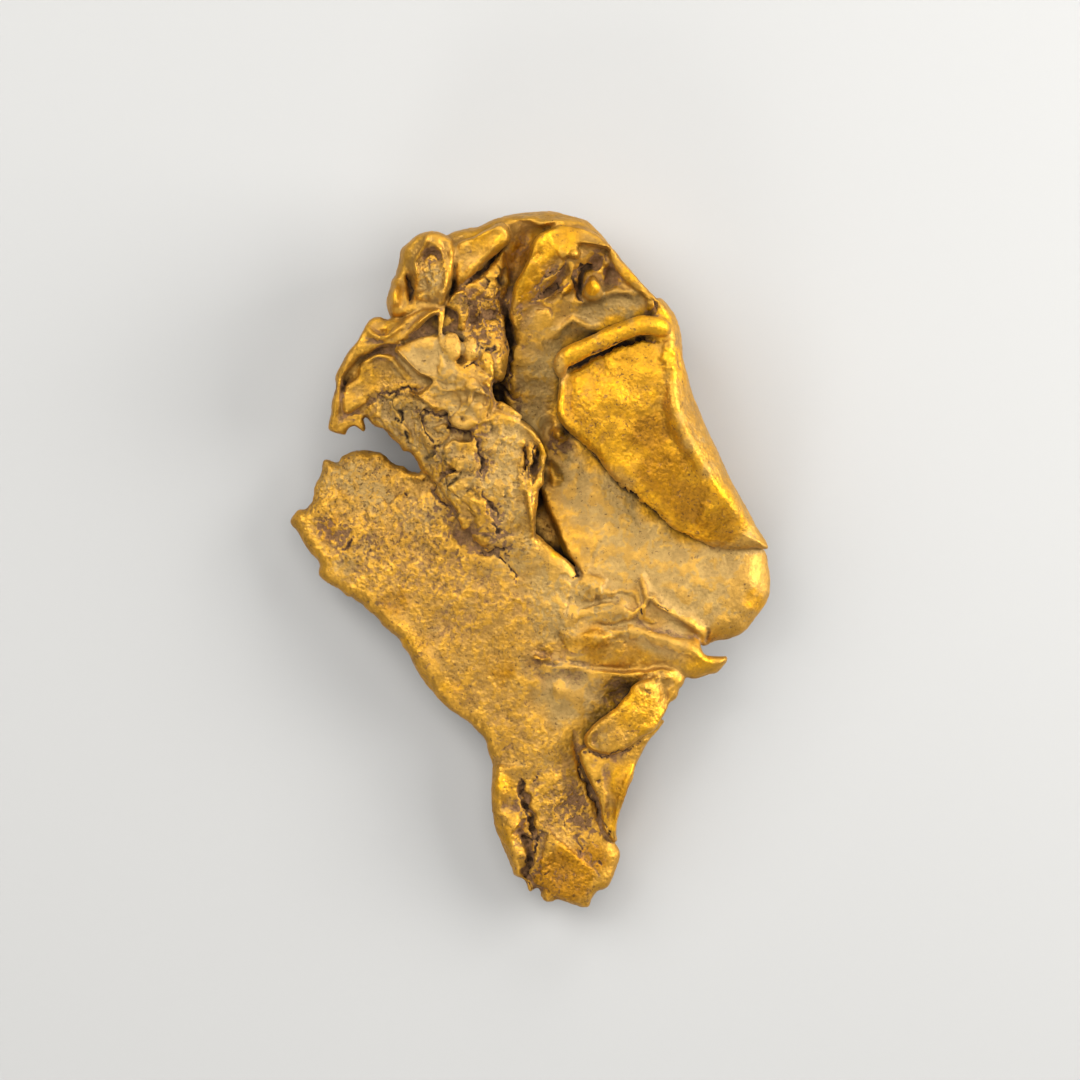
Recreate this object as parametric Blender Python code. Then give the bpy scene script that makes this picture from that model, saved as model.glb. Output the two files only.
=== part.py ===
"""Gold nugget: one folded, crumpled piece of native gold, lying on its back with its front face up.

The nugget is built as it formed, from leaves of gold pressed onto one another. Each leaf is a closed sheet:
an outline with the height of its edge, a front face through a few set points, and marks pressed into that
face. A voxel skin joins the leaves, rolls and beads into one body.
"""

import math

import bmesh
import bpy
import numpy as np
from mathutils import Vector, noise

# Driving dimensions, in metres.
LENGTH = 0.028
FORM_LENGTH = 28.0
UNIT = LENGTH / FORM_LENGTH

# The rest is in form units, which are millimetres at the real length: x to the right, y towards the broad
# top, z up out of the front face.
SHEET_STEP = 0.16
SKIN_VOXEL = 0.13
TRIANGLES = 9300
EDGE_RADIUS = 0.15
SWELL = 0.07
REST_CUT = 0.2

MAIN_LEAF = dict(
    rim=[
        (-4.44, 3.54, 2.75, .2), (-4.88, 3.62), (-5.08, 3.78), (-5.44, 3.86), (-5.68, 4.06), (-6, 4.34),
        (-6.32, 4.42), (-7.12, 4.42), (-7.4, 4.3), (-7.68, 4.14), (-7.72, 3.94), (-7.92, 3.98),
        (-8.28, 4.1),
        (-8.4, 3.98), (-8.4, 3.5), (-8.6, 3.14), (-8.72, 2.9), (-8.72, 2.66), (-8.8, 2.34), (-8.96, 2.1),
        (-9.12, 2.02), (-9.4, 2.02), (-9.6, 1.74), (-9.68, 1.54), (-9.52, 1.3), (-9.28, .94), (-9.04, .54),
        (-8.84, .3), (-8.6, .02), (-8.52, -.22), (-8.56, -.5), (-8.4, -.78), (-8.08, -.98), (-7.8, -1.1),
        (-7.48, -1.34), (-7.36, -1.42), (-7.16, -1.42), (-7.08, -1.54), (-6.8, -1.66), (-6.52, -1.98),
        (-6.2, -2.26), (-6, -2.58), (-5.76, -2.82), (-5.28, -3.14), (-5.12, -3.46), (-4.96, -3.66),
        (-4.72, -4.18), (-3.96, -5.26), (-3.36, -5.94), (-2.44, -6.54), (-1.88, -7.1), (-1.68, -7.82),
        (-1.52, -8.14), (-1.56, -8.78), (-1.56, -9.86), (-1.48, -10.58), (-1.28, -11.18), (-.92, -11.98),
        (-.8, -12.46), (-.72, -12.7), (-.32, -12.86), (-.08, -13.38), (.04, -13.38), (.12, -13.22),
        (.36, -13.22), (.4, -13.46), (.64, -13.74), (1.08, -13.66), (1.76, -13.9), (2.12, -13.98),
        (2.36, -13.94), (2.48, -13.62), (2.68, -13.34), (3.08, -13.18), (3.4, -12.42), (3.6, -11.86),
        (3.56, -11.62), (3.4, -11.42), (3.3, -10.82), (3.4, -10.06), (3.6, -9.18), (3.8, -8.66), (4, -8.1),
        (4.4, -7.42), (4.8, -6.94), (5.1, -6.3), (5.4, -5.6), (5.7, -5.1), (6.2, -4.7), (6.56, -4.74),
        (7.16, -4.58), (7.52, -4.5), (7.92, -3.86), (7.44, -3.82), (7.04, -3.78), (6.84, -3.58),
        (6.7, -3.1), (5.8, -2.8), (5, -2.4), (4.28, -2), (3.4, -1.5), (2.6, -.9), (1.95, -.5), (1.7, -.2),
        (1.4, .1), (.9, .45), (.3, 1), (-.4, 1.4), (-1.4, 1.6), (-2.2, 2), (-2.9, 2.3), (-3.3, 2.7),
        (-3.6, 3.05), (-4, 3.35)],
    radius=.4,
    face=[
        (-9.3, 1.7, 2.1), (-8.5, .6, 2.35), (-8.2, 3.6, 2.2), (-7, 4, 2.45), (-7, 1.5, 2.75),
        (-5.5, -1.5, 2.95),
        (-5.4, 3.4, 2.7), (-4.6, 1, 3.1), (-4.4, 3.2, 3.1), (-3, 1.5, 3.45), (-3.6, 2.5, 3.45),
        (-2, .6, 3.55),
        (-3, -1, 3.3), (-3.6, -4.5, 2.8), (-1, -.5, 3.5), (.3, .5, 3.75), (1.6, -.4, 3.6),
        (-1, -3, 3.15), (-.5, .6, 3.8), (1, -2.5, 3.4), (3, -2, 3.35),
        (4.3, -2.7, 3.2), (2.5, -3.6, 3.35), (5.5, -3.5, 3.4), (6.8, -3.9, 3.3), (7.8, -3.9, 3.1),
        (0, -5, 2.95),
        (1.5, -5, 2.85), (3.6, -5.3, 2.7), (2.5, -6, 2.8), (0, -7, 2.75), (1.7, -7, 2.7), (3.5, -7.5, 2.0),
        (-1.2, -8, 2.45), (.5, -9, 2.6), (1.8, -9.5, 2.1), (3, -9.5, 2.0), (-1.3, -10.5, 2.3),
        (0, -11.5, 2.2),
        (2.2, -11.5, 2.2), (1.5, -13.3, 2.1), (3.2, -12, 2.1), (-.3, -12.9, 1.9)],
    thickness=.95,
    rough=(.1, 1.6),
    back_marks=[
        ("groove", .7, .3, [(-8.6, 2.6), (-7.2, 1.2), (-6.4, -.8), (-4.6, -2.6), (-3.4, -4.6)]),
        ("ledge", .8, .3, [(2.6, -6), (.8, -6.8), (-.6, -6.2), (-2.2, -6.6)]),
        ("ridge", .6, .3, [(.6, -7.4), (.2, -9.2), (.9, -10.8), (1.2, -12.8)]),
        ("groove", .4, .25, [(-.6, -9), (-.2, -10.6), (-.6, -11.6)]),
    ],
    marks=[
        ("ridge", .5, .32, [(1.6, -3.3), (2.8, -3.05), (3.6, -2.85), (4.5, -2.85), (5.6, -3.3),
            (6.8, -3.75), (7.9, -3.95)]),
        ("ledge", 1.1, .45, [(5.9, -4.5), (5.2, -4.3), (4.6, -4.45), (3.6, -4.5), (2.6, -4.4)]),
        ("ledge", .5, .22, [(2.2, -4.2), (1.2, -4.25), (.2, -4.25)]),
        ("ridge", .35, .2, [(.1, -3.85), (.6, -4), (1.2, -4.05), (1.9, -4.1)]),
        ("lump", .22, .2, [(.2, -3.85)]),
        ("ridge", .9, .25, [(.8, -5.1), (1.6, -5.35), (2.3, -5.5)]),
        ("groove", .6, .3, [(3, -4.8), (3.8, -5.1), (3.2, -5.6)]),
        ("groove", .2, .15, [(1.75, -6.8), (1.85, -7.5), (2, -8.2), (2.4, -9.1), (2.7, -9.9),
            (2.85, -10.6)]),
        ("groove", .17, .42, [(-.4, -8.8), (-.45, -9.2), (-.15, -9.5), (-.2, -9.85), (.1, -10.2),
            (.02, -10.6), (.2, -11.1)]),
        ("groove", .17, .42, [(-.4, -10.9), (-.15, -11.3), (-.02, -11.8), (.02, -12.2), (-.3, -12.5),
            (-.05, -12.8), (.1, -13.15)]),
        ("groove", .12, .25, [(.05, -10.3), (-.35, -10.5), (-.4, -10.8), (-.7, -11)]),
        ("groove", .1, .15, [(0, -9.2), (.2, -8.95), (.45, -8.9)]),
        ("ledge", .7, .25, [(2.3, -12.3), (1.6, -11.7), (1, -11.2), (.75, -10.9), (.6, -11.4),
            (.45, -12.1), (.5, -12.9)]),
        ("ledge", .5, .2, [(-.3, -8.2), (-.9, -8.3), (-1.6, -8.2)]),
        ("ridge", .4, .22, [(-1.25, -8.5), (-1.25, -9.6)]),
        ("ridge", .5, .25, [(-.8, -10.2), (-.8, -11.4), (-.5, -12.3)]),
        ("groove", .4, .15, [(-1.2, -9.9), (-.5, -9.9)]),
        ("ridge", .6, .18, [(-5.4, -2.3), (-4.4, -3.9), (-3.2, -5.4)]),
        ("ridge", .3, .18, [(-4.2, 3.2), (-4.6, 3.35), (-5.1, 3.6)]),
        ("groove", .45, .18, [(-3.2, 1.6), (-2.8, 1), (-2.2, .5)]),
        ("groove", .12, .2, [(-2.1, .35), (-1.7, .25), (-1.45, .4), (-1.2, .3), (-.9, .45)]),
        ("ridge", .2, .2, [(.35, .9), (.9, .5), (1.4, .05), (1.75, -.3)]),
    ],
)
RIGHT_PLATE = dict(
    rim=[
        (-.9, 8.6, 2.6, .4), (.5, 9.4, 2.6, .4), (2, 9.6, 2.6, .4), (4, 9.3, 2.6, .4), (5.2, 8.5, 2.4, .5),
        (5.8, 7.5, 2.2, .7), (6.1, 6.5, 2, .8), (6.6, 5.5, 2, .9), (7.2, 4.3, 2, .9), (8, 2.7, 2, .9),
        (8.7, 1.6, 2, .9), (9.25, .7, 2, .9), (9.48, .3, 2, .9), (9.56, -.1, 1.95, 1), (9.64, -.94, 1.9, 1),
        (9.56, -1.46, 1.9, 1), (9.08, -2.3, 1.95, 1), (8.52, -2.9, 2, .9), (7.32, -3.22, 2.3, .6),
        (6.92, -3.42, 2.5, .4), (6.7, -3.3, 2.6, .35), (5.8, -3.06, 2.7, .3), (5, -2.78, 2.8, .3),
        (4.28, -2.5, 2.8, .3), (3.6, -2.3, 2.8, .3), (2.9, -1.9, 2.7, .3), (2.2, -1, 2.6, .2),
        (1.75, -.2, 2.4, .2), (1.4, .2, 2.3, .2), (1.2, .7, 2.3, .2), (.95, 1.3, 2.3, .2),
        (.6, 2.1, 2.3, .2),
        (.4, 2.7, 2.3, .2), (.1, 3.2, 2.3, .2), (-.3, 4.4, 2.3, .2), (-.9, 5.6, 2.3, .3),
        (-1.2, 7, 2.4, .3)],
    face=[
        (.3, 8.5, 3.5), (-.5, 7.6, 3.35), (1, 7.3, 3.2), (2.2, 8.2, 3.4), (-.3, 6.5, 3), (.2, 5, 2.8),
        (1, 4, 2.85), (2, 5, 2.8), (2, 2.5, 3), (1.2, 1.5, 3.1),
        (4, 1.5, 3.15), (2.6, -.5, 3.4), (4.5, -1.6, 3.35), (3.6, -2, 3.4), (6, 0, 3.15), (7, -2, 3.1),
        (8.3, -.5, 3.1), (9, -1.2, 2.9), (8.2, -2.2, 2.85), (6, -2.8, 3.15), (6, 3, 3), (8, 1.5, 3),
        (4, 6, 3), (3.5, 8.8, 3.4), (5.5, 7.5, 3.2)],
    thickness=1.0,
    rough=(.07, 1.3),
    marks=[
        ("lump", .35, .3, [(2.35, -1.2), (2.1, -1.0)]),
        ("ledge", .35, .18, [(2.85, -.85), (2.9, -1.2), (2.7, -1.55), (2.3, -1.7)]),
        ("ridge", .2, .28, [(4.4, -.6), (4.55, -1.1), (4.6, -1.55), (4.4, -2.3)]),
        ("ridge", .2, .2, [(4.6, -1.5), (4.9, -1.45), (5.3, -2)]),
        ("ledge", .45, .2, [(4.5, -1.3), (5.1, -1.85), (5.6, -2.15), (6.4, -2.6), (6.8, -3)]),
        ("lump", .4, .18, [(2.1, -.5), (3.2, -1.3), (3.6, -1.7)]),
        ("groove", .5, .2, [(1.7, 4.3), (.9, 4.9), (.6, 5.8)]),
        ("lump", .4, .3, [(1, 5.1), (1.2, 4.95), (.8, 3.7), (1.0, 3.3)]),
        ("groove", .12, .3, [(7.12, -2.75), (7.0, -3.35)]),
        ("ridge", 1.2, .12, [(8.9, -.2), (8.5, -1.9), (7.2, -2.7)]),
    ],
)
BACK_FOLD = dict(
    rim=[
        (-4.6, 10.5), (-3.7, 12), (-1.8, 12.8), (-.4, 12.7), (.8, 13.4), (2, 12.9), (2.8, 12.1),
        (3.8, 11), (4.9, 10.1),
        (5.5, 9), (5.7, 7.8), (6.2, 6.3), (7, 4.6), (7.9, 2.8), (8.7, 1.2), (9, .2), (8.9, -1.4), (8, -2.5),
        (6.9, -2.7), (5.9, -3.7), (4.6, -3.9), (3.4, -4.9), (1.9, -4.7), (.5, -5.6), (-.9, -4.7),
        (-2.4, -4.6),
        (-3.2, -3.2), (-4.6, -2.4), (-4.8, -.9), (-5.7, .3), (-5.3, 1.9), (-4.7, 3), (-3.9, 3.8),
        (-4.3, 5), (-4.9, 6.3),
        (-4.6, 7.2), (-5.2, 8.7)],
    radius=1.1,
    face=[(0, 0, 2.2), (5, 0, 2), (0, 10, 3), (5, 8, 2.6), (-4, 0, 2.1), (-3, 8, 2.8), (1, -5, 2)],
    back=[
        (-2.4, 9.3, -.12), (3.9, 8.8, .1), (6.1, .9, .12), (1, -3.4, .03), (-3.4, .5, .1),
        (.8, 9.6, .6), (1, 5.5, .5),
        (-3.2, 5, .8), (5.2, 4.8, .5), (1.4, .4, .5), (4.2, -2, .6), (-1.6, -2, .6), (7.8, -1.8, .9),
        (-2.6, 11.4, .7),
        (1.4, 12.2, .6), (-4.6, 8, .7), (-5, 1.5, .6), (1, -5, .6), (8, 1.5, .6), (5, 9.6, .6)],
    rough=(.06, 1.3),
    back_marks=[
        ("ledge", 1.6, .4, [(6.9, 3.4), (4.6, 2.8), (2.6, 3.2), (.6, 2.4), (-1.6, 3), (-3.2, 2.6),
            (-5.2, 3.2)]),
        ("groove", .7, .4, [(-.6, 12.5), (-.2, 10.6), (.9, 8.9), (.6, 7), (1.5, 5.2), (1.2, 3.9)]),
        ("ledge", 1, .3, [(1.4, 5.6), (-.4, 6.4), (-2, 6.1), (-3.4, 7)]),
        ("groove", .5, .3, [(3, -.8), (2.6, .8), (3.4, 2.2)]),
        ("ridge", .5, .2, [(-2.6, -2.6), (-.6, -1), (.4, 1)]),
        ("ridge", .4, .2, [(2.6, 11.4), (2.2, 9.8), (3, 7.6), (4.4, 6.4)]),
        ("groove", .35, .35, [(6.9, -2.2), (6.2, -1), (4.9, -.6)]),
        ("lump", .6, -.35, [(-1.5, 8.2), (5.2, 7.2), (-2.7, -1.2), (4.6, -3.1), (7.4, .2)]),
    ],
)
CROWN = dict(
    rim=[
        (-3.48, 12.98, 3.4, .5), (-2.92, 13.18, 3.4, .5), (-2.12, 13.34, 3.4, .5), (-1.4, 13.62, 3.4, .5),
        (-.4, 13.86, 3.4, .5), (.8, 13.98, 3.2, .7), (1.8, 13.78, 3.2, .8), (2.24, 13.62, 3.2, .8),
        (2.8, 13.06, 3.2, .8), (3.28, 12.42, 3.3, .6), (4, 11.54, 3.3, .6), (4.8, 10.66, 3.3, .5),
        (5.2, 10.3, 3.3, .5), (5.5, 9.9, 3.3, .5), (5.6, 9.2, 3.3, .5), (5.5, 8.5, 3, .5), (4, 8, 2.6, .4),
        (2, 7.5, 2.3, .4), (.5, 7, 2.3, .4), (-1, 6.8, 2.5, .4), (-3, 7, 2.8, .4), (-4.6, 7.6, 2.8, .4),
        (-5, 9, 3, .4), (-4.9, 10.2, 3, .4), (-5, 11.5, 3.2, .4), (-4.9, 12.3, 3.3, .4),
        (-4.4, 12.8, 3.3, .4)],
    face=[
        (-3, 12.9, 4.4), (-2, 13.2, 4.6), (-.8, 13.6, 4.7), (.8, 13.7, 4.9), (2, 13.3, 4.9),
        (-.3, 12.9, 4.3),
        (-.9, 11.5, 4), (-1.8, 10.5, 3.9), (-2.5, 11, 3.8), (-.9, 8.8, 3.6), (-3.1, 9.6, 3.8),
        (.2, 9.3, 3.95),
        (1.5, 9.9, 4.1), (3, 9.9, 4.35), (4.4, 10.2, 4.8), (2.5, 11.2, 4.4), (.3, 8.6, 3.65),
        (2, 8.7, 3.75), (.5, 7.6, 3.0), (-.6, 7.4, 3.1), (2, 8, 3.1),
        (.8, 11, 4.5), (1.2, 12.4, 4.9), (3, 12.2, 4.7), (-4, 11, 4.2), (-3, 8, 3.8)],
    back=[(0, 10, .8), (4, 10, 1), (-4, 10, 1.4), (0, 7, 1)],
    rough=(.13, .9),
    marks=[
        ("ledge", .5, .35, [(-.6, 13.55), (0, 13.5), (.35, 13.3), (.7, 13.38), (1.2, 13.42), (1.9, 13.4)]),
        ("groove", .5, .3, [(.4, 13.1), (0, 12.9), (-.3, 12.5), (-.45, 12), (-.6, 11.4), (-.8, 10.8)]),
        ("groove", .3, .5, [(-.95, 10), (-.9, 9.4), (-.8, 8.7), (-.8, 8), (-.9, 7.4)]),
        ("groove", .27, .9, [(2.55, 11.82), (2.25, 11.88), (1.95, 11.7), (1.83, 11.3), (1.85, 10.9),
            (2, 10.45)]),
        ("lump", .5, -.35, [(2.7, 11.95), (3.2, 11.45), (3.1, 11)]),
        ("groove", .17, .3, [(.35, 10.55), (.7, 10.72), (1.05, 11.05), (1.3, 11.4), (1.5, 11.9)]),
        ("groove", .13, .22, [(-.1, 10.15), (.4, 10.08), (.75, 10.05), (.85, 9.75)]),
        ("ridge", .17, .25, [(0, 10.28), (.5, 10.4), (1.05, 10.62), (1.55, 10.82)]),
        ("ridge", .15, .2, [(.3, 10.95), (.75, 11.2), (1.1, 11.55), (1.3, 11.95)]),
        ("ridge", .15, .2, [(1.5, 11.9), (1.62, 11.5), (1.62, 11.1)]),
        ("ridge", .4, .16, [(3, 9.25), (2.4, 9.3), (1.95, 9.5), (1.65, 9.65), (1.3, 9.35), (.9, 9)]),
        ("groove", .5, .18, [(2.9, 9.05), (2, 8.95), (1.2, 8.6)]),
        ("ridge", .25, .2, [(1.55, 10.3), (2.4, 10.35), (3.3, 10.75), (4.3, 10.6)]),
        ("groove", .4, .3, [(-3.2, 9.9), (-3.1, 9.3)]),
    ],
)
ROUGH_MASS = dict(
    rim=[
        (-3, 11.2), (-2.4, 11.4), (-2, 11.7), (-1.6, 12.1), (-1.2, 12.45), (-.95, 12.4), (-.85, 11.8),
        (-.85, 11), (-1, 10.2), (-1.02, 9.6), (-.98, 9), (-.88, 8.4), (-.95, 7.8), (-1.05, 7.3),
        (-1.4, 7.1),
        (-1.9, 7.4), (-2.2, 8), (-2.6, 8.3), (-3, 8.6), (-3.4, 9.2), (-3.4, 9.8), (-3.3, 10.5)],
    radius=.5,
    face=[
        (-1.2, 11.8, 4.5), (-2.4, 11, 4.75), (-1.5, 10.9, 4.6), (-1.3, 10, 4.35), (-2, 10.2, 4.6),
        (-2, 9.5, 4.55),
        (-1.5, 9, 4.65), (-1.6, 8.2, 4.75), (-1.3, 7.6, 4.75), (-2.9, 10, 4.45), (-3.1, 9.4, 4.2),
        (-2.4, 8.8, 4.5)],
    thickness=1.8,
    rough=(.1, .7),
    marks=[
        ("lump", .35, .14, [(-1.9, 10.7), (-1.6, 11.4), (-2.1, 9.9), (-1.7, 9.2), (-1.4, 8.6)]),
        ("groove", .3, .2, [(-1.8, 9.7), (-1.4, 9.85), (-1.1, 9.75)]),
        ("groove", .16, .15, [(-2.4, 11.1), (-1.9, 11.5), (-1.5, 12)]),
        ("lump", .35, -.3, [(-3.15, 9.6), (-3.05, 9.25)]),
        ("ridge", .14, .12, [(-1.85, 8.5), (-1.55, 8.35), (-1.2, 8.4)]),
    ],
)
FLAP = dict(
    rim=[
        (1.2, 7.75, 4.3, .2), (1.1, 7.3, 4.3, .2), (1.05, 6.8, 4.3, .2), (1, 6.3, 4.3, .2),
        (1, 5.8, 4.2, .2),
        (1.3, 5.3, 4.1, .3), (1.65, 4.95, 4, .4), (1.9, 4.75, 4, .5), (2.4, 4.3, 4, .5), (3, 3.55, 3.9, .6),
        (3.6, 2.9, 3.8, .6), (4.2, 2.4, 3.7, .6), (4.7, 1.9, 3.6, .6), (5.2, 1.5, 3.5, .6),
        (5.7, 1.2, 3.45, .6),
        (6.2, 1, 3.4, .6), (6.8, .75, 3.3, .5), (7.3, .5, 3.2, .5), (7.8, .42, 3.1, .5),
        (8.5, .43, 3.1, .4),
        (9.1, .5, 3, .3), (9.5, .46, 2.9, .3), (9.44, .7, 2.8, .5), (9.2, 1.14, 2.7, .9),
        (8.92, 1.62, 2.6, 1.1),
        (8.6, 2.22, 2.6, 1.2), (8.24, 2.9, 2.6, 1.2), (7.88, 3.62, 2.6, 1.2), (7.52, 4.34, 2.6, 1.2),
        (7.2, 5.02, 2.6, 1.2), (6.92, 5.7, 2.6, 1.2), (6.68, 6.22, 2.6, 1.1), (6.44, 6.82, 2.7, .9),
        (6.28, 7.42, 2.8, .7), (6.12, 8.02, 2.9, .6), (6.04, 8.62, 3.1, .5), (5.96, 9.22, 3.3, .5),
        (5.76, 9.82, 3.5, .5), (5.52, 10.14, 3.7, .4), (5.2, 10.46, 4.1, .3), (5, 10.45, 4.5, .2),
        (4.88, 10, 4.7, .2), (4.6, 9.4, 4.5, .2), (3.6, 8.9, 4.2, .2), (2.6, 8.3, 4.2, .2),
        (1.9, 7.9, 4.2, .2),
        (1.4, 7.7, 4.2, .2)],
    face=[
        (1.3, 6.5, 4.75), (1.6, 5.2, 4.6), (2.3, 7.7, 4.8), (3, 6, 5.1), (3.5, 7.8, 5.05), (4.6, 8.6, 5.1),
        (5.6, 8.5, 5.2), (5.6, 7, 5.35), (5.9, 5.5, 5.4), (6.6, 4.3, 5.25), (7.4, 3, 4.95), (8.3, 1.6, 4.4),
        (9.1, .7, 3.6), (4.6, 6.5, 4.95), (4.9, 5, 4.8), (3.3, 4.4, 4.8), (5, 2.8, 4.4), (6.4, 2.2, 4.35),
        (7.4, 1.2, 3.95), (6.2, 1.4, 4)],
    rough=(.06, .8),
    back=[
        (1.3, 6.5, 4.2), (3, 6, 4), (4.6, 8, 3), (5.6, 8.5, 1.2), (5.6, 7, 1.3), (6, 5.5, 1.3),
        (6.8, 4, 1.4),
        (7.8, 2.6, 1.5), (8.8, 1.2, 1.8), (4.8, 5.5, 3.2), (5.2, 3.2, 3.4), (6.6, 1.8, 3), (3.2, 4.4, 4),
        (7.6, .8, 2.8)],
    marks=[
        ("ridge", .3, .2, [(1.2, 7.5), (1.15, 7), (1.12, 6.4), (1.15, 5.9), (1.4, 5.4), (1.75, 5.05)]),
        ("groove", .25, .1, [(1.55, 7.4), (1.55, 6.8), (1.5, 6.2), (1.6, 5.7)]),
        ("ridge", 1.5, .22, [(4.2, 8), (3.8, 6.9), (3.3, 5.8)]),
        ("ridge", .5, .22, [(5.5, 7.3), (5.6, 6.5), (5.75, 5.7), (6.1, 5), (6.7, 4), (7.4, 3),
            (8.2, 1.9), (8.9, 1.1)]),
        ("groove", .4, .12, [(5.2, 7), (5.2, 6), (5.4, 5.2), (5.9, 4.3), (6.5, 3.4)]),
        ("ridge", .35, .15, [(7.1, 2.4), (6.9, 1.8), (6.7, 1.4)]),
        ("groove", .6, .15, [(7.6, 2.2), (8, 1.3)]),
        ("groove", .14, .45, [(1.5, 7.5), (1.95, 7.75), (2.45, 8.08), (3.05, 8.38), (3.7, 8.66),
            (4.4, 8.86), (5, 8.8)]),
        ("ridge", .25, .15, [(5.45, 8.6), (5.35, 8), (5.5, 7.5)]),
        ("lump", .3, .15, [(5.5, 8.6), (5.7, 8.2), (5.65, 7.7)]),
        ("groove", .14, .3, [(5.85, 9.2), (5.9, 8.8), (5.75, 8.5)]),
    ],
)
PAGE = dict(
    rim=[
        (-.35, 5.6, None, .1), (0, 5.35, None, .1), (.25, 5.1, None, .1), (.45, 4.75, None, .1),
        (.62, 4.35, None, .1), (.62, 3.95, None, .1), (.52, 3.4, None, .1), (.5, 3.05, None, .1),
        (.3, 2.85, None, .1), (.28, 2.5, None, .1), (.22, 1.9, None, .1), (.17, 1.3, None, .1),
        (.2, 1, None, .1), (.4, .7, 3.3, .2), (.3, .2, 3.2, .3), (-.6, -.2, 3.2, .3), (-1.6, .2, 3, .3),
        (-2.2, .8, 2.8, .3), (-2.6, 2, 3, .3), (-2.6, 3.5, 3, .3), (-2.5, 5, 3, .3), (-2.2, 6, 3, .3),
        (-1.6, 6.2, 3, .3), (-1, 5.9, None, .15)],
    face=[
        (.3, 4.3, 4.5), (.1, 2.5, 4.4), (-.2, 5.2, 4.6), (-1, 4.2, 4.5), (-1.5, 3, 4.5), (-.8, 1.8, 4.2),
        (-.5, .8, 3.95), (.2, .9, 3.85), (-.5, 0, 3.6), (-1.3, .3, 3.7), (.3, .3, 3.6),
        (-2.2, 3, 4.45), (-2, 5, 4.75),
        (.1, 1.4, 4.1), (-1.6, 1.8, 4.3), (-1.3, 1, 4.05)],
    thickness=1.9,
    rough=(.07, .8),
    marks=[
        ("ridge", .16, .2, [(-.4, 5.45), (0, 5.15), (.35, 4.7), (.55, 4.3), (.55, 3.8), (.42, 3.2)]),
        ("groove", .11, .5, [(.33, 4.7), (.27, 4.2), (.15, 3.7), (.1, 3.1)]),
        ("ridge", .14, .2, [(-.05, 4.75), (-.02, 4.2), (-.05, 3.6), (-.05, 3)]),
        ("groove", .12, .2, [(-.2, 4.7), (-.2, 4), (-.25, 3.3)]),
        ("ridge", .16, .15, [(-.3, 4.2), (-.4, 3.6), (-.35, 3)]),
        ("ridge", .2, .28, [(-.1, 2.8), (-.02, 2.1), (.08, 1.4), (.12, 1.1)]),
        ("groove", .08, .18, [(-2.05, 5), (-2, 4.4), (-1.9, 3.9), (-1.85, 3.5), (-1.95, 3.1)]),
        ("ledge", .3, .12, [(-1.3, 5.6), (-1.25, 4.9), (-1.6, 4.4), (-1.9, 4.3)]),
        ("ridge", .2, .1, [(-.9, 3.2), (-.7, 2.2), (-.9, 1.2)]),
    ],
)
TOP_LEAF = dict(
    rim=[
        (-4.9, 6.75), (-4.5, 6.65), (-4.1, 6.95), (-3.95, 7.15), (-4.5, 7.4), (-5, 7.9), (-5.4, 8.35),
        (-5.3, 8.6), (-4.9, 8.7), (-4.4, 8.9), (-3.7, 9), (-3.5, 8.2), (-2.9, 7.9), (-2, 7.6), (-1.55, 7.3),
        (-1.5, 6.8), (-1.4, 6.3), (-1.45, 5.8), (-1.5, 5.5), (-1.9, 5.4), (-2.3, 5.25), (-2.7, 5.2),
        (-3, 5.3),
        (-3.3, 5.6), (-3.35, 5.85), (-3.5, 5.9), (-3.9, 5.95), (-4.2, 6.25), (-4.6, 6.5)],
    face=[
        (-4.7, 8.5, 4.8), (-3.8, 8.6, 4.9), (-5.1, 8, 4.9), (-4.2, 7.4, 4.9), (-3.5, 7.3, 4.95),
        (-2.5, 7.3, 5.1),
        (-1.7, 7, 5.1), (-4.3, 6.6, 4.95), (-3.7, 6.2, 4.8), (-2.6, 6.5, 5), (-2.5, 5.5, 5),
        (-1.7, 5.8, 4.95),
        (-3.1, 5.6, 4.85), (-2.4, 7.8, 4.95)],
    thickness=1.3,
    rough=(.08, .7),
    marks=[
        ("ridge", .22, .3, [(-5.4, 8.35), (-5, 7.95), (-4.5, 7.5), (-4, 7.2)]),
        ("ridge", .25, .25, [(-4.75, 6.65), (-4.4, 6.45), (-4.1, 6.15), (-3.7, 6.05)]),
        ("ledge", .4, .2, [(-2.9, 5.85), (-2.6, 5.9), (-2.4, 6.2), (-2.3, 6.6), (-2.4, 7)]),
        ("ridge", .2, .25, [(-2.5, 6.9), (-2, 6.75), (-1.65, 6.4)]),
        ("lump", .15, -.3, [(-2.7, 5.6)]),
        ("ridge", .25, .25, [(-1.9, 7.3), (-1.6, 6.8), (-1.5, 6.2)]),
        ("lump", .35, .12, [(-2.2, 6.1), (-1.8, 5.9)]),
        ("ledge", .3, .12, [(-4.2, 7), (-3.4, 6.7), (-2.7, 6.75), (-2.2, 7.1)]),
        ("ridge", .12, .12, [(-3.6, 8.4), (-3.5, 7.8), (-3.7, 7.3)]),
    ],
)
MIDDLE_PLATE = dict(
    rim=[
        (-3.45, 4.6), (-3.1, 4.85), (-2.7, 4.8), (-2.25, 4.8), (-2.15, 4.5), (-2.15, 4.1), (-2, 3.9),
        (-2, 3.6),
        (-2.3, 3.4), (-2.9, 3.45), (-3, 3.6), (-3.3, 3.7), (-3.5, 4.1)],
    face=[(-3.2, 4.5, 4.6), (-2.4, 4.6, 4.75), (-2.5, 4, 4.7), (-3.2, 4, 4.55), (-2.3, 3.5, 4.55)],
    thickness=1.2,
    radius=.12,
    rough=(.15, .7),
)
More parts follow.
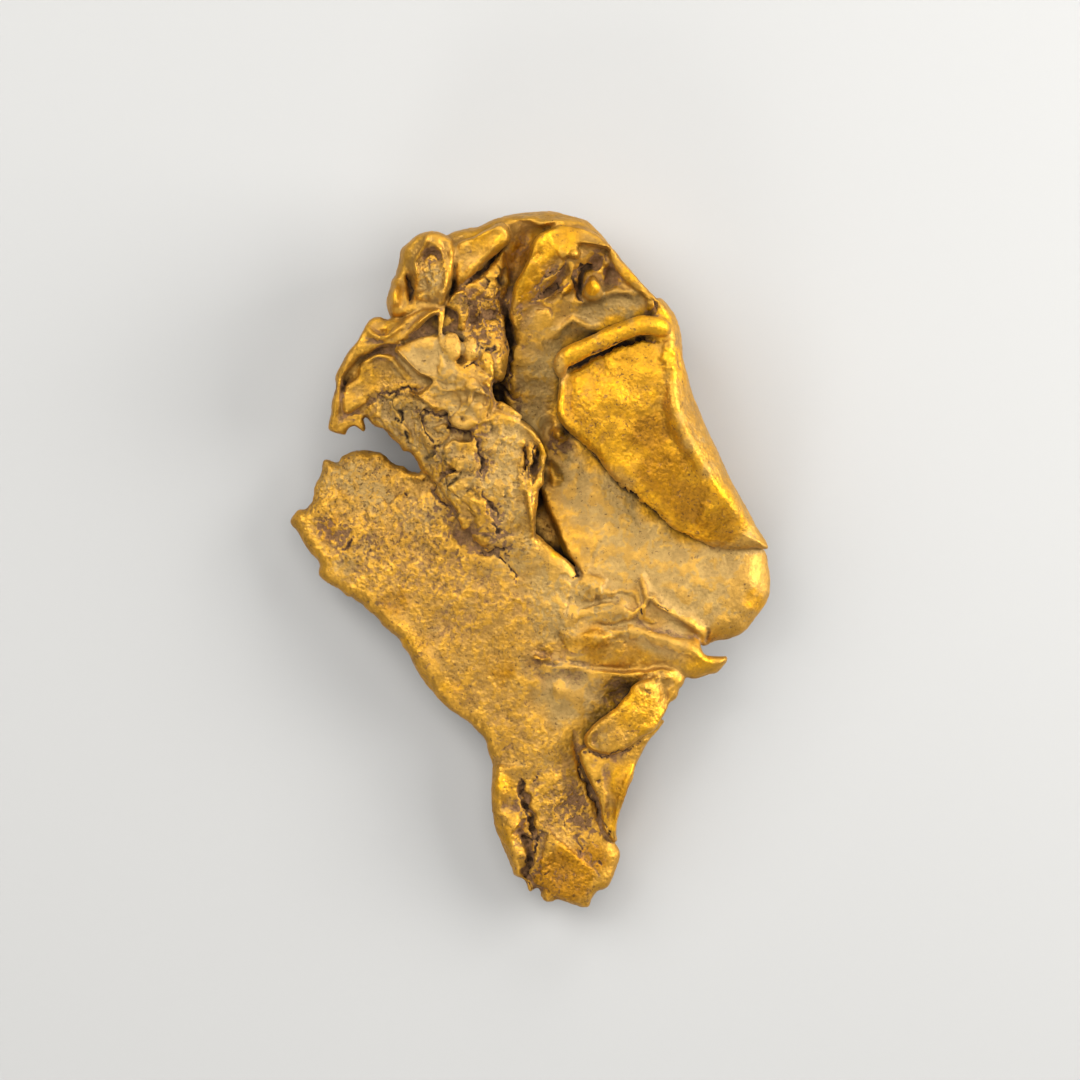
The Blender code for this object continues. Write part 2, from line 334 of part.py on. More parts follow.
CHIP = dict(
    rim=[
        (-4.25, 5.5), (-3.9, 5.42), (-3.35, 5.45), (-3.15, 5.1), (-3.3, 4.85), (-3.5, 4.6), (-3.65, 4.5),
        (-3.8, 4.9), (-4.1, 5.2)],
    face=[(-4.1, 5.4, 4.3), (-3.4, 5.2, 4.55), (-3.6, 4.7, 4.3)],
    thickness=.9,
    radius=.12,
    rough=(.12, .7),
)
LOW_PLATE = dict(
    rim=[
        (-3.8, 3.1), (-3.5, 3.4), (-3.3, 3.55), (-2.9, 3.5), (-2.4, 3.4), (-1.95, 3.4), (-1.9, 3),
        (-1.8, 2.7),
        (-1.6, 2.3), (-1.5, 1.9), (-1.35, 1.4), (-1.2, 1), (-1.1, .7), (-1.3, .6), (-1.5, .52), (-1.8, .5),
        (-2.1, .6), (-2.3, .8), (-2.5, 1.15), (-2.8, 1.2), (-2.9, 1.7), (-3.1, 2.1), (-3.5, 2.6)],
    face=[
        (-3.6, 3.1, 4), (-2.9, 3.3, 4.4), (-2.1, 3.2, 4.55), (-3, 2.4, 4.15), (-2.2, 2.2, 4.4),
        (-1.8, 1.5, 4.25),
        (-2.6, 1.5, 3.95), (-1.8, .8, 4), (-1.3, .8, 4)],
    thickness=1.3,
    rough=(.1, .7),
    marks=[
        ("groove", .15, .3, [(-1.9, 2.8), (-1.65, 2.3), (-1.55, 2.1)]),
        ("groove", .15, .35, [(-1.5, 1.4), (-1.3, 1.1), (-1.15, .8)]),
    ],
)
UNDER_LAYER = dict(
    rim=[
        (-4.4, 3.6), (-4.52, 3.94), (-4.68, 4.18), (-4.88, 4.38), (-5.08, 4.38), (-5.24, 4.62),
        (-5.4, 4.78),
        (-5.64, 4.98), (-5.76, 5.22), (-5.96, 5.34), (-6.2, 5.38), (-6.44, 5.58), (-6.56, 5.72),
        (-6.9, 5.85),
        (-7.2, 5.9), (-7, 6.3), (-6.3, 6.8), (-5, 7.2), (-4, 7), (-2.4, 6.2), (-2, 5.2), (-2.2, 4),
        (-2.7, 3),
        (-3.2, 2.2), (-3.7, 2.4), (-3.9, 2.8), (-4.1, 3.3)],
    face=[
        (-6.4, 6, 3.75), (-5.4, 6.2, 4.1), (-5.5, 5.2, 3.7), (-4.6, 5.5, 4.15), (-4.4, 4.2, 3.8),
        (-3.8, 4.5, 4.1),
        (-3.8, 3.5, 3.8), (-3.4, 2.6, 3.7), (-3, 5, 4.3), (-3.4, 5.8, 4.3), (-2.3, 5.1, 4.45)],
    thickness=1.2,
    radius=.2,
    rough=(.13, .7),
    marks=[
        ("ledge", .4, .2, [(-4.1, 6.4), (-4.5, 5.8), (-4.3, 5.2), (-4.1, 4.6), (-4, 3.9)]),
        ("ridge", .25, .15, [(-5.6, 6.3), (-5.2, 5.6), (-5, 4.8)]),
        ("groove", .2, .15, [(-5, 6.2), (-4.8, 5.4), (-4.5, 4.6)]),
    ],
)
CLAW_STRIP = dict(
    rim=[
        (-8.08, 5.22), (-8.08, 5.42), (-8, 5.82), (-7.96, 6.22), (-7.88, 6.62), (-7.8, 7.02), (-7.84, 7.26),
        (-7.8, 7.46), (-7.64, 7.74), (-7.4, 8.1), (-7.2, 8.38), (-6.92, 8.66), (-6.76, 8.94), (-6.64, 9.26),
        (-6.48, 9.62), (-5.96, 9.74), (-5.84, 9.66), (-5.6, 9.66), (-5.2, 9.65), (-4.8, 9.8), (-4.3, 10.05),
        (-3.6, 10.1), (-3.5, 9.9), (-3.9, 9.7), (-4.3, 9.4), (-4.7, 9.1), (-5, 8.75), (-5.5, 8.6),
        (-6, 8.5),
        (-6.4, 8.3), (-6.8, 8.1), (-7.1, 7.7), (-7.45, 7.3), (-7.5, 7), (-7.55, 6.6), (-7.5, 6.2),
        (-7.45, 5.85),
        (-7.1, 5.9), (-6.7, 5.9), (-6.6, 5.74), (-6.68, 5.7), (-6.64, 5.42), (-6.6, 5.14), (-6.76, 5.14),
        (-6.88, 5.26), (-7.04, 5.38), (-7.16, 5.34), (-7.32, 5.22), (-7.4, 5.02)],
    face=[
        (-7.8, 5.4, 3.6), (-7.8, 6.5, 3.9), (-7.6, 7.4, 4.1), (-7, 8.2, 4.3), (-6.5, 9.2, 4.6),
        (-6, 8.9, 4.6),
        (-5.4, 9.1, 4.7), (-4.6, 9.6, 4.8), (-3.8, 9.9, 5), (-6.8, 5.5, 3.5), (-6, 9.5, 4.35),
        (-5, 9.5, 4.5)],
    thickness=.7,
    rough=(.08, .8),
    marks=[
        ("ridge", .2, .35, [(-6.5, 9.35), (-6.3, 9), (-6, 8.87), (-5.7, 8.9), (-5.4, 9.1),
            (-5.1, 9.35), (-4.7, 9.75)]),
        ("ridge", .2, .3, [(-4.9, 8.9), (-4.5, 9.3), (-4.3, 9.55), (-3.9, 9.85), (-3.6, 9.85)]),
        ("groove", .18, .3, [(-6, 9.05), (-5.7, 9.07)]),
        ("ridge", .25, .25, [(-7.9, 5.4), (-7.75, 6.2), (-7.6, 7.1), (-7.3, 7.9), (-6.8, 8.5)]),
    ],
)
CLAW_TONGUE = dict(
    rim=[
        (-7.4, 7), (-7.1, 7.2), (-6.9, 7.4), (-6.8, 7.85), (-6.4, 8.1), (-6.05, 8.27), (-5.75, 8.25),
        (-5.4, 8.2), (-5.1, 7.9), (-4.7, 7.6), (-4.3, 7.35), (-4, 7.1), (-4.6, 6.9), (-5, 6.8),
        (-5.5, 6.75),
        (-6, 6.6), (-6.4, 6.3), (-6.8, 6.1), (-7.2, 5.9), (-7.45, 5.9), (-7.5, 6.5)],
    face=[
        (-7.2, 6.2, 4), (-7, 7, 4.05), (-6.6, 7.8, 4.25), (-6, 8.1, 4.35), (-5.4, 7.8, 4.35),
        (-6, 7.2, 4.05),
        (-5.2, 7.1, 4.15), (-4.5, 7, 4.3), (-6.2, 6.5, 4)],
    thickness=.6,
    radius=.12,
    rough=(.08, .9),
    marks=[
        ("ridge", .16, .22, [(-6.8, 7.8), (-6.4, 8.05), (-6.05, 8.2), (-5.75, 8.18), (-5.5, 7.95),
            (-5.1, 7.5), (-4.8, 7.25)]),
    ],
)
CLAW_BACK = dict(
    rim=[
        (-7.7, 5.6), (-7.6, 7.2), (-6.9, 8.3), (-6.3, 9.2), (-5, 9.5), (-3.6, 9.8), (-2.6, 9.4),
        (-1.9, 8.6),
        (-1.6, 7.6), (-2.4, 6.6), (-3.4, 6.3), (-5, 6.2), (-6.4, 6), (-7, 5.7)],
    face=[
        (-7.4, 6, 3.5), (-6.6, 8, 4), (-5, 8.4, 4.45), (-3.6, 8, 4.6), (-4.4, 6.8, 4.3),
        (-3.6, 9.4, 4.35), (-2.4, 8, 4.75),
        (-5.4, 9, 4.3), (-1.9, 7.5, 4.7)],
    thickness=1.4,
    rough=(.1, .7),
    radius=.3,
)
EAR = dict(
    rim=[
        (-5.72, 10.42), (-5.68, 10.02), (-5.6, 9.7), (-5.3, 9.6), (-4.9, 9.7), (-4.4, 9.8), (-3.6, 9.9),
        (-3.35, 10.2), (-3.2, 10.8), (-3.05, 11.4), (-2.98, 11.9), (-2.95, 12.4), (-3.05, 12.75),
        (-3.3, 12.95),
        (-3.6, 13.06), (-4, 13.14), (-4.48, 13.02), (-4.8, 12.78), (-5.12, 12.46), (-5.2, 12.22),
        (-5.24, 11.94), (-5.32, 11.62), (-5.44, 11.34), (-5.56, 11.22), (-5.56, 10.98), (-5.64, 10.74)],
    radius=.4,
    face=[
        (-4, 12.9, 5.1), (-4.5, 12.5, 5), (-5, 12, 4.6), (-4.05, 11.7, 4.75), (-3.9, 11, 4.8),
        (-3.2, 12, 5),
        (-4.7, 10.8, 4.3), (-5.3, 10.5, 4.5), (-4, 10.4, 4.75)],
    thickness=1.9,
    rough=(.1, .7),
    marks=[
        ("ridge", .16, .45, [(-4.05, 13), (-4.12, 12.7), (-4.35, 12.3), (-4.6, 11.85), (-4.5, 11.4),
            (-4.5, 10.95)]),
        ("ledge", .4, .4, [(-3.4, 10.3), (-3.32, 10.9), (-3.35, 11.5), (-3.5, 12.3), (-3.6, 12.6)]),
        ("ridge", .25, .25, [(-3.15, 12.6), (-3.1, 12), (-3.2, 11.3), (-3.32, 10.6)]),
        ("groove", .2, .35, [(-3.6, 12), (-3.8, 12.2), (-4.05, 12.25), (-4.3, 12.05)]),
        ("ridge", .2, .15, [(-3.55, 12.3), (-3.75, 12.55), (-4, 12.6)]),
        ("ledge", .3, .15, [(-3.4, 10.75), (-3.9, 10.8), (-4.3, 10.7)]),
        ("lump", .28, .3, [(-4, 10.5), (-3.6, 10.55), (-4.4, 10.5)]),
        ("ridge", .35, .5, [(-5.45, 11), (-5.4, 10.5), (-5.35, 10.05)]),
        ("groove", .18, .6, [(-4.85, 11.4), (-4.8, 10.9), (-4.75, 10.3)]),
    ],
)
LEDGE_BAR = dict(
    rim=[
        (-2.95, 12.62), (-2.3, 12.9), (-1.6, 13.25), (-1.2, 13.45), (-.95, 13.3), (-.8, 12.9), (-.88, 12.6),
        (-1.2, 12.35), (-1.6, 12), (-2, 11.5), (-2.4, 11.2), (-2.9, 10.9), (-3.05, 11.6)],
    face=[(-2.8, 12.3, 4.95), (-1.2, 13.1, 5.35), (-2.7, 11.3, 4.8), (-1.5, 12.3, 5.2)],
    thickness=1.2,
    rough=(.08, .9),
    radius=.2,
    marks=[
        ("ridge", .25, .15, [(-1.2, 12.7), (-1.8, 12.1), (-2.6, 11.4)]),
        ("ridge", .2, .15, [(-1.2, 13.3), (-1.7, 13.05), (-2.4, 12.7)]),
    ],
)
FLAKE = dict(
    rim=[
        (-3.4, 10.12), (-3.22, 10.48), (-2.98, 10.72), (-2.7, 10.8), (-2.5, 10.7), (-2.36, 10.42),
        (-2.32, 10.1),
        (-2.38, 9.75), (-2.5, 9.4), (-2.6, 9.1), (-2.85, 9.05), (-2.95, 9.3), (-2.9, 9.65), (-3.05, 9.9)],
    radius=.14,
    face=[
        (-3.25, 10.2, 4.95), (-2.9, 10.6, 5.15), (-2.6, 10.7, 5.15), (-2.38, 10.2, 5.05),
        (-2.8, 10.2, 4.95),
        (-2.7, 9.6, 4.85), (-2.7, 9.15, 4.6)],
    thickness=1.2,
    marks=[
        ("ridge", .16, .14, [(-3.3, 10.15), (-3.1, 10.5), (-2.8, 10.7), (-2.6, 10.66)]),
        ("ridge", .14, .14, [(-2.48, 10.55), (-2.42, 10.2), (-2.46, 9.8), (-2.6, 9.3)]),
        ("groove", .08, .2, [(-2.56, 10.6), (-2.58, 10.3), (-2.7, 10)]),
    ],
)
TENT_LEFT = dict(
    rim=[
        (.95, 13.25), (.5, 13.05), (.2, 12.8), (0, 12.45), (-.1, 12), (-.3, 11.6), (-.5, 11.2), (-.7, 10.7),
        (-.8, 10.2), (-.85, 9.8), (-.75, 9.35), (-.6, 9), (-.55, 8.4), (-.2, 8.5, 3, .4),
        (.1, 9.2, 3.3, .5), (.4, 10, 3.8, .6),
        (.7, 10.7, 4.1, .6), (1, 11.3, 4.3, .5), (1.3, 11.7, 4.4, .5), (1.6, 12.1, 4.6, .4),
        (1.7, 12.7, 4.7, .4),
        (1.5, 13.2, 4.7, .4)],
    face=[
        (.4, 12.6, 5.4), (1.2, 12.6, 5.1), (0, 11.8, 5.4), (-.5, 10.8, 5), (-.7, 9.9, 4.5),
        (.5, 11.3, 4.95),
        (-.5, 9, 3.8), (0, 10, 4.1), (-.4, 8.5, 3.2)],
    rough=(.07, .9),
    thickness=1.5,
    radius=.2,
    marks=[
        ("groove", .1, .3, [(.05, 11.9), (.25, 12.1), (.4, 12.25)]),
        ("ridge", .3, .12, [(.5, 12.8), (.2, 12.3), (.1, 11.7)]),
    ],
)
TENT_TOP = dict(
    rim=[
        (.9, 13.3), (1.5, 13.35), (2.2, 13.2), (2.9, 12.8), (3.25, 12.42), (3.2, 12.3), (2.7, 12.42),
        (2.2, 12.5),
        (1.9, 12.5), (2, 12.2), (1.8, 11.95), (1.5, 12.05), (1.3, 11.9), (1, 12.2), (.8, 12.8)],
    face=[(1.2, 13, 5.2), (2.5, 12.7, 5.3), (1.5, 12.2, 5.25)],
    thickness=1.0,
    rough=(.06, .8),
    marks=[
        ("ridge", .14, .15, [(1.85, 12.68), (2.3, 12.6), (2.7, 12.52), (3.2, 12.4)]),
        ("lump", .25, .2, [(1.7, 12.15)]),
    ],
)
TENT_RIGHT = dict(
    rim=[
        (3.2, 12.45), (3.6, 11.98), (4, 11.54), (4.4, 11.06), (4.8, 10.66), (4.98, 10.5), (4.95, 10.1),
        (4.8, 9.85), (4.5, 9.95), (4.5, 10.4), (4.15, 10.68), (3.68, 11.05), (3.32, 11.5), (3.05, 12.15)],
    face=[(3.4, 12.1, 5.1), (4.1, 11.3, 5.1), (4.8, 10.5, 5.2), (4.7, 10.1, 5.1)],
    thickness=1.2,
    rough=(.06, .8),
)
TAG = dict(
    rim=[
        (2.12, -7.02), (2.28, -6.78), (2.56, -6.46), (3.12, -6.06), (3.48, -5.78), (3.68, -5.5),
        (3.96, -5.26),
        (4.04, -5.02), (4.4, -4.78), (4.75, -4.68), (5, -4.5), (5.4, -4.5), (5.8, -4.5), (6.16, -4.66),
        (6.08, -4.94), (5.92, -5.14), (5.88, -5.42), (5.56, -5.7), (5.48, -5.94), (5.28, -6.3),
        (5.12, -6.58),
        (4.88, -6.82), (4.6, -6.98), (4.12, -7.3), (3.68, -7.62), (3.16, -7.78), (2.76, -7.7),
        (2.36, -7.54),
        (2.16, -7.34)],
    radius=.22,
    face=[
        (2.5, -7.1, 3.6), (3.3, -6.6, 3.75), (4.4, -5.8, 3.8), (5.2, -5, 3.6), (3.4, -7.4, 3.6),
        (4.8, -6.4, 3.6),
        (5.8, -5, 3.3)],
    thickness=.75,
    rough=(.08, .8),
    marks=[
        ("ridge", .25, .2, [(2.6, -6.6), (2.35, -6.9), (2.25, -7.2)]),
        ("groove", .14, .15, [(2.6, -6.85), (2.5, -7.2), (2.7, -7.5)]),
        ("lump", .2, .3, [(5, -4.6), (5.45, -4.6)]),
        ("groove", .2, .25, [(5.3, -4.9), (5.4, -5.4), (5.2, -5.9)]),
    ],
)
STEM_FACET = dict(
    rim=[
        (1.92, -7.66), (2.12, -8.38), (2.4, -8.98), (2.68, -9.58), (2.8, -10.18), (2.92, -10.78),
        (3.2, -11.18), (3.42, -11.3), (3.44, -10.82), (3.6, -10.06), (3.88, -9.18), (4.12, -8.66),
        (4.28, -8.1), (4.6, -7.42), (5, -6.94), (5.4, -6.42), (5.28, -6.3), (4.5, -6.6), (3, -7.2),
        (2.2, -7.4)],
    face=[
        (2.2, -7.8, 2.95), (3, -8.5, 3), (3.1, -10, 2.75), (3.9, -8.2, 2.95), (3.35, -11, 2.5),
        (4.8, -7, 2.9),
        (3.5, -9.4, 2.85)],
    thickness=1.0,
    rough=(.05, 1),
    marks=[
        ("groove", .3, .15, [(3, -8.3), (3.15, -9.4), (3.2, -10.6)]),
        ("ridge", .2, .2, [(4.1, -8.1), (3.8, -8.9), (3.5, -9.9), (3.35, -10.9)]),
        ("lump", .12, -.2, [(2.7, -8.85)]),
    ],
)
SHEETS = [
    MAIN_LEAF, RIGHT_PLATE, BACK_FOLD, CROWN, ROUGH_MASS, FLAP, PAGE, TOP_LEAF, MIDDLE_PLATE, CHIP, LOW_PLATE,
    UNDER_LAYER, CLAW_STRIP, CLAW_TONGUE, CLAW_BACK, EAR, LEDGE_BAR, FLAKE, TENT_LEFT, TENT_TOP, TENT_RIGHT, TAG,
    STEM_FACET]

# Rolled edges: points x, y, z and radius along each.
ROLLS = [
    [(1.2, 7.45, 4.85, .2), (1.17, 7.75, 5.1, .3), (1.3, 8, 5.25, .36), (1.9, 8.3, 5.4, .4),
    (2.9, 8.75, 5.45, .38), (3.8, 9.15, 5.5, .38), (4.5, 9.35, 5.5, .42),
     (5.15, 9.25, 5.35, .42)],
    [(-3.5, 10.05, 4.7, .1), (-3.57, 9.6, 4.85, .12), (-3.6, 9, 4.95, .12), (-3.55, 8.5, 4.9, .1)],
    [(-1.45, 6.3, 4.5, .1), (-1.05, 6.1, 4.55, .16), (-.7, 5.9, 4.6, .14), (-.4, 5.72, 4.5, .1)],
    [(-2.2, 8.9, 4.5, .15), (-1.9, 8.4, 4.8, .2), (-1.72, 7.9, 4.9, .2), (-1.6, 7.3, 4.9, .15)],
]
# Beads: centre, half sizes, turn in degrees.
BEADS = [
    ((2.45, 10.85, 4.6), (.45, .6, .5), -12),
    ((-3.15, 8.5, 4.85), (.4, .56, .35), 8),
    ((-2.37, 8.4, 4.8), (.37, .44, .36), 0),
    ((-2.3, 7.55, 4.8), (.16, .2, .25), 0),
    ((-1.95, 7.75, 4.75), (.15, .22, .25), 20),
    ((-2.5, 7.7, 4.8), (.35, .2, .25), 20),
]


def curve_through(points, step, closed):
    """Rows of any length along a smooth curve through the points, about a step apart."""
    p = np.array(points, float)
    count = len(p)
    rows = []
    for i in range(count if closed else count - 1):
        a, b = p[i], p[(i + 1) % count]
        before = p[(i - 1) % count] if closed or i > 0 else a
        after = p[(i + 2) % count] if closed or i + 2 < count else b
        length = math.dist(a[:2], b[:2])
        leave = (b - before) * (0.8 * length / max(math.dist(before[:2], b[:2]), 1e-6))
        arrive = (after - a) * (0.8 * length / max(math.dist(a[:2], after[:2]), 1e-6))
        pieces = max(1, round(length / step))
        for k in range(pieces):
            t = k / pieces
            rows.append(
                ((2 * t - 3) * t * t + 1) * a + ((t - 2) * t + 1) * t * leave
                + (3 - 2 * t) * t * t * b + (t - 1) * t * t * arrive)
    if not closed:
        rows.append(p[-1])
    return np.array(rows)


def nearest_on(path, xy, closed):
    """For each point: its distance to the path, the span it is nearest to, how far along, and which side."""
    start = path[:, :2]
    end = np.roll(start, -1, axis=0)
    if not closed:
        start, end = start[:-1], end[:-1]
    best = np.full(len(xy), np.inf)
    span = np.zeros(len(xy), int)
    along = np.zeros(len(xy))
    left = np.zeros(len(xy), bool)
    for i, (a, b) in enumerate(zip(start, end)):
        d = b - a
        t = np.clip(((xy - a) @ d) / max(d @ d, 1e-12), 0, 1)
        away = xy - a - t[:, None] * d
        gap = np.hypot(away[:, 0], away[:, 1])
        near = gap < best
        best[near], span[near], along[near] = gap[near], i, t[near]
        left[near] = (d[0] * away[:, 1] - d[1] * away[:, 0])[near] > 0
    return best, span, along, left


def within(path, xy):
    """Which points lie inside a closed path."""
    x, y = xy.T
    odd = np.zeros(len(xy), bool)
    for (ax, ay), (bx, by) in zip(path[:, :2], np.roll(path[:, :2], -1, axis=0)):
        if ay != by:
            odd ^= ((ay > y) != (by > y)) & (x < (bx - ax) * (y - ay) / (by - ay) + ax)
    return odd


def face_through(points):
    """The smooth face that passes through (x, y, z) points: a thin-plate spline."""
    p = np.array(points, float)
    count = len(p)

    def bend(xy):
        squared = ((xy[:, None, :] - p[None, :, :2])**2).sum(-1)
        return 0.5 * squared * np.log(np.maximum(squared, 1e-9))

    plane = np.hstack([np.ones((count, 1)), p[:, :2]])
    matrix = np.zeros((count + 3, count + 3))
    matrix[:count, :count] = bend(p[:, :2]) + 1e-3 * np.eye(count)
    matrix[:count, count:] = plane
    matrix[count:, :count] = plane.T
    weights = np.linalg.lstsq(matrix, np.append(p[:, 2], [0, 0, 0]), rcond=None)[0]

    def height(xy):
        return bend(xy) @ weights[:count] + weights[count] + xy @ weights[count + 1:]

    return height


def mark_height(mark, xy):
    """How much a mark raises the face. A ledge raises the left of its path and drops sharply to the right."""
    kind, width, height, path = mark
    path = np.array(path, float)
    raised = np.zeros(len(xy))
    if kind == "lump":
        for x, y in path:
            near = np.clip(((xy - (x, y))**2).sum(-1) / width**2, 0, 1)
            raised += height * (1 - near)**2
        return raised
    close = (xy > path.min(0) - width).all(1) & (xy < path.max(0) + width).all(1)
    gap, span, along, left = nearest_on(path, xy[close], closed=False)
    near = 1 - np.clip(gap / width, 0, 1)
    through = (span + along) / (len(path) - 1)
    taper = np.clip(4 * np.minimum(through, 1 - through) + 0.25, 0, 1)
    profile = near * near * (3 - 2 * near) * taper
    if kind == "ledge":
        profile *= np.where(left, 1, np.clip(1 - gap / 0.07, 0, 1))
    raised[close] = (-height if kind == "groove" else height) * profile
    return raised


def roughness(size, xy, seed):
    """Natural unevenness of a face, between about -1 and 1."""
    swell = [noise.noise((x, y, seed)) + 0.5 * noise.noise((2.1 * x, 2.1 * y, seed + 7)) for x, y in xy / size]
    return np.array(swell)


def rounded(gap, radius):
    """0 at the edge and 1 from the radius inwards, as a quarter circle."""
    t = 1 - np.clip(gap / np.maximum(radius, 1e-6), 0, 1)
    return np.sqrt(1 - t * t)


def sheet_mesh(sheet, seed):
    """A closed leaf of gold: points and faces."""
    face = face_through(sheet["face"])
    if "back" in sheet:
        under = face_through(sheet["back"])
    else:
        def under(xy):
            return face(xy) - sheet["thickness"]
    rim = []
    for x, y, *rest in sheet["rim"]:
        here = np.array([(x, y)], float)
        z = rest[0] if rest and rest[0] is not None else 0.5 * (face(here)[0] + under(here)[0])
        radius = rest[1] if len(rest) > 1 else sheet.get("radius", EDGE_RADIUS)
        rim.append((x, y, z, radius))
    rim = curve_through(rim, 0.12, closed=True)
    step = SHEET_STEP
    low = rim[:, :2].min(0) - step
    count = np.ceil((rim[:, :2].max(0) + step - low) / step).astype(int) + 1
    grid = np.stack(np.meshgrid(np.arange(count[0]), np.arange(count[1]), indexing="ij"), -1)
    points = (low + grid.reshape(-1, 2) * step)
    cells = (low + (grid[:-1, :-1].reshape(-1, 2) + 0.5) * step)
    kept = within(rim, cells).reshape(count - 1)
    corners = np.zeros(count, int)
    for dx in (0, 1):
        for dy in (0, 1):
            corners[dx:count[0] - 1 + dx, dy:count[1] - 1 + dy] += kept
    used = np.flatnonzero(corners.ravel())
    border = corners.ravel()[used] < 4
    xy = points[used]
    gap, span, along, _ = nearest_on(rim, xy, closed=True)
    edge = rim[span] + (rim[(span + 1) % len(rim)] - rim[span]) * along[:, None]
    xy[border] = edge[border, :2]
    gap[border | ~within(rim, xy)] = 0
    top = face(xy) + sum((mark_height(mark, xy) for mark in sheet.get("marks", [])), np.zeros(len(xy)))
    blend = rounded(gap, edge[:, 3])
    low_side = under(xy)
    if "rough" in sheet:
        height, size = sheet["rough"]
        top += height * roughness(size, xy, seed)
        low_side += height * roughness(size, xy, seed + 50)
    low_side -= sum((mark_height(mark, xy) for mark in sheet.get("back_marks", [])), np.zeros(len(xy)))
    top = edge[:, 2] + (top - edge[:, 2]) * blend
    low_side = np.minimum(edge[:, 2] - (edge[:, 2] - low_side) * blend, top)
    inner = ~border
    index = np.full(len(points), -1)
    index[used] = np.arange(len(used))
    below = np.arange(len(used))
    below[inner] = len(used) + np.arange(inner.sum())
    i, j = np.nonzero(kept)
    quad = np.stack([index[(i + di) * count[1] + j + dj] for di, dj in ((0, 0), (1, 0), (1, 1), (0, 1))], -1)
    verts = np.vstack([np.column_stack([xy, top]), np.column_stack([xy, low_side])[inner]])
    return verts, np.vstack([quad, below[quad[:, ::-1]]]).tolist()


def roll_mesh(path, sides=14):
    """A round roll with domed ends: points and faces."""
    rows = curve_through(path, 0.15, closed=False)
    ahead = np.gradient(rows[:, :3], axis=0)
    ahead /= np.linalg.norm(ahead, axis=1)[:, None]
    rings = [(rows[i, :3], ahead[i], rows[i, 3]) for i in range(len(rows))]
    for k in (0.35, 0.7, 0.97):
        for end, sign in ((0, -1), (-1, 1)):
            reach = rows[end, 3] * math.sin(k * math.pi / 2) * sign
            ring = (rows[end, :3] + ahead[end] * reach, ahead[end], rows[end, 3] * math.cos(k * math.pi / 2))
            rings = [ring] + rings if sign < 0 else rings + [ring]
    verts, faces = [], []
    for centre, forward, radius in rings:
        side = np.cross(forward, (0, 0, 1))
        side /= np.linalg.norm(side)
        high = np.cross(side, forward)
        for k in range(sides):
            a = 2 * math.pi * k / sides
            verts.append(centre + (side * math.cos(a) + high * math.sin(a)) * radius)
    for ring in range(len(rings) - 1):
        for k in range(sides):
            a, b = ring * sides + k, ring * sides + (k + 1) % sides
            faces.append((a, b, b + sides, a + sides))
    faces.append(tuple(reversed(range(sides))))
    faces.append(tuple(range(len(verts) - sides, len(verts))))
    return np.array(verts), faces


def bead_mesh(centre, half, turn):
    """A rounded bead: points and faces."""
    ball = bmesh.new()
    bmesh.ops.create_icosphere(ball, subdivisions=3, radius=1)
    verts = np.array([v.co[:] for v in ball.verts]) * half
    faces = [tuple(v.index for v in f.verts) for f in ball.faces]
    ball.free()
    c, s = math.cos(math.radians(turn)), math.sin(math.radians(turn))
    return verts @ np.array(((c, s, 0), (-s, c, 0), (0, 0, 1))) + centre, faces


def joined(pieces, name):
    """One object of all the closed pieces, still overlapping."""
    verts, faces, start = [], [], 0
    for points, polygons in pieces:
        verts.append(points)
        faces += [tuple(k + start for k in polygon) for polygon in polygons]
        start += len(points)
    mesh = bpy.data.meshes.new(name)
    mesh.from_pydata((np.vstack(verts) * UNIT).tolist(), [], faces)
    shell = bmesh.new()
    shell.from_mesh(mesh)
    bmesh.ops.recalc_face_normals(shell, faces=shell.faces)
    shell.to_mesh(mesh)
    shell.free()
    obj = bpy.data.objects.new(name, mesh)
    bpy.context.scene.collection.objects.link(obj)
    return obj


def apply_modifier(obj, kind, **settings):
    modifier = obj.modifiers.new(kind.title(), kind)
    for name, value in settings.items():
        setattr(modifier, name, value)
    bpy.context.view_layer.objects.active = obj
    bpy.ops.object.modifier_apply(modifier=modifier.name)


def keep_main_body(obj):
    """Deletes what the skin left apart from the largest shell."""
    mesh = bmesh.new()
    mesh.from_mesh(obj.data)
    left = set(mesh.verts)
    shells = []
    while left:
        queue = [left.pop()]
        shell = set(queue)
        while queue:
            for edge in queue.pop().link_edges:
                for vert in edge.verts:
                    if vert not in shell:
                        shell.add(vert)
                        left.discard(vert)
                        queue.append(vert)
        shells.append(shell)
    shells.sort(key=len)
    for shell in shells[:-1]:
        bmesh.ops.delete(mesh, geom=list(shell), context="VERTS")
    mesh.to_mesh(obj.data)
    mesh.free()


def roughen(obj, height, size):
    """Swells and hollows of the whole skin, along its own normals."""
    mesh = obj.data
    places = np.empty(3 * len(mesh.vertices), np.float32)
    mesh.vertices.foreach_get("co", places)
    normals = np.empty_like(places)
    mesh.vertices.foreach_get("normal", normals)
    places, normals = places.reshape(-1, 3), normals.reshape(-1, 3)
    swell = [
        noise.noise((x, y, z)) + 0.5 * noise.noise((2.2 * x, 2.2 * y, 2.2 * z + 9))
        for x, y, z in (places / (size * UNIT)).tolist()]
    places += normals * (np.array(swell, np.float32) * height * UNIT)[:, None]
    mesh.vertices.foreach_set("co", places.ravel())
    mesh.update()


def wear_flat(obj, height):
    """Cuts the lowest bumps of the back level at this height and closes them: the spots it rests on."""
    mesh = bmesh.new()
    mesh.from_mesh(obj.data)
    bmesh.ops.bisect_plane(
        mesh, geom=mesh.verts[:] + mesh.edges[:] + mesh.faces[:], dist=1e-8,
        plane_co=(0, 0, height), plane_no=(0, 0, 1), clear_inner=True)
    loops = [edge for edge in mesh.edges if edge.is_boundary]
    bmesh.ops.triangle_fill(mesh, edges=loops, use_beauty=True, use_dissolve=False, normal=(0, 0, -1))
    bmesh.ops.recalc_face_normals(mesh, faces=mesh.faces)
    mesh.to_mesh(obj.data)
    mesh.free()


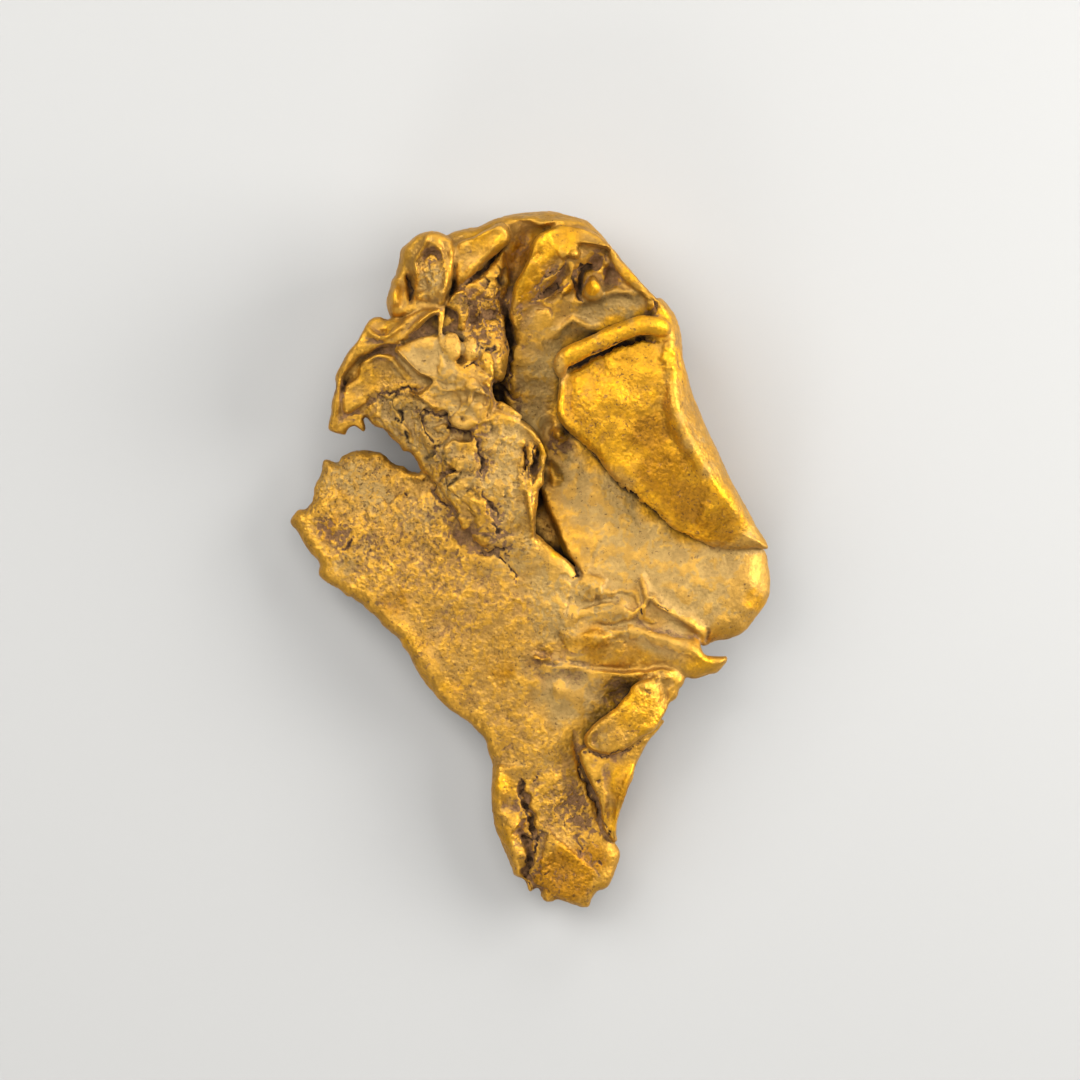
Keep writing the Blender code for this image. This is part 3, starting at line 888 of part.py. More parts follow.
def centre_footprint(obj):
    """Moves the body so that its footprint is centred on the origin and it rests on z = 0."""
    points = np.array([vert.co[:] for vert in obj.data.vertices])
    low, high = points.min(0), points.max(0)
    shift = Vector((-(low[0] + high[0]) / 2, -(low[1] + high[1]) / 2, -low[2]))
    for vert in obj.data.vertices:
        vert.co += shift


def gold_material():
    material = bpy.data.materials.new("native_gold")
    material.use_nodes = True
    shader = material.node_tree.nodes["Principled BSDF"]
    shader.inputs["Base Color"].default_value = (0.66, 0.38, 0.08, 1)
    shader.inputs["Metallic"].default_value = 1
    shader.inputs["Roughness"].default_value = 0.45
    return material


def clear_scene():
    for obj in list(bpy.data.objects):
        bpy.data.objects.remove(obj)


def nugget(name="gold_nugget"):
    """The whole nugget as one skinned body."""
    pieces = [sheet_mesh(sheet, 10.3 * i) for i, sheet in enumerate(SHEETS)]
    pieces += [roll_mesh(path) for path in ROLLS]
    pieces += [bead_mesh(*bead) for bead in BEADS]
    obj = joined(pieces, name)
    apply_modifier(obj, "REMESH", mode="VOXEL", voxel_size=SKIN_VOXEL * UNIT)
    keep_main_body(obj)
    roughen(obj, SWELL, 1.2)
    return obj


def main():
    clear_scene()
    obj = nugget()
    triangles = sum(len(face.vertices) - 2 for face in obj.data.polygons)
    apply_modifier(obj, "DECIMATE", ratio=TRIANGLES / triangles)
    lowest = min(vert.co.z for vert in obj.data.vertices)
    wear_flat(obj, lowest + REST_CUT * UNIT)
    centre_footprint(obj)
    obj.data.materials.append(gold_material())


if __name__ == "__main__":
    main()
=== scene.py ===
"""Gold nugget: folded, crumpled leaves of native gold, lying front up on a pale table.

The leaves, rolled edges and beads are modelled in form units, which are millimetres at the real length,
then skinned into one body, roughened, brought to size and finished as worn native gold.
"""

import math

import bmesh
import bpy
import numpy as np
from bpy.props import FloatProperty, FloatVectorProperty, IntProperty, PointerProperty
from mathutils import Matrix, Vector, noise


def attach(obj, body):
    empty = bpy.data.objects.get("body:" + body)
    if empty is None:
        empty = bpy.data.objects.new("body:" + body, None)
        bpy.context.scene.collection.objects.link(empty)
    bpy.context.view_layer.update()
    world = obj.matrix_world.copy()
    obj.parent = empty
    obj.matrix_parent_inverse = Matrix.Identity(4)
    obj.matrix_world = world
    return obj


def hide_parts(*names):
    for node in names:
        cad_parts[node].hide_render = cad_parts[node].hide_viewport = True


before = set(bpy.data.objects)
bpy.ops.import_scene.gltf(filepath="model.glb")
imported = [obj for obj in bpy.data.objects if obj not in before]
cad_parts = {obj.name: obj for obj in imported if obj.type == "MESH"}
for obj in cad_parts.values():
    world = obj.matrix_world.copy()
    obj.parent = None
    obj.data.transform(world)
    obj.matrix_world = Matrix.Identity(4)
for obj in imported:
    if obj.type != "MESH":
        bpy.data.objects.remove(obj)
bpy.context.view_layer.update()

bl_info = {
    "name": "Gold Nugget",
    "version": (1, 0, 0),
    "blender": (4, 5, 0),
    "location": "3D View > Sidebar > Nugget",
    "description": "A leaf-like gold nugget with its finish, light and camera",
    "category": "Object",
}

# Lengths of the form, in form units.
FORM_LENGTH = 28.0
EDGE_RADIUS = 0.1
RIM_STEP = 0.12
ROLL_STEP = 0.15
LEDGE_DROP = 0.07  # width of the drop on the low side of a ledge
SWELL_SIZE = 1.2
BROAD_CHIP, SMALL_CHIP, FLAT_CHIP, FINE_CHIP = 0.95, 0.42, 0.45, 0.19
CRACK_DEPTH = 0.2
STAIN_ONLY = 0.03  # a crack up to this half width stains the gold but doesn't cut it
SKY_CELL = 0.12  # cell of the height map that finds hollows and crevices
SKY_FLOOR = -50.0
HOLLOW_REACHES = (0.25, 0.45, 0.65, 0.9, 1.25, 1.7, 2.3)
CREVICE_REACHES = (0.13, 0.2, 0.3, 0.42)

# Counts, shares, seeds, and the camera's sensor in millimetres.
ROLL_SIDES = 14
SKY_DIRECTIONS = 16
SEAM_SHARE = 0.17  # width of the open seam round a chip, as a share of its size
SEED_STEP = 10.3
HASH_WEIGHTS = (12.9898, 78.233, 37.719)
HASH_GAIN = 43758.5453
SENSOR_WIDTH = 36

# Each leaf of gold has a rim of x, y and, where they aren't the middle height and the usual radius, z and
# edge radius; points x, y, z of its face, and of its back unless it has an even thickness; the height and
# size of its roughness; and marks on the face or back: kind, half width, height and path.
MAIN_LEAF = dict(
    rim=[
        (-4.44, 3.54, 2.75, .2), (-4.88, 3.62), (-5.08, 3.78), (-5.44, 3.86), (-5.68, 4.06), (-6, 4.34),
        (-6.32, 4.42), (-7.12, 4.42), (-7.4, 4.3), (-7.68, 4.14), (-7.72, 3.94), (-7.92, 3.98), (-8.28, 4.1),
        (-8.4, 3.98), (-8.4, 3.5), (-8.6, 3.14), (-8.72, 2.9), (-8.72, 2.66), (-8.8, 2.34), (-8.96, 2.1),
        (-9.12, 2.02), (-9.4, 2.02), (-9.6, 1.74), (-9.68, 1.54), (-9.52, 1.3), (-9.28, .94), (-9.04, .54),
        (-8.84, .3), (-8.6, .02), (-8.52, -.22), (-8.56, -.5), (-8.4, -.78), (-8.08, -.98), (-7.8, -1.1),
        (-7.48, -1.34), (-7.36, -1.42), (-7.16, -1.42), (-7.08, -1.54), (-6.8, -1.66), (-6.52, -1.98),
        (-6.2, -2.26), (-6, -2.58), (-5.76, -2.82), (-5.28, -3.14), (-5.12, -3.46), (-4.96, -3.66),
        (-4.72, -4.18), (-3.96, -5.26), (-3.36, -5.94), (-2.44, -6.54), (-1.88, -7.1), (-1.68, -7.82),
        (-1.52, -8.14), (-1.56, -8.78), (-1.56, -9.86), (-1.48, -10.58), (-1.28, -11.18), (-.92, -11.98),
        (-.8, -12.46), (-.72, -12.7), (-.32, -12.86), (-.08, -13.38), (.04, -13.38), (.12, -13.22),
        (.36, -13.22), (.4, -13.46), (.64, -13.74), (1.08, -13.66), (1.76, -13.9), (2.12, -13.98),
        (2.36, -13.94), (2.48, -13.62), (2.68, -13.34), (3.08, -13.18), (3.4, -12.42), (3.6, -11.86),
        (3.56, -11.62), (3.4, -11.42), (3.3, -10.82), (3.4, -10.06), (3.6, -9.18), (3.8, -8.66), (4, -8.1),
        (4.4, -7.42), (4.8, -6.94), (5.1, -6.3), (5.4, -5.6), (5.7, -5.1), (6.2, -4.7), (6.56, -4.74),
        (7.16, -4.58), (7.52, -4.5), (7.92, -3.86), (7.44, -3.82), (7.04, -3.78), (6.84, -3.58), (6.7, -3.1),
        (5.8, -2.8), (5, -2.4), (4.28, -2), (3.4, -1.5), (2.6, -.9), (1.95, -.5), (1.7, -.2), (1.4, .1),
        (.9, .45), (.3, 1), (-.4, 1.4), (-1.4, 1.6), (-2.2, 2), (-2.9, 2.3), (-3.3, 2.7), (-3.6, 3.05),
        (-4, 3.35)],
    radius=.4,
    face=[
        (-9.3, 1.7, 2.1), (-8.5, .6, 2.35), (-8.2, 3.6, 2.2), (-7, 4, 2.45), (-7, 1.5, 2.75),
        (-5.5, -1.5, 2.95), (-5.4, 3.4, 2.7), (-4.6, 1, 3.1), (-4.4, 3.2, 3.1), (-3, 1.5, 3.45),
        (-3.6, 2.5, 3.45), (-2, .6, 3.55), (-3, -1, 3.3), (-3.6, -4.5, 2.8), (-1, -.5, 3.5), (.3, .5, 3.75),
        (1.6, -.4, 3.6), (-1, -3, 3.15), (-.5, .6, 3.8), (1, -2.5, 3.4), (3, -2, 3.35), (4.3, -2.7, 3.2),
        (2.5, -3.6, 3.35), (5.5, -3.5, 3.4), (6.8, -3.9, 3.3), (7.8, -3.9, 3.1), (0, -5, 2.95),
        (1.5, -5, 2.85), (3.6, -5.3, 2.7), (2.5, -6, 2.8), (0, -7, 2.75), (1.7, -7, 2.7), (3.5, -7.5, 2.0),
        (-1.2, -8, 2.45), (.5, -9, 2.6), (1.8, -9.5, 2.1), (3, -9.5, 2.0), (-1.3, -10.5, 2.3),
        (0, -11.5, 2.2), (2.2, -11.5, 2.2), (1.5, -13.3, 2.1), (3.2, -12, 2.1), (-.3, -12.9, 1.9)],
    thickness=.95,
    rough=(.1, 1.6),
    back_marks=[
        ("groove", .7, .3, [(-8.6, 2.6), (-7.2, 1.2), (-6.4, -.8), (-4.6, -2.6), (-3.4, -4.6)]),
        ("ledge", .8, .3, [(2.6, -6), (.8, -6.8), (-.6, -6.2), (-2.2, -6.6)]),
        ("ridge", .6, .3, [(.6, -7.4), (.2, -9.2), (.9, -10.8), (1.2, -12.8)]),
        ("groove", .4, .25, [(-.6, -9), (-.2, -10.6), (-.6, -11.6)]),
    ],
    marks=[
        ("ridge", .5, .32, [(1.6, -3.3), (2.8, -3.05), (3.6, -2.85), (4.5, -2.85), (5.6, -3.3),
            (6.8, -3.75), (7.9, -3.95)]),
        ("ledge", 1.1, .45, [(5.9, -4.5), (5.2, -4.3), (4.6, -4.45), (3.6, -4.5), (2.6, -4.4)]),
        ("ledge", .5, .22, [(2.2, -4.2), (1.2, -4.25), (.2, -4.25)]),
        ("ridge", .35, .2, [(.1, -3.85), (.6, -4), (1.2, -4.05), (1.9, -4.1)]),
        ("lump", .22, .2, [(.2, -3.85)]),
        ("ridge", .9, .25, [(.8, -5.1), (1.6, -5.35), (2.3, -5.5)]),
        ("groove", .6, .3, [(3, -4.8), (3.8, -5.1), (3.2, -5.6)]),
        ("groove", .2, .15, [(1.75, -6.8), (1.85, -7.5), (2, -8.2), (2.4, -9.1), (2.7, -9.9),
            (2.85, -10.6)]),
        ("groove", .17, .42, [(-.4, -8.8), (-.45, -9.2), (-.15, -9.5), (-.2, -9.85), (.1, -10.2),
            (.02, -10.6), (.2, -11.1)]),
        ("groove", .17, .42, [(-.4, -10.9), (-.15, -11.3), (-.02, -11.8), (.02, -12.2), (-.3, -12.5),
            (-.05, -12.8), (.1, -13.15)]),
        ("groove", .12, .25, [(.05, -10.3), (-.35, -10.5), (-.4, -10.8), (-.7, -11)]),
        ("groove", .1, .15, [(0, -9.2), (.2, -8.95), (.45, -8.9)]),
        ("ledge", .7, .25, [(2.3, -12.3), (1.6, -11.7), (1, -11.2), (.75, -10.9), (.6, -11.4),
            (.45, -12.1), (.5, -12.9)]),
        ("ledge", .5, .2, [(-.3, -8.2), (-.9, -8.3), (-1.6, -8.2)]),
        ("ridge", .4, .22, [(-1.25, -8.5), (-1.25, -9.6)]),
        ("ridge", .5, .25, [(-.8, -10.2), (-.8, -11.4), (-.5, -12.3)]),
        ("groove", .4, .15, [(-1.2, -9.9), (-.5, -9.9)]),
        ("ridge", .6, .18, [(-5.4, -2.3), (-4.4, -3.9), (-3.2, -5.4)]),
        ("ridge", .3, .18, [(-4.2, 3.2), (-4.6, 3.35), (-5.1, 3.6)]),
        ("groove", .45, .18, [(-3.2, 1.6), (-2.8, 1), (-2.2, .5)]),
        ("groove", .12, .2, [(-2.1, .35), (-1.7, .25), (-1.45, .4), (-1.2, .3), (-.9, .45)]),
        ("ridge", .2, .2, [(.35, .9), (.9, .5), (1.4, .05), (1.75, -.3)]),
        ("groove", .14, .16, [(4.25, -2.45), (5.3, -2.85), (6.1, -3), (6.9, -3.2)]),
        ("groove", .12, .16, [(.1, -3.62), (1.1, -3.92), (2.4, -4.22), (4, -4.35)]),
        ("groove", .1, .05, [(.9, -.8), (1.3, -1.6), (1.5, -2.5)]),
        ("groove", .1, .04, [(.5, -1), (1, -2), (1.4, -2.9)]),
        ("groove", .1, .04, [(.1, -1.3), (.7, -2.4), (1.2, -3.2)]),
        ("groove", .11, .07, [(-.1, -1.5), (-.2, -2.3)]),
        ("groove", .11, .07, [(.3, -2.6), (.1, -3.2)]),
        ("groove", .11, .07, [(.6, -2.6), (.5, -3)]),
        ("groove", .11, .07, [(.85, -2.65), (.8, -3.1)]),
        ("groove", .11, .07, [(1.1, -2.8), (1, -3.2)]),
        ("groove", .11, .07, [(1.3, -3), (1.1, -3.4)]),
        ("groove", .1, .12, [(1.65, -1.1), (1.52, -1.7), (1.35, -2.3)]),
    ],
)
RIGHT_PLATE = dict(
    rim=[
        (-.9, 8.6, 2.6, .4), (.5, 9.4, 2.6, .4), (2, 9.6, 2.6, .4), (4, 9.3, 2.6, .4), (5.2, 8.5, 2.4, .5),
        (5.8, 7.5, 2.2, .7), (6.1, 6.5, 2, .8), (6.6, 5.5, 2, .9), (7.2, 4.3, 2, .9), (8, 2.7, 2, .9),
        (8.7, 1.6, 2, .9), (9.25, .7, 2, .9), (9.48, .3, 2, .9), (9.56, -.1, 1.95, 1), (9.64, -.94, 1.9, 1),
        (9.56, -1.46, 1.9, 1), (9.08, -2.3, 1.95, 1), (8.52, -2.9, 2, .9), (7.32, -3.22, 2.3, .6),
        (6.92, -3.42, 2.5, .4), (6.7, -3.3, 2.6, .35), (5.8, -3.06, 2.7, .3), (5, -2.78, 2.8, .3),
        (4.28, -2.5, 2.8, .3), (3.6, -2.3, 2.8, .3), (2.9, -1.9, 2.7, .3), (2.2, -1, 2.6, .2),
        (1.75, -.2, 2.4, .2), (1.4, .2, 2.3, .2), (1.2, .7, 2.3, .2), (.95, 1.3, 2.3, .2), (.6, 2.1, 2.3, .2),
        (.4, 2.7, 2.3, .2), (.1, 3.2, 2.3, .2), (-.3, 4.4, 2.3, .2), (-.9, 5.6, 2.3, .3), (-1.2, 7, 2.4, .3)],
    face=[
        (.3, 8.5, 3.5), (-.5, 7.6, 3.35), (1, 7.3, 3.2), (2.2, 8.2, 3.4), (-.3, 6.5, 3), (.2, 5, 2.8),
        (1, 4, 2.85), (2, 5, 2.8), (2, 2.5, 3), (1.2, 1.5, 3.1), (4, 1.5, 3.15), (2.6, -.5, 3.4),
        (4.5, -1.6, 3.35), (3.6, -2, 3.4), (6, 0, 3.15), (7, -2, 3.1), (8.3, -.5, 3.1), (9, -1.2, 2.9),
        (8.2, -2.2, 2.85), (6, -2.8, 3.15), (6, 3, 3), (8, 1.5, 3), (4, 6, 3), (3.5, 8.8, 3.4),
        (5.5, 7.5, 3.2)],
    thickness=1.0,
    rough=(.07, 1.3),
    marks=[
        ("lump", .35, .3, [(2.35, -1.2), (2.1, -1.0)]),
        ("ledge", .2, .22, [(1.9, -.8), (2.35, -.65), (2.85, -.8), (2.92, -1.2), (2.7, -1.6), (2.2, -1.75)]),
        ("ledge", .2, .16, [(3.05, -1.35), (3.6, -1.2), (4.2, -1.3), (4.35, -1.9), (3.9, -2.2), (3.3, -2.1)]),
        ("ridge", .12, .12, [(1.78, -.9), (1.62, -1.8), (1.5, -2.4)]),
        ("ridge", .1, .09, [(3.2, -.8), (3, -1.6), (3.1, -2.1)]),
        ("groove", .08, .1, [(2.9, .9), (2.5, .1), (2.4, -.5)]),
        ("ridge", .2, .28, [(4.4, -.6), (4.55, -1.1), (4.6, -1.55), (4.4, -2.3)]),
        ("ridge", .2, .2, [(4.6, -1.5), (4.9, -1.45), (5.3, -2)]),
        ("ledge", .45, .2, [(4.5, -1.3), (5.1, -1.85), (5.6, -2.15), (6.4, -2.6), (6.8, -3)]),
        ("lump", .4, .18, [(2.1, -.5), (3.2, -1.3), (3.6, -1.7)]),
        ("groove", .5, .2, [(1.7, 4.3), (.9, 4.9), (.6, 5.8)]),
        ("lump", .4, .3, [(1, 5.1), (1.2, 4.95), (.8, 3.7), (1.0, 3.3)]),
        ("groove", .12, .3, [(7.12, -2.75), (7.0, -3.35)]),
        ("ridge", 1.2, .12, [(8.9, -.2), (8.5, -1.9), (7.2, -2.7)]),
    ],
)
BACK_FOLD = dict(
    rim=[
        (-4.6, 10.5), (-3.7, 12), (-1.8, 12.8), (-.4, 12.7), (.8, 13.4), (2, 12.9), (2.8, 12.1), (3.8, 11),
        (4.9, 10.1), (5.5, 9), (5.7, 7.8), (6.2, 6.3), (7, 4.6), (7.9, 2.8), (8.7, 1.2), (9, .2), (8.9, -1.4),
        (8, -2.5), (6.9, -2.7), (5.9, -3.7), (4.6, -3.9), (3.4, -4.9), (1.9, -4.7), (.5, -5.6), (-.9, -4.7),
        (-2.4, -4.6), (-3.2, -3.2), (-4.6, -2.4), (-4.8, -.9), (-5.7, .3), (-5.3, 1.9), (-4.7, 3),
        (-3.9, 3.8), (-4.3, 5), (-4.9, 6.3), (-4.6, 7.2), (-5.2, 8.7)],
    radius=1.1,
    face=[(0, 0, 2.2), (5, 0, 2), (0, 10, 3), (5, 8, 2.6), (-4, 0, 2.1), (-3, 8, 2.8), (1, -5, 2)],
    back=[
        (-2.4, 9.3, -.12), (3.9, 8.8, .1), (6.1, .9, .12), (1, -3.4, .03), (-3.4, .5, .1), (.8, 9.6, .6),
        (1, 5.5, .5), (-3.2, 5, .8), (5.2, 4.8, .5), (1.4, .4, .5), (4.2, -2, .6), (-1.6, -2, .6),
        (7.8, -1.8, .9), (-2.6, 11.4, .7), (1.4, 12.2, .6), (-4.6, 8, .7), (-5, 1.5, .6), (1, -5, .6),
        (8, 1.5, .6), (5, 9.6, .6)],
    rough=(.06, 1.3),
    back_marks=[
        ("ledge", 1.6, .4, [(6.9, 3.4), (4.6, 2.8), (2.6, 3.2), (.6, 2.4), (-1.6, 3), (-3.2, 2.6),
            (-5.2, 3.2)]),
        ("groove", .7, .4, [(-.6, 12.5), (-.2, 10.6), (.9, 8.9), (.6, 7), (1.5, 5.2), (1.2, 3.9)]),
        ("ledge", 1, .3, [(1.4, 5.6), (-.4, 6.4), (-2, 6.1), (-3.4, 7)]),
        ("groove", .5, .3, [(3, -.8), (2.6, .8), (3.4, 2.2)]),
        ("ridge", .5, .2, [(-2.6, -2.6), (-.6, -1), (.4, 1)]),
        ("ridge", .4, .2, [(2.6, 11.4), (2.2, 9.8), (3, 7.6), (4.4, 6.4)]),
        ("groove", .35, .35, [(6.9, -2.2), (6.2, -1), (4.9, -.6)]),
        ("lump", .6, -.35, [(-1.5, 8.2), (5.2, 7.2), (-2.7, -1.2), (4.6, -3.1), (7.4, .2)]),
    ],
)
CROWN = dict(
    rim=[
        (-3.48, 12.98, 3.4, .5), (-2.92, 13.18, 3.4, .5), (-2.12, 13.34, 3.4, .5), (-1.4, 13.62, 3.4, .5),
        (-.4, 13.86, 3.4, .5), (.8, 13.98, 3.2, .7), (1.8, 13.78, 3.2, .8), (2.24, 13.62, 3.2, .8),
        (2.8, 13.06, 3.2, .8), (3.28, 12.42, 3.3, .6), (4, 11.54, 3.3, .6), (4.8, 10.66, 3.3, .5),
        (5.2, 10.3, 3.3, .5), (5.5, 9.9, 3.3, .5), (5.6, 9.2, 3.3, .5), (5.5, 8.5, 3, .5), (4, 8, 2.6, .4),
        (2, 7.5, 2.3, .4), (.5, 7, 2.3, .4), (-1, 6.8, 2.5, .4), (-3, 7, 2.8, .4), (-4.6, 7.6, 2.8, .4),
        (-5, 9, 3, .4), (-4.9, 10.2, 3, .4), (-5, 11.5, 3.2, .4), (-4.9, 12.3, 3.3, .4),
        (-4.4, 12.8, 3.3, .4)],
    face=[
        (-3, 12.9, 4.4), (-2, 13.2, 4.6), (-.8, 13.6, 4.7), (.8, 13.7, 4.9), (2, 13.3, 4.9), (-.3, 12.9, 4.3),
        (-.9, 11.5, 4), (-1.8, 10.5, 3.9), (-2.5, 11, 3.9), (-.9, 8.8, 3.6), (-3.1, 9.6, 4.4),
        (.2, 9.3, 3.95), (1.5, 9.9, 4.1), (3, 9.9, 4.35), (4.4, 10.2, 4.8), (2.5, 11.2, 4.4), (.3, 8.6, 3.65),
        (2, 8.7, 3.75), (.5, 7.6, 3.0), (-.6, 7.4, 3.1), (2, 8, 3.1), (.8, 11, 4.5), (1.2, 12.4, 4.9),
        (3, 12.2, 4.7), (-4, 11, 4.2), (-3, 8, 3.8)],
    back=[(0, 10, .8), (4, 10, 1), (-4, 10, 1.4), (0, 7, 1)],
    rough=(.13, .9),
    marks=[
        ("ledge", .5, .35, [(-.6, 13.55), (0, 13.5), (.35, 13.3), (.7, 13.38), (1.2, 13.42), (1.9, 13.4)]),
        ("groove", .5, .3, [(.4, 13.1), (0, 12.9), (-.3, 12.5), (-.45, 12), (-.6, 11.4), (-.8, 10.8)]),
        ("groove", .3, .5, [(-.95, 10), (-.9, 9.4), (-.8, 8.7), (-.8, 8), (-.9, 7.4)]),
        ("groove", .18, .6, [(2.55, 11.62), (2.3, 11.68), (2.08, 11.55), (1.97, 11.25), (1.97, 10.9),
            (2.05, 10.45)]),
        ("lump", .4, -.35, [(2.6, 11.85), (3.2, 11.5), (3.15, 11.05)]),
        ("groove", .17, .3, [(.35, 10.55), (.7, 10.72), (1.05, 11.05), (1.3, 11.4), (1.5, 11.9)]),
        ("groove", .13, .22, [(-.1, 10.15), (.4, 10.08), (.75, 10.05), (.85, 9.75)]),
        ("ridge", .17, .25, [(0, 10.28), (.5, 10.4), (1.05, 10.62), (1.55, 10.82)]),
        ("ridge", .15, .2, [(.3, 10.95), (.75, 11.2), (1.1, 11.55), (1.3, 11.95)]),
        ("ridge", .15, .2, [(1.5, 11.9), (1.62, 11.5), (1.62, 11.1)]),
        ("ridge", .22, .2, [(3, 9.25), (2.4, 9.3), (1.95, 9.5), (1.65, 9.65), (1.3, 9.35), (.9, 9)]),
        ("groove", .5, .18, [(2.9, 9.05), (2, 8.95), (1.2, 8.6)]),
        ("ridge", .25, .2, [(1.55, 10.3), (2.4, 10.35), (3.3, 10.75), (4.3, 10.6)]),
    ],
)
ROUGH_MASS = dict(
    rim=[
        (-3, 11.2), (-2.4, 11.4), (-2, 11.7), (-1.6, 12.1), (-1.2, 12.45), (-.95, 12.4), (-.85, 11.8),
        (-.85, 11), (-1, 10.2), (-1.02, 9.6), (-.98, 9), (-.88, 8.4), (-.95, 7.8), (-1.05, 7.3), (-1.4, 7.1),
        (-1.9, 7.4), (-2.2, 8), (-2.6, 8.3), (-3, 8.6), (-3.4, 9.2), (-3.4, 9.8), (-3.3, 10.5)],
    radius=.5,
    face=[
        (-1.2, 11.8, 4.5), (-2.4, 11, 4.75), (-1.5, 10.9, 4.6), (-1.3, 10, 4.35), (-2, 10.2, 4.6),
        (-2, 9.5, 4.55), (-1.5, 9, 4.65), (-1.6, 8.2, 4.75), (-1.3, 7.6, 4.75), (-2.9, 10, 4.45),
        (-3.1, 9.4, 4.2), (-2.4, 8.8, 4.5)],
    thickness=1.8,
    rough=(.1, .7),
    marks=[
        ("lump", .35, .14, [(-1.9, 10.7), (-1.6, 11.4), (-2.1, 9.9), (-1.7, 9.2), (-1.4, 8.6)]),
        ("groove", .3, .2, [(-1.8, 9.7), (-1.4, 9.85), (-1.1, 9.75)]),
        ("groove", .16, .15, [(-2.4, 11.1), (-1.9, 11.5), (-1.5, 12)]),
        ("lump", .35, -.3, [(-3.15, 9.6), (-3.05, 9.25)]),
        ("ridge", .14, .12, [(-1.85, 8.5), (-1.55, 8.35), (-1.2, 8.4)]),
    ],
)
FLAP = dict(
    rim=[
        (1.2, 7.75, 4.3, .2), (1.1, 7.3, 4.3, .2), (1.05, 6.8, 4.3, .2), (1, 6.3, 4.3, .2), (1, 5.8, 4.2, .2),
        (1.3, 5.3, 4.1, .3), (1.65, 4.95, 4, .4), (1.9, 4.75, 4, .5), (2.4, 4.3, 4, .5), (3, 3.55, 3.9, .6),
        (3.6, 2.9, 3.8, .6), (4.2, 2.4, 3.7, .6), (4.7, 1.9, 3.6, .6), (5.2, 1.5, 3.5, .6),
        (5.7, 1.2, 3.45, .6), (6.2, 1, 3.4, .6), (6.8, .75, 3.3, .5), (7.3, .5, 3.2, .5), (7.8, .42, 3.1, .5),
        (8.5, .43, 3.1, .4), (9.1, .5, 3, .3), (9.5, .46, 2.9, .3), (9.44, .7, 2.8, .5), (9.2, 1.14, 2.7, .9),
        (8.92, 1.62, 2.6, 1.1), (8.6, 2.22, 2.6, 1.2), (8.24, 2.9, 2.6, 1.2), (7.88, 3.62, 2.6, 1.2),
        (7.52, 4.34, 2.6, 1.2), (7.2, 5.02, 2.6, 1.2), (6.92, 5.7, 2.6, 1.2), (6.68, 6.22, 2.6, 1.1),
        (6.44, 6.82, 2.7, .9), (6.28, 7.42, 2.8, .7), (6.12, 8.02, 2.9, .6), (6.04, 8.62, 3.1, .5),
        (5.96, 9.22, 3.3, .5), (5.76, 9.82, 3.5, .5), (5.52, 10.14, 3.7, .4), (5.2, 10.46, 4.1, .3),
        (5, 10.45, 4.5, .2), (4.88, 10, 4.7, .2), (4.6, 9.4, 4.5, .2), (3.6, 8.9, 4.2, .2),
        (2.6, 8.3, 4.2, .2), (1.9, 7.9, 4.2, .2), (1.4, 7.7, 4.2, .2)],
    face=[
        (1.3, 6.5, 4.75), (1.6, 5.2, 4.6), (2.3, 7.7, 4.8), (3, 6, 5.1), (3.5, 7.8, 5.05), (4.6, 8.6, 5.1),
        (5.6, 8.5, 5.2), (5.6, 7, 5.35), (5.9, 5.5, 5.4), (6.6, 4.3, 5.25), (7.4, 3, 4.95), (8.3, 1.6, 4.4),
        (9.1, .7, 3.6), (4.6, 6.5, 4.95), (4.9, 5, 4.8), (3.3, 4.4, 4.8), (5, 2.8, 4.4), (6.4, 2.2, 4.35),
        (7.4, 1.2, 3.95), (6.2, 1.4, 4)],
    rough=(.06, .8),
    back=[
        (1.3, 6.5, 4.2), (3, 6, 4), (4.6, 8, 3), (5.6, 8.5, 1.2), (5.6, 7, 1.3), (6, 5.5, 1.3), (6.8, 4, 1.4),
        (7.8, 2.6, 1.5), (8.8, 1.2, 1.8), (4.8, 5.5, 3.2), (5.2, 3.2, 3.4), (6.6, 1.8, 3), (3.2, 4.4, 4),
        (7.6, .8, 2.8)],
    marks=[
        ("ridge", .3, .2, [(1.2, 7.5), (1.15, 7), (1.12, 6.4), (1.15, 5.9), (1.4, 5.4), (1.75, 5.05)]),
        ("groove", .25, .1, [(1.55, 7.4), (1.55, 6.8), (1.5, 6.2), (1.6, 5.7)]),
        ("ridge", 1.5, .22, [(4.2, 8), (3.8, 6.9), (3.3, 5.8)]),
        ("ridge", .5, .22, [(5.5, 7.3), (5.6, 6.5), (5.75, 5.7), (6.1, 5), (6.7, 4), (7.4, 3),
            (8.2, 1.9), (8.9, 1.1)]),
        ("groove", .4, .12, [(5.2, 7), (5.2, 6), (5.4, 5.2), (5.9, 4.3), (6.5, 3.4)]),
        ("ridge", .35, .15, [(7.1, 2.4), (6.9, 1.8), (6.7, 1.4)]),
        ("groove", .6, .15, [(7.6, 2.2), (8, 1.3)]),
        ("groove", .14, .45, [(1.5, 7.5), (1.95, 7.75), (2.45, 8.08), (3.05, 8.38), (3.7, 8.66),
            (4.4, 8.86), (5, 8.8)]),
        ("ridge", .25, .15, [(5.45, 8.6), (5.35, 8), (5.5, 7.5)]),
        ("lump", .3, .15, [(5.5, 8.6), (5.7, 8.2), (5.65, 7.7)]),
        ("groove", .14, .3, [(5.85, 9.2), (5.9, 8.8), (5.75, 8.5)]),
    ],
)
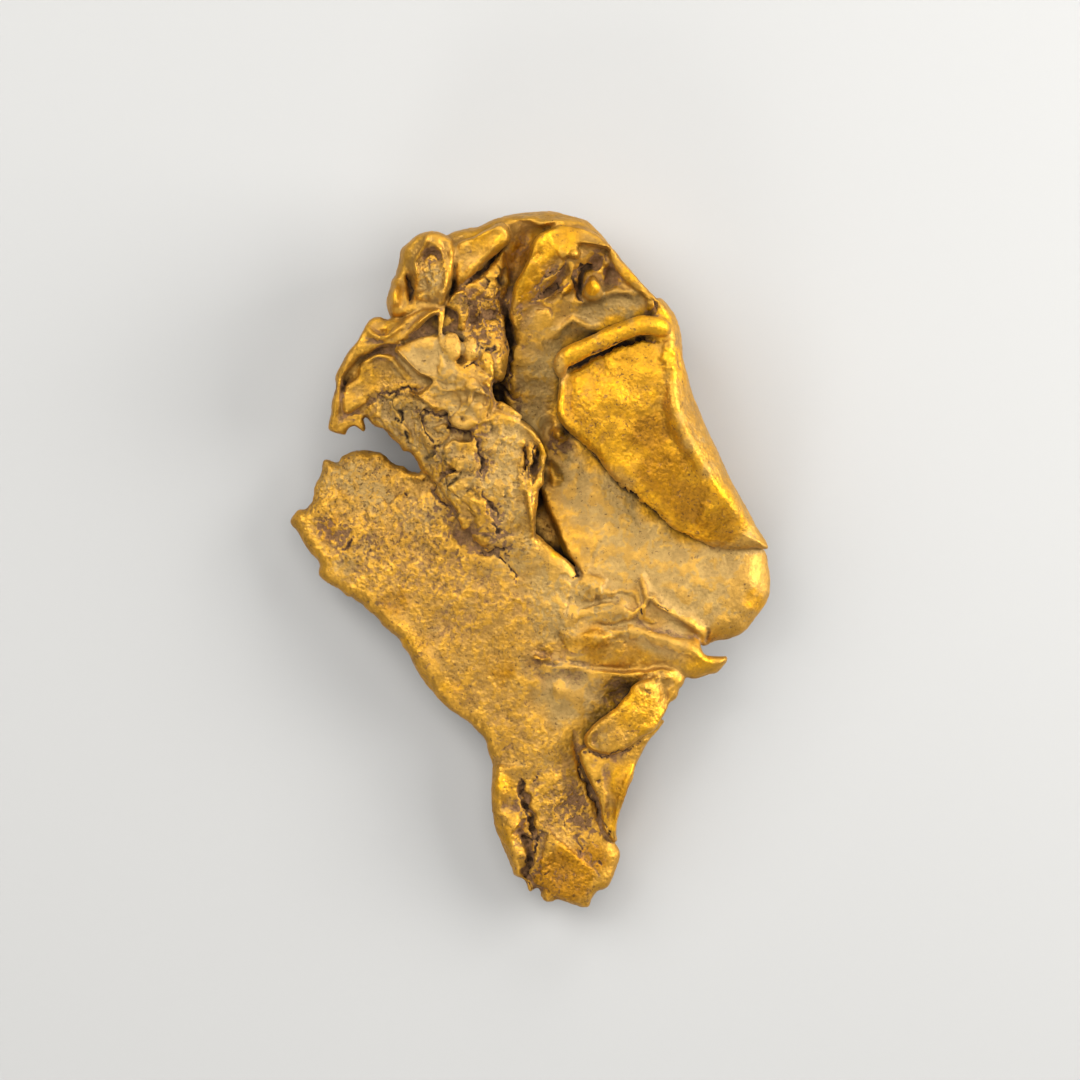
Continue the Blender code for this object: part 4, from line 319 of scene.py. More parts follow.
PAGE = dict(
    rim=[
        (-.35, 5.6, None, .1), (0, 5.35, None, .1), (.25, 5.1, None, .1), (.45, 4.75, None, .1),
        (.62, 4.35, None, .1), (.62, 3.95, None, .1), (.52, 3.4, None, .1), (.5, 3.05, None, .1),
        (.3, 2.85, None, .1), (.28, 2.5, None, .1), (.22, 1.9, None, .1), (.17, 1.3, None, .1),
        (.2, 1, None, .1), (.4, .7, 3.3, .2), (.3, .2, 3.2, .3), (-.6, -.2, 3.2, .3), (-1.6, .2, 3, .3),
        (-2.2, .8, 2.8, .3), (-2.6, 2, 3, .3), (-2.6, 3.5, 3, .3), (-2.5, 5, 3, .3), (-2.2, 6, 3, .3),
        (-1.6, 6.2, 3, .3), (-1, 5.9, None, .15)],
    face=[
        (.3, 4.3, 4.5), (.1, 2.5, 4.4), (-.2, 5.2, 4.6), (-1, 4.2, 4.5), (-1.5, 3, 4.5), (-.8, 1.8, 4.2),
        (-.5, .8, 3.95), (.2, .9, 3.85), (-.5, 0, 3.6), (-1.3, .3, 3.7), (.3, .3, 3.6), (-2.2, 3, 4.45),
        (-2, 5, 4.75), (.1, 1.4, 4.1), (-1.6, 1.8, 4.3), (-1.3, 1, 4.05)],
    thickness=1.9,
    rough=(.07, .8),
    marks=[
        ("ridge", .16, .2, [(-.4, 5.45), (0, 5.15), (.35, 4.7), (.55, 4.3), (.55, 3.8), (.42, 3.2)]),
        ("groove", .11, .5, [(.33, 4.7), (.27, 4.2), (.15, 3.7), (.1, 3.1)]),
        ("ridge", .14, .2, [(-.05, 4.75), (-.02, 4.2), (-.05, 3.6), (-.05, 3)]),
        ("groove", .12, .2, [(-.2, 4.7), (-.2, 4), (-.25, 3.3)]),
        ("ridge", .16, .15, [(-.3, 4.2), (-.4, 3.6), (-.35, 3)]),
        ("ridge", .2, .28, [(-.1, 2.8), (-.02, 2.1), (.08, 1.4), (.12, 1.1)]),
        ("groove", .08, .18, [(-2.05, 5), (-2, 4.4), (-1.9, 3.9), (-1.85, 3.5), (-1.95, 3.1)]),
        ("ledge", .3, .12, [(-1.3, 5.6), (-1.25, 4.9), (-1.6, 4.4), (-1.9, 4.3)]),
        ("ridge", .2, .1, [(-.9, 3.2), (-.7, 2.2), (-.9, 1.2)]),
    ],
)
TOP_LEAF = dict(
    rim=[
        (-4.9, 6.75), (-4.5, 6.65), (-4.1, 6.95), (-3.95, 7.15), (-4.5, 7.4), (-5, 7.9), (-5.4, 8.35),
        (-5.3, 8.6), (-4.9, 8.7), (-4.4, 8.9), (-3.7, 9), (-3.5, 8.2), (-2.9, 7.9), (-2, 7.6), (-1.55, 7.3),
        (-1.5, 6.8), (-1.4, 6.3), (-1.45, 5.8), (-1.5, 5.5), (-1.9, 5.4), (-2.3, 5.25), (-2.7, 5.2),
        (-3, 5.3), (-3.3, 5.6), (-3.35, 5.85), (-3.5, 5.9), (-3.9, 5.95), (-4.2, 6.25), (-4.6, 6.5)],
    face=[
        (-4.7, 8.5, 4.8), (-3.8, 8.6, 4.9), (-5.1, 8, 4.9), (-4.2, 7.4, 4.9), (-3.5, 7.3, 4.95),
        (-2.5, 7.3, 5.1), (-1.7, 7, 5.1), (-4.3, 6.6, 4.95), (-3.7, 6.2, 4.8), (-2.6, 6.5, 5), (-2.5, 5.5, 5),
        (-1.7, 5.8, 4.95), (-3.1, 5.6, 4.85), (-2.4, 7.8, 4.95)],
    thickness=1.3,
    rough=(.08, .7),
    marks=[
        ("ridge", .22, .3, [(-5.4, 8.35), (-5, 7.95), (-4.5, 7.5), (-4, 7.2)]),
        ("ridge", .25, .25, [(-4.75, 6.65), (-4.4, 6.45), (-4.1, 6.15), (-3.7, 6.05)]),
        ("ledge", .4, .2, [(-2.9, 5.85), (-2.6, 5.9), (-2.4, 6.2), (-2.3, 6.6), (-2.4, 7)]),
        ("ridge", .2, .25, [(-2.5, 6.9), (-2, 6.75), (-1.65, 6.4)]),
        ("lump", .15, -.3, [(-2.7, 5.6)]),
        ("ridge", .25, .25, [(-1.9, 7.3), (-1.6, 6.8), (-1.5, 6.2)]),
        ("lump", .35, .12, [(-2.2, 6.1), (-1.8, 5.9)]),
        ("ledge", .3, .12, [(-4.2, 7), (-3.4, 6.7), (-2.7, 6.75), (-2.2, 7.1)]),
        ("ridge", .12, .12, [(-3.6, 8.4), (-3.5, 7.8), (-3.7, 7.3)]),
    ],
)
MIDDLE_PLATE = dict(
    rim=[
        (-3.45, 4.6), (-3.1, 4.85), (-2.7, 4.8), (-2.25, 4.8), (-2.15, 4.5), (-2.15, 4.1), (-2, 3.9),
        (-2, 3.6), (-2.3, 3.4), (-2.9, 3.45), (-3, 3.6), (-3.3, 3.7), (-3.5, 4.1)],
    face=[(-3.2, 4.5, 4.6), (-2.4, 4.6, 4.75), (-2.5, 4, 4.7), (-3.2, 4, 4.55), (-2.3, 3.5, 4.55)],
    thickness=1.2,
    radius=.12,
    rough=(.15, .7),
)
CHIP = dict(
    rim=[
        (-4.25, 5.5), (-3.9, 5.42), (-3.35, 5.45), (-3.15, 5.1), (-3.3, 4.85), (-3.5, 4.6), (-3.65, 4.5),
        (-3.8, 4.9), (-4.1, 5.2)],
    face=[(-4.1, 5.4, 4.3), (-3.4, 5.2, 4.55), (-3.6, 4.7, 4.3)],
    thickness=.9,
    radius=.12,
    rough=(.12, .7),
)
LOW_PLATE = dict(
    rim=[
        (-3.8, 3.1), (-3.5, 3.4), (-3.3, 3.55), (-2.9, 3.5), (-2.4, 3.4), (-1.95, 3.4), (-1.9, 3),
        (-1.8, 2.7), (-1.6, 2.3), (-1.5, 1.9), (-1.35, 1.4), (-1.2, 1), (-1.1, .7), (-1.3, .6), (-1.5, .52),
        (-1.8, .5), (-2.1, .6), (-2.3, .8), (-2.5, 1.15), (-2.8, 1.2), (-2.9, 1.7), (-3.1, 2.1), (-3.5, 2.6)],
    face=[
        (-3.6, 3.1, 4), (-2.9, 3.3, 4.4), (-2.1, 3.2, 4.55), (-3, 2.4, 4.15), (-2.2, 2.2, 4.4),
        (-1.8, 1.5, 4.25), (-2.6, 1.5, 3.95), (-1.8, .8, 4), (-1.3, .8, 4)],
    thickness=1.3,
    rough=(.1, .7),
    marks=[
        ("groove", .15, .3, [(-1.9, 2.8), (-1.65, 2.3), (-1.55, 2.1)]),
        ("groove", .15, .35, [(-1.5, 1.4), (-1.3, 1.1), (-1.15, .8)]),
    ],
)
UNDER_LAYER = dict(
    rim=[
        (-4.4, 3.6), (-4.52, 3.94), (-4.68, 4.18), (-4.88, 4.38), (-5.08, 4.38), (-5.24, 4.62), (-5.4, 4.78),
        (-5.64, 4.98), (-5.76, 5.22), (-5.96, 5.34), (-6.2, 5.38), (-6.44, 5.58), (-6.56, 5.72), (-6.9, 5.85),
        (-7.2, 5.9), (-7, 6.3), (-6.3, 6.8), (-5, 7.2), (-4, 7), (-2.4, 6.2), (-2, 5.2), (-2.2, 4), (-2.7, 3),
        (-3.2, 2.2), (-3.7, 2.4), (-3.9, 2.8), (-4.1, 3.3)],
    face=[
        (-6.4, 6, 3.75), (-5.4, 6.2, 4.1), (-5.5, 5.2, 3.7), (-4.6, 5.5, 4.15), (-4.4, 4.2, 3.8),
        (-3.8, 4.5, 4.1), (-3.8, 3.5, 3.8), (-3.4, 2.6, 3.7), (-3, 5, 4.3), (-3.4, 5.8, 4.3),
        (-2.3, 5.1, 4.45)],
    thickness=1.2,
    radius=.2,
    rough=(.13, .7),
    marks=[
        ("ledge", .4, .2, [(-4.1, 6.4), (-4.5, 5.8), (-4.3, 5.2), (-4.1, 4.6), (-4, 3.9)]),
        ("ridge", .25, .15, [(-5.6, 6.3), (-5.2, 5.6), (-5, 4.8)]),
        ("groove", .2, .15, [(-5, 6.2), (-4.8, 5.4), (-4.5, 4.6)]),
    ],
)
CLAW_STRIP = dict(
    rim=[
        (-8.08, 5.22), (-8.08, 5.42), (-8, 5.82), (-7.96, 6.22), (-7.88, 6.62), (-7.8, 7.02), (-7.84, 7.26),
        (-7.8, 7.46), (-7.64, 7.74), (-7.4, 8.1), (-7.2, 8.38), (-6.92, 8.66), (-6.76, 8.94), (-6.64, 9.26),
        (-6.48, 9.62), (-5.96, 9.74), (-5.84, 9.66), (-5.6, 9.66), (-5.2, 9.65), (-4.8, 9.8), (-4.3, 10.05),
        (-3.6, 10.1), (-3.5, 9.9), (-3.9, 9.7), (-4.3, 9.4), (-4.7, 9.1), (-5, 8.75), (-5.5, 8.6), (-6, 8.5),
        (-6.4, 8.3), (-6.8, 8.1), (-7.1, 7.7), (-7.45, 7.3), (-7.5, 7), (-7.55, 6.6), (-7.5, 6.2),
        (-7.45, 5.85), (-7.1, 5.9), (-6.7, 5.9), (-6.6, 5.74), (-6.68, 5.7), (-6.64, 5.42), (-6.6, 5.14),
        (-6.76, 5.14), (-6.88, 5.26), (-7.04, 5.38), (-7.16, 5.34), (-7.32, 5.22), (-7.4, 5.02)],
    face=[
        (-7.8, 5.4, 3.6), (-7.8, 6.5, 3.9), (-7.6, 7.4, 4.1), (-7, 8.2, 4.3), (-6.5, 9.2, 4.6),
        (-6, 8.9, 4.6), (-5.4, 9.1, 4.7), (-4.6, 9.6, 4.8), (-3.8, 9.9, 5), (-6.8, 5.5, 3.5), (-6, 9.5, 4.35),
        (-5, 9.5, 4.5)],
    thickness=.7,
    rough=(.08, .8),
    marks=[
        ("ridge", .2, .35, [(-6.5, 9.35), (-6.3, 9), (-6, 8.87), (-5.7, 8.9), (-5.4, 9.1),
            (-5.1, 9.35), (-4.7, 9.75)]),
        ("ridge", .2, .3, [(-4.9, 8.9), (-4.5, 9.3), (-4.3, 9.55), (-3.9, 9.85), (-3.6, 9.85)]),
        ("groove", .18, .3, [(-6, 9.05), (-5.7, 9.07)]),
        ("ridge", .25, .25, [(-7.9, 5.4), (-7.75, 6.2), (-7.6, 7.1), (-7.3, 7.9), (-6.8, 8.5)]),
    ],
)
CLAW_TONGUE = dict(
    rim=[
        (-7.4, 7), (-7.1, 7.2), (-6.9, 7.4), (-6.8, 7.85), (-6.4, 8.1), (-6.05, 8.27), (-5.75, 8.25),
        (-5.4, 8.2), (-5.1, 7.9), (-4.7, 7.6), (-4.3, 7.35), (-4, 7.1), (-4.6, 6.9), (-5, 6.8), (-5.5, 6.75),
        (-6, 6.6), (-6.4, 6.3), (-6.8, 6.1), (-7.2, 5.9), (-7.45, 5.9), (-7.5, 6.5)],
    face=[
        (-7.2, 6.2, 4), (-7, 7, 4.05), (-6.6, 7.8, 4.25), (-6, 8.1, 4.35), (-5.4, 7.8, 4.35), (-6, 7.2, 4.05),
        (-5.2, 7.1, 4.15), (-4.5, 7, 4.3), (-6.2, 6.5, 4)],
    thickness=.6,
    radius=.12,
    rough=(.08, .9),
    marks=[
        ("ridge", .16, .22, [(-6.8, 7.8), (-6.4, 8.05), (-6.05, 8.2), (-5.75, 8.18), (-5.5, 7.95),
            (-5.1, 7.5), (-4.8, 7.25)]),
    ],
)
CLAW_BACK = dict(
    rim=[
        (-7.7, 5.6), (-7.6, 7.2), (-6.9, 8.3), (-6.3, 9.2), (-5, 9.5), (-3.6, 9.8), (-2.6, 9.4), (-1.9, 8.6),
        (-1.6, 7.6), (-2.4, 6.6), (-3.4, 6.3), (-5, 6.2), (-6.4, 6), (-7, 5.7)],
    face=[
        (-7.4, 6, 3.5), (-6.6, 8, 4), (-5, 8.4, 4.45), (-3.6, 8, 4.6), (-4.4, 6.8, 4.3), (-3.6, 9.4, 4.35),
        (-2.4, 8, 4.75), (-5.4, 9, 4.3), (-1.9, 7.5, 4.7)],
    thickness=1.4,
    rough=(.1, .7),
    radius=.3,
)
EAR = dict(
    rim=[
        (-5.72, 10.42), (-5.68, 10.02), (-5.6, 9.7), (-5.3, 9.6), (-4.9, 9.7), (-4.4, 9.8), (-3.6, 9.9),
        (-3.35, 10.2), (-3.2, 10.8), (-3.05, 11.4), (-2.98, 11.9), (-2.95, 12.4), (-3.05, 12.75),
        (-3.3, 12.95), (-3.6, 13.06), (-4, 13.14), (-4.48, 13.02), (-4.8, 12.78), (-5.12, 12.46),
        (-5.2, 12.22), (-5.24, 11.94), (-5.32, 11.62), (-5.44, 11.34), (-5.56, 11.22), (-5.56, 10.98),
        (-5.64, 10.74)],
    radius=.28,
    face=[
        (-4, 12.9, 5.1), (-4.5, 12.5, 5), (-5, 12, 4.6), (-4.05, 11.7, 4.95), (-3.9, 11, 5), (-3.2, 12, 5),
        (-4.7, 10.8, 4.4), (-5.3, 10.5, 4.5), (-4, 10.4, 4.85)],
    thickness=1.9,
    rough=(.1, .7),
    marks=[
        ("ridge", .13, .32, [(-4.05, 13), (-4.12, 12.7), (-4.35, 12.3), (-4.6, 11.85), (-4.5, 11.4),
            (-4.5, 10.95)]),
        ("ledge", .3, .25, [(-3.4, 10.3), (-3.32, 10.9), (-3.35, 11.5), (-3.5, 12.3), (-3.6, 12.6)]),
        ("ridge", .25, .25, [(-3.15, 12.6), (-3.1, 12), (-3.2, 11.3), (-3.32, 10.6)]),
        ("groove", .13, .4, [(-3.55, 11.95), (-3.7, 12.2), (-4, 12.3), (-4.25, 12.05)]),
        ("ridge", .2, .15, [(-3.55, 12.3), (-3.75, 12.55), (-4, 12.6)]),
        ("ledge", .3, .15, [(-3.4, 10.75), (-3.9, 10.8), (-4.3, 10.7)]),
        ("lump", .28, .3, [(-4, 10.5), (-3.6, 10.55), (-4.4, 10.5)]),
        ("ridge", .35, .5, [(-5.45, 11), (-5.4, 10.5), (-5.35, 10.05)]),
        ("groove", .18, .6, [(-4.85, 11.4), (-4.8, 10.9), (-4.75, 10.3)]),
    ],
)
LEDGE_BAR = dict(
    rim=[
        (-2.95, 12.62), (-2.3, 12.9), (-1.6, 13.25), (-1.2, 13.45), (-.95, 13.3), (-.8, 12.9), (-.88, 12.6),
        (-1.2, 12.35), (-1.6, 12), (-2, 11.5), (-2.4, 11.2), (-2.9, 10.9), (-3.05, 11.6)],
    face=[(-2.8, 12.3, 4.95), (-1.2, 13.1, 5.35), (-2.7, 11.3, 4.8), (-1.5, 12.3, 5.2)],
    thickness=1.2,
    rough=(.08, .9),
    radius=.2,
    marks=[
        ("ridge", .25, .15, [(-1.2, 12.7), (-1.8, 12.1), (-2.6, 11.4)]),
        ("ridge", .2, .15, [(-1.2, 13.3), (-1.7, 13.05), (-2.4, 12.7)]),
    ],
)
FLAKE = dict(
    rim=[
        (-3.4, 10.12), (-3.22, 10.48), (-2.98, 10.72), (-2.7, 10.8), (-2.5, 10.7), (-2.36, 10.42),
        (-2.32, 10.1), (-2.38, 9.75), (-2.5, 9.4), (-2.6, 9.1), (-2.85, 9.05), (-2.95, 9.3), (-2.9, 9.65),
        (-3.05, 9.9)],
    radius=.14,
    face=[
        (-3.25, 10.2, 4.95), (-2.9, 10.6, 5.15), (-2.6, 10.7, 5.15), (-2.38, 10.2, 5.05), (-2.8, 10.2, 4.95),
        (-2.7, 9.6, 4.85), (-2.7, 9.15, 4.6)],
    thickness=1.2,
    marks=[
        ("ridge", .16, .14, [(-3.3, 10.15), (-3.1, 10.5), (-2.8, 10.7), (-2.6, 10.66)]),
        ("ridge", .14, .14, [(-2.48, 10.55), (-2.42, 10.2), (-2.46, 9.8), (-2.6, 9.3)]),
        ("groove", .08, .2, [(-2.56, 10.6), (-2.58, 10.3), (-2.7, 10)]),
    ],
)
TENT_LEFT = dict(
    rim=[
        (.95, 13.25), (.5, 13.05), (.2, 12.8), (0, 12.45), (-.1, 12), (-.3, 11.6), (-.5, 11.2), (-.7, 10.7),
        (-.8, 10.2), (-.85, 9.8), (-.75, 9.35), (-.6, 9), (-.55, 8.4), (-.2, 8.5, 3, .4), (.1, 9.2, 3.3, .5),
        (.4, 10, 3.8, .6), (.7, 10.7, 4.1, .6), (1, 11.3, 4.3, .5), (1.3, 11.7, 4.4, .5),
        (1.6, 12.1, 4.6, .4), (1.7, 12.7, 4.7, .4), (1.5, 13.2, 4.7, .4)],
    face=[
        (.4, 12.6, 5.4), (1.2, 12.6, 5.1), (0, 11.8, 5.4), (-.5, 10.8, 5), (-.7, 9.9, 4.5), (.5, 11.3, 4.95),
        (-.5, 9, 3.8), (0, 10, 4.1), (-.4, 8.5, 3.2)],
    rough=(.07, .9),
    thickness=1.5,
    radius=.2,
    marks=[
        ("groove", .1, .3, [(.05, 11.9), (.25, 12.1), (.4, 12.25)]),
        ("ridge", .3, .12, [(.5, 12.8), (.2, 12.3), (.1, 11.7)]),
    ],
)
TENT_TOP = dict(
    rim=[
        (.9, 13.3), (1.5, 13.35), (2.2, 13.2), (2.9, 12.8), (3.25, 12.42), (3.2, 12.3), (2.7, 12.42),
        (2.2, 12.5), (1.9, 12.5), (2, 12.2), (1.8, 11.95), (1.5, 12.05), (1.3, 11.9), (1, 12.2), (.8, 12.8)],
    face=[(1.2, 13, 5.2), (2.5, 12.7, 5.3), (1.5, 12.2, 5.25)],
    thickness=1.0,
    rough=(.06, .8),
    marks=[
        ("ridge", .14, .15, [(1.85, 12.68), (2.3, 12.6), (2.7, 12.52), (3.2, 12.4)]),
        ("lump", .25, .2, [(1.7, 12.15)]),
    ],
)
TENT_RIGHT = dict(
    rim=[
        (3.2, 12.45), (3.6, 11.98), (4, 11.54), (4.4, 11.06), (4.8, 10.66), (4.98, 10.5), (4.95, 10.1),
        (4.8, 9.85), (4.5, 9.95), (4.5, 10.4), (4.15, 10.68), (3.68, 11.05), (3.32, 11.5), (3.05, 12.15)],
    face=[(3.4, 12.1, 5.1), (4.1, 11.3, 5.1), (4.8, 10.5, 5.2), (4.7, 10.1, 5.1)],
    thickness=1.2,
    rough=(.06, .8),
)
TENT_KNOB = dict(
    rim=[
        (2.08, 10.5), (2.12, 10.8), (2.25, 11.1), (2.4, 11.36), (2.55, 11.3), (2.7, 11.1), (2.86, 10.85),
        (2.9, 10.55), (2.75, 10.36), (2.4, 10.3)],
    radius=.12,
    face=[(2.44, 11.25, 5.1), (2.15, 10.6, 4.9), (2.5, 10.8, 5.3), (2.85, 10.6, 4.95), (2.5, 10.38, 4.95)],
    thickness=1.2,
    marks=[
        ("ridge", .16, .14, [(2.44, 11.25), (2.5, 10.85), (2.38, 10.4)]),
        ("groove", .1, .1, [(2.3, 11), (2.28, 10.6)]),
    ],
)
TAG = dict(
    rim=[
        (2.12, -7.02), (2.28, -6.78), (2.56, -6.46), (3.12, -6.06), (3.48, -5.78), (3.68, -5.5),
        (3.96, -5.26), (4.04, -5.02), (4.4, -4.78), (4.75, -4.68), (5, -4.5), (5.4, -4.5), (5.8, -4.5),
        (6.16, -4.66), (6.08, -4.94), (5.92, -5.14), (5.88, -5.42), (5.56, -5.7), (5.48, -5.94), (5.28, -6.3),
        (5.12, -6.58), (4.88, -6.82), (4.6, -6.98), (4.12, -7.3), (3.68, -7.62), (3.16, -7.78), (2.76, -7.7),
        (2.36, -7.54), (2.16, -7.34)],
    radius=.22,
    face=[
        (2.5, -7.1, 3.6), (3.3, -6.6, 3.75), (4.4, -5.8, 3.8), (5.2, -5, 3.6), (3.4, -7.4, 3.6),
        (4.8, -6.4, 3.6), (5.8, -5, 3.3)],
    thickness=.75,
    rough=(.08, .8),
    marks=[
        ("ridge", .25, .2, [(2.6, -6.6), (2.35, -6.9), (2.25, -7.2)]),
        ("groove", .14, .15, [(2.6, -6.85), (2.5, -7.2), (2.7, -7.5)]),
        ("lump", .2, .3, [(5, -4.6), (5.45, -4.6)]),
        ("groove", .2, .25, [(5.3, -4.9), (5.4, -5.4), (5.2, -5.9)]),
    ],
)
STEM_FACET = dict(
    rim=[
        (1.92, -7.66), (2.12, -8.38), (2.4, -8.98), (2.68, -9.58), (2.8, -10.18), (2.92, -10.78),
        (3.2, -11.18), (3.42, -11.3), (3.44, -10.82), (3.6, -10.06), (3.88, -9.18), (4.12, -8.66),
        (4.28, -8.1), (4.6, -7.42), (5, -6.94), (5.4, -6.42), (5.28, -6.3), (4.5, -6.6), (3, -7.2),
        (2.2, -7.4)],
    face=[
        (2.2, -7.8, 2.95), (3, -8.5, 3), (3.1, -10, 2.75), (3.9, -8.2, 2.95), (3.35, -11, 2.5),
        (4.8, -7, 2.9), (3.5, -9.4, 2.85)],
    thickness=1.0,
    rough=(.05, 1),
    marks=[
        ("groove", .3, .15, [(3, -8.3), (3.15, -9.4), (3.2, -10.6)]),
        ("ridge", .2, .2, [(4.1, -8.1), (3.8, -8.9), (3.5, -9.9), (3.35, -10.9)]),
        ("lump", .12, -.2, [(2.7, -8.85)]),
    ],
)
MIDDLE_FLAKE = dict(
    rim=[
        (1.85, -.95), (1.98, -.6), (2.3, -.47), (2.56, -.6), (2.92, -.78), (2.84, -1.1), (2.9, -1.34),
        (2.6, -1.46), (2.46, -1.7), (2.2, -1.62), (1.96, -1.82), (1.85, -1.5), (1.66, -1.2)],
    radius=.06,
    face=[
        (1.85, -1.1, 3.52), (2.35, -.6, 3.62), (2.8, -.9, 3.7), (2.3, -1.1, 3.6), (2.7, -1.4, 3.7),
        (2, -1.5, 3.5)],
    thickness=.5,
    marks=[("ridge", .1, .07, [(2.1, -1.6), (2.3, -1.2), (2.8, -1)])],
)
LOWER_FLAKE = dict(
    rim=[
        (1.95, -1.95), (2.5, -1.72), (3.2, -1.6), (3.75, -1.8), (4.1, -2.25), (3.6, -2.5), (3, -2.55),
        (2.4, -2.45), (1.9, -2.35)],
    radius=.07,
    face=[
        (2, -2.1, 3.54), (2.8, -1.8, 3.68), (3.4, -1.8, 3.7), (3.9, -2.25, 3.56), (3, -2.3, 3.56),
        (2.4, -2.3, 3.5)],
    thickness=.6,
    marks=[("ridge", .14, .08, [(2.2, -2.2), (2.9, -2), (3.7, -2.1)])],
)
SHEETS = [
    MAIN_LEAF, RIGHT_PLATE, BACK_FOLD, CROWN, ROUGH_MASS, FLAP, PAGE, TOP_LEAF, MIDDLE_PLATE, CHIP, LOW_PLATE,
    UNDER_LAYER, CLAW_STRIP, CLAW_TONGUE, CLAW_BACK, EAR, LEDGE_BAR, FLAKE, TENT_LEFT, TENT_TOP, TENT_RIGHT,
    TENT_KNOB, TAG, STEM_FACET, MIDDLE_FLAKE, LOWER_FLAKE]

# Rolled edges: points x, y, z and radius along each.
ROLLS = [
    [(1.2, 7.45, 4.85, .2), (1.17, 7.75, 5.1, .3), (1.3, 8, 5.25, .36), (1.9, 8.3, 5.4, .4),
     (2.9, 8.75, 5.45, .38), (3.8, 9.15, 5.5, .38), (4.5, 9.35, 5.5, .42), (5.15, 9.25, 5.35, .42)],
    [(-3.5, 10.05, 4.7, .1), (-3.57, 9.6, 4.85, .12), (-3.6, 9, 4.95, .12), (-3.55, 8.5, 4.9, .1)],
    [(-1.45, 6.3, 4.5, .1), (-1.05, 6.1, 4.55, .16), (-.7, 5.9, 4.6, .14), (-.4, 5.72, 4.5, .1)],
    [(-2.2, 8.9, 4.5, .15), (-1.9, 8.4, 4.8, .2), (-1.72, 7.9, 4.9, .2), (-1.6, 7.3, 4.9, .15)],
]

# Beads: centre, half sizes, turn in degrees.
BEADS = [
    ((-3.15, 8.5, 4.9), (.42, .6, .26), 8),
    ((-2.37, 8.4, 4.8), (.38, .5, .32), 0),
    ((-2.3, 7.55, 4.8), (.16, .2, .25), 0),
    ((-1.95, 7.75, 4.75), (.15, .22, .25), 20),
    ((-2.5, 7.7, 4.8), (.35, .2, .25), 20),
    ((.2, -3.85, 3.36), (.14, .12, .13), 0),
    ((.44, -3.95, 3.36), (.1, .1, .11), 0),
    ((.7, -3.9, 3.38), (.13, .09, .1), 20),
    ((1, -4.03, 3.36), (.1, .09, .1), 0),
]


class NuggetShape(bpy.types.PropertyGroup):
    """Size and fineness of the nugget"""

    length: FloatProperty(
        name="Length", description="Length from the crown to the end of the stem", default=0.028,
        min=0.005, unit="LENGTH")
    leaf_step: FloatProperty(
        name="Leaf step", description="Spacing of the points of each leaf, in form units",
        default=0.07, min=0.04)
    skin: FloatProperty(
        name="Skin", description="Voxel size of the skin over the leaves, in form units",
        default=0.07, min=0.04)
    swell: FloatProperty(
        name="Swell", description="Height of the soft swells, in form units", default=0.07, min=0)
    triangles: IntProperty(
        name="Triangles", description="Triangles that the finished skin keeps", default=194000, min=1000)
    worn: FloatProperty(
        name="Worn", description="How deep the lowest bumps of the back are worn level, in form units",
        default=0.2, min=0)


def colour_property(name, description, colour):
    return FloatVectorProperty(
        name=name, description=description, default=colour, subtype="COLOR", size=3, min=0, max=1)


def power_property(name, description, watts):
    return FloatProperty(name=name, description=description, default=watts, min=0, unit="POWER")


class NuggetFinish(bpy.types.PropertyGroup):
    """Colours and grain of the gold"""

    gold: colour_property("Gold", "Worn gold of most of the face", (0.44, 0.236, 0.04))
    # saturated gold of the folds, also laid as a painted highlight on the lit left ridge of the tent and on
    # convex edges
    rich_and_highlight: colour_property("Rich gold", "Deep gold of the folds and rubbed edges", (0.67, 0.325, 0.01))
    # browner gold laid as painted shade on shaded slopes: the middle of the flap, the foot of the stem and
    # the hollow under the crown
    amber_and_shade: colour_property("Amber", "Darker, browner gold of some slopes", (0.40, 0.176, 0.004))
    # pale gold of the flat plates, also laid as painted highlights on the flap's right flank and the fold tip
    pale: colour_property("Pale gold", "Pale, silvery gold of the flat plates", (0.43, 0.274, 0.083))
    stain: colour_property("Stain", "Purple-brown iron stain in the creases", (0.15, 0.075, 0.042))
    speck: colour_property("Specks", "Dark brown specks in the pits of the grain", (0.09, 0.04, 0.012))
    # near-black colour of the painted shade in the deepest hollows, open seams, cracks and crevices
    painted_shade_colour: colour_property("Deep", "Dark soil in the deepest hollows", (0.018, 0.009, 0.004))
    roughness: FloatProperty(
        name="Roughness", description="Roughness of clean gold", default=0.49, min=0, max=1)
    bump: FloatProperty(
        name="Bump", description="Height of the finest grain", default=0.00006, min=0, unit="LENGTH")


class StudioSettings(bpy.types.PropertyGroup):
    """Table, lights and camera"""

    floor: colour_property("Floor", "Colour of the table", (0.36, 0.355, 0.343))
    key: power_property("Key light", "Power of the key light", 0.18)
    fill: power_property("Fill light", "Power of the fill light", 0.19)
    top: power_property("Top light", "Power of the soft top light", 0.17)
    room: FloatProperty(
        name="Room light", description="Strength of the light from all round", default=0.2, min=0)
    lens: FloatProperty(
        name="Lens", description="Focal length of the camera, in millimetres", default=190, min=10)
    view: FloatProperty(
        name="View", description="Width of what the camera sees", default=0.0432, min=0.001, unit="LENGTH")


def curve_through(points, step, closed):
    """Rows of any length along a smooth curve through the points, about a step apart."""
    p = np.array(points, float)
    count = len(p)
    rows = []
    for i in range(count if closed else count - 1):
        a, b = p[i], p[(i + 1) % count]
        before = p[(i - 1) % count] if closed or i > 0 else a
        after = p[(i + 2) % count] if closed or i + 2 < count else b
        length = math.dist(a[:2], b[:2])
        leave = (b - before) * (0.8 * length / max(math.dist(before[:2], b[:2]), 1e-6))
        arrive = (after - a) * (0.8 * length / max(math.dist(a[:2], after[:2]), 1e-6))
        pieces = max(1, round(length / step))
        for k in range(pieces):
            t = k / pieces
            rows.append(
                ((2 * t - 3) * t * t + 1) * a + ((t - 2) * t + 1) * t * leave
                + (3 - 2 * t) * t * t * b + (t - 1) * t * t * arrive)
    if not closed:
        rows.append(p[-1])
    return np.array(rows)


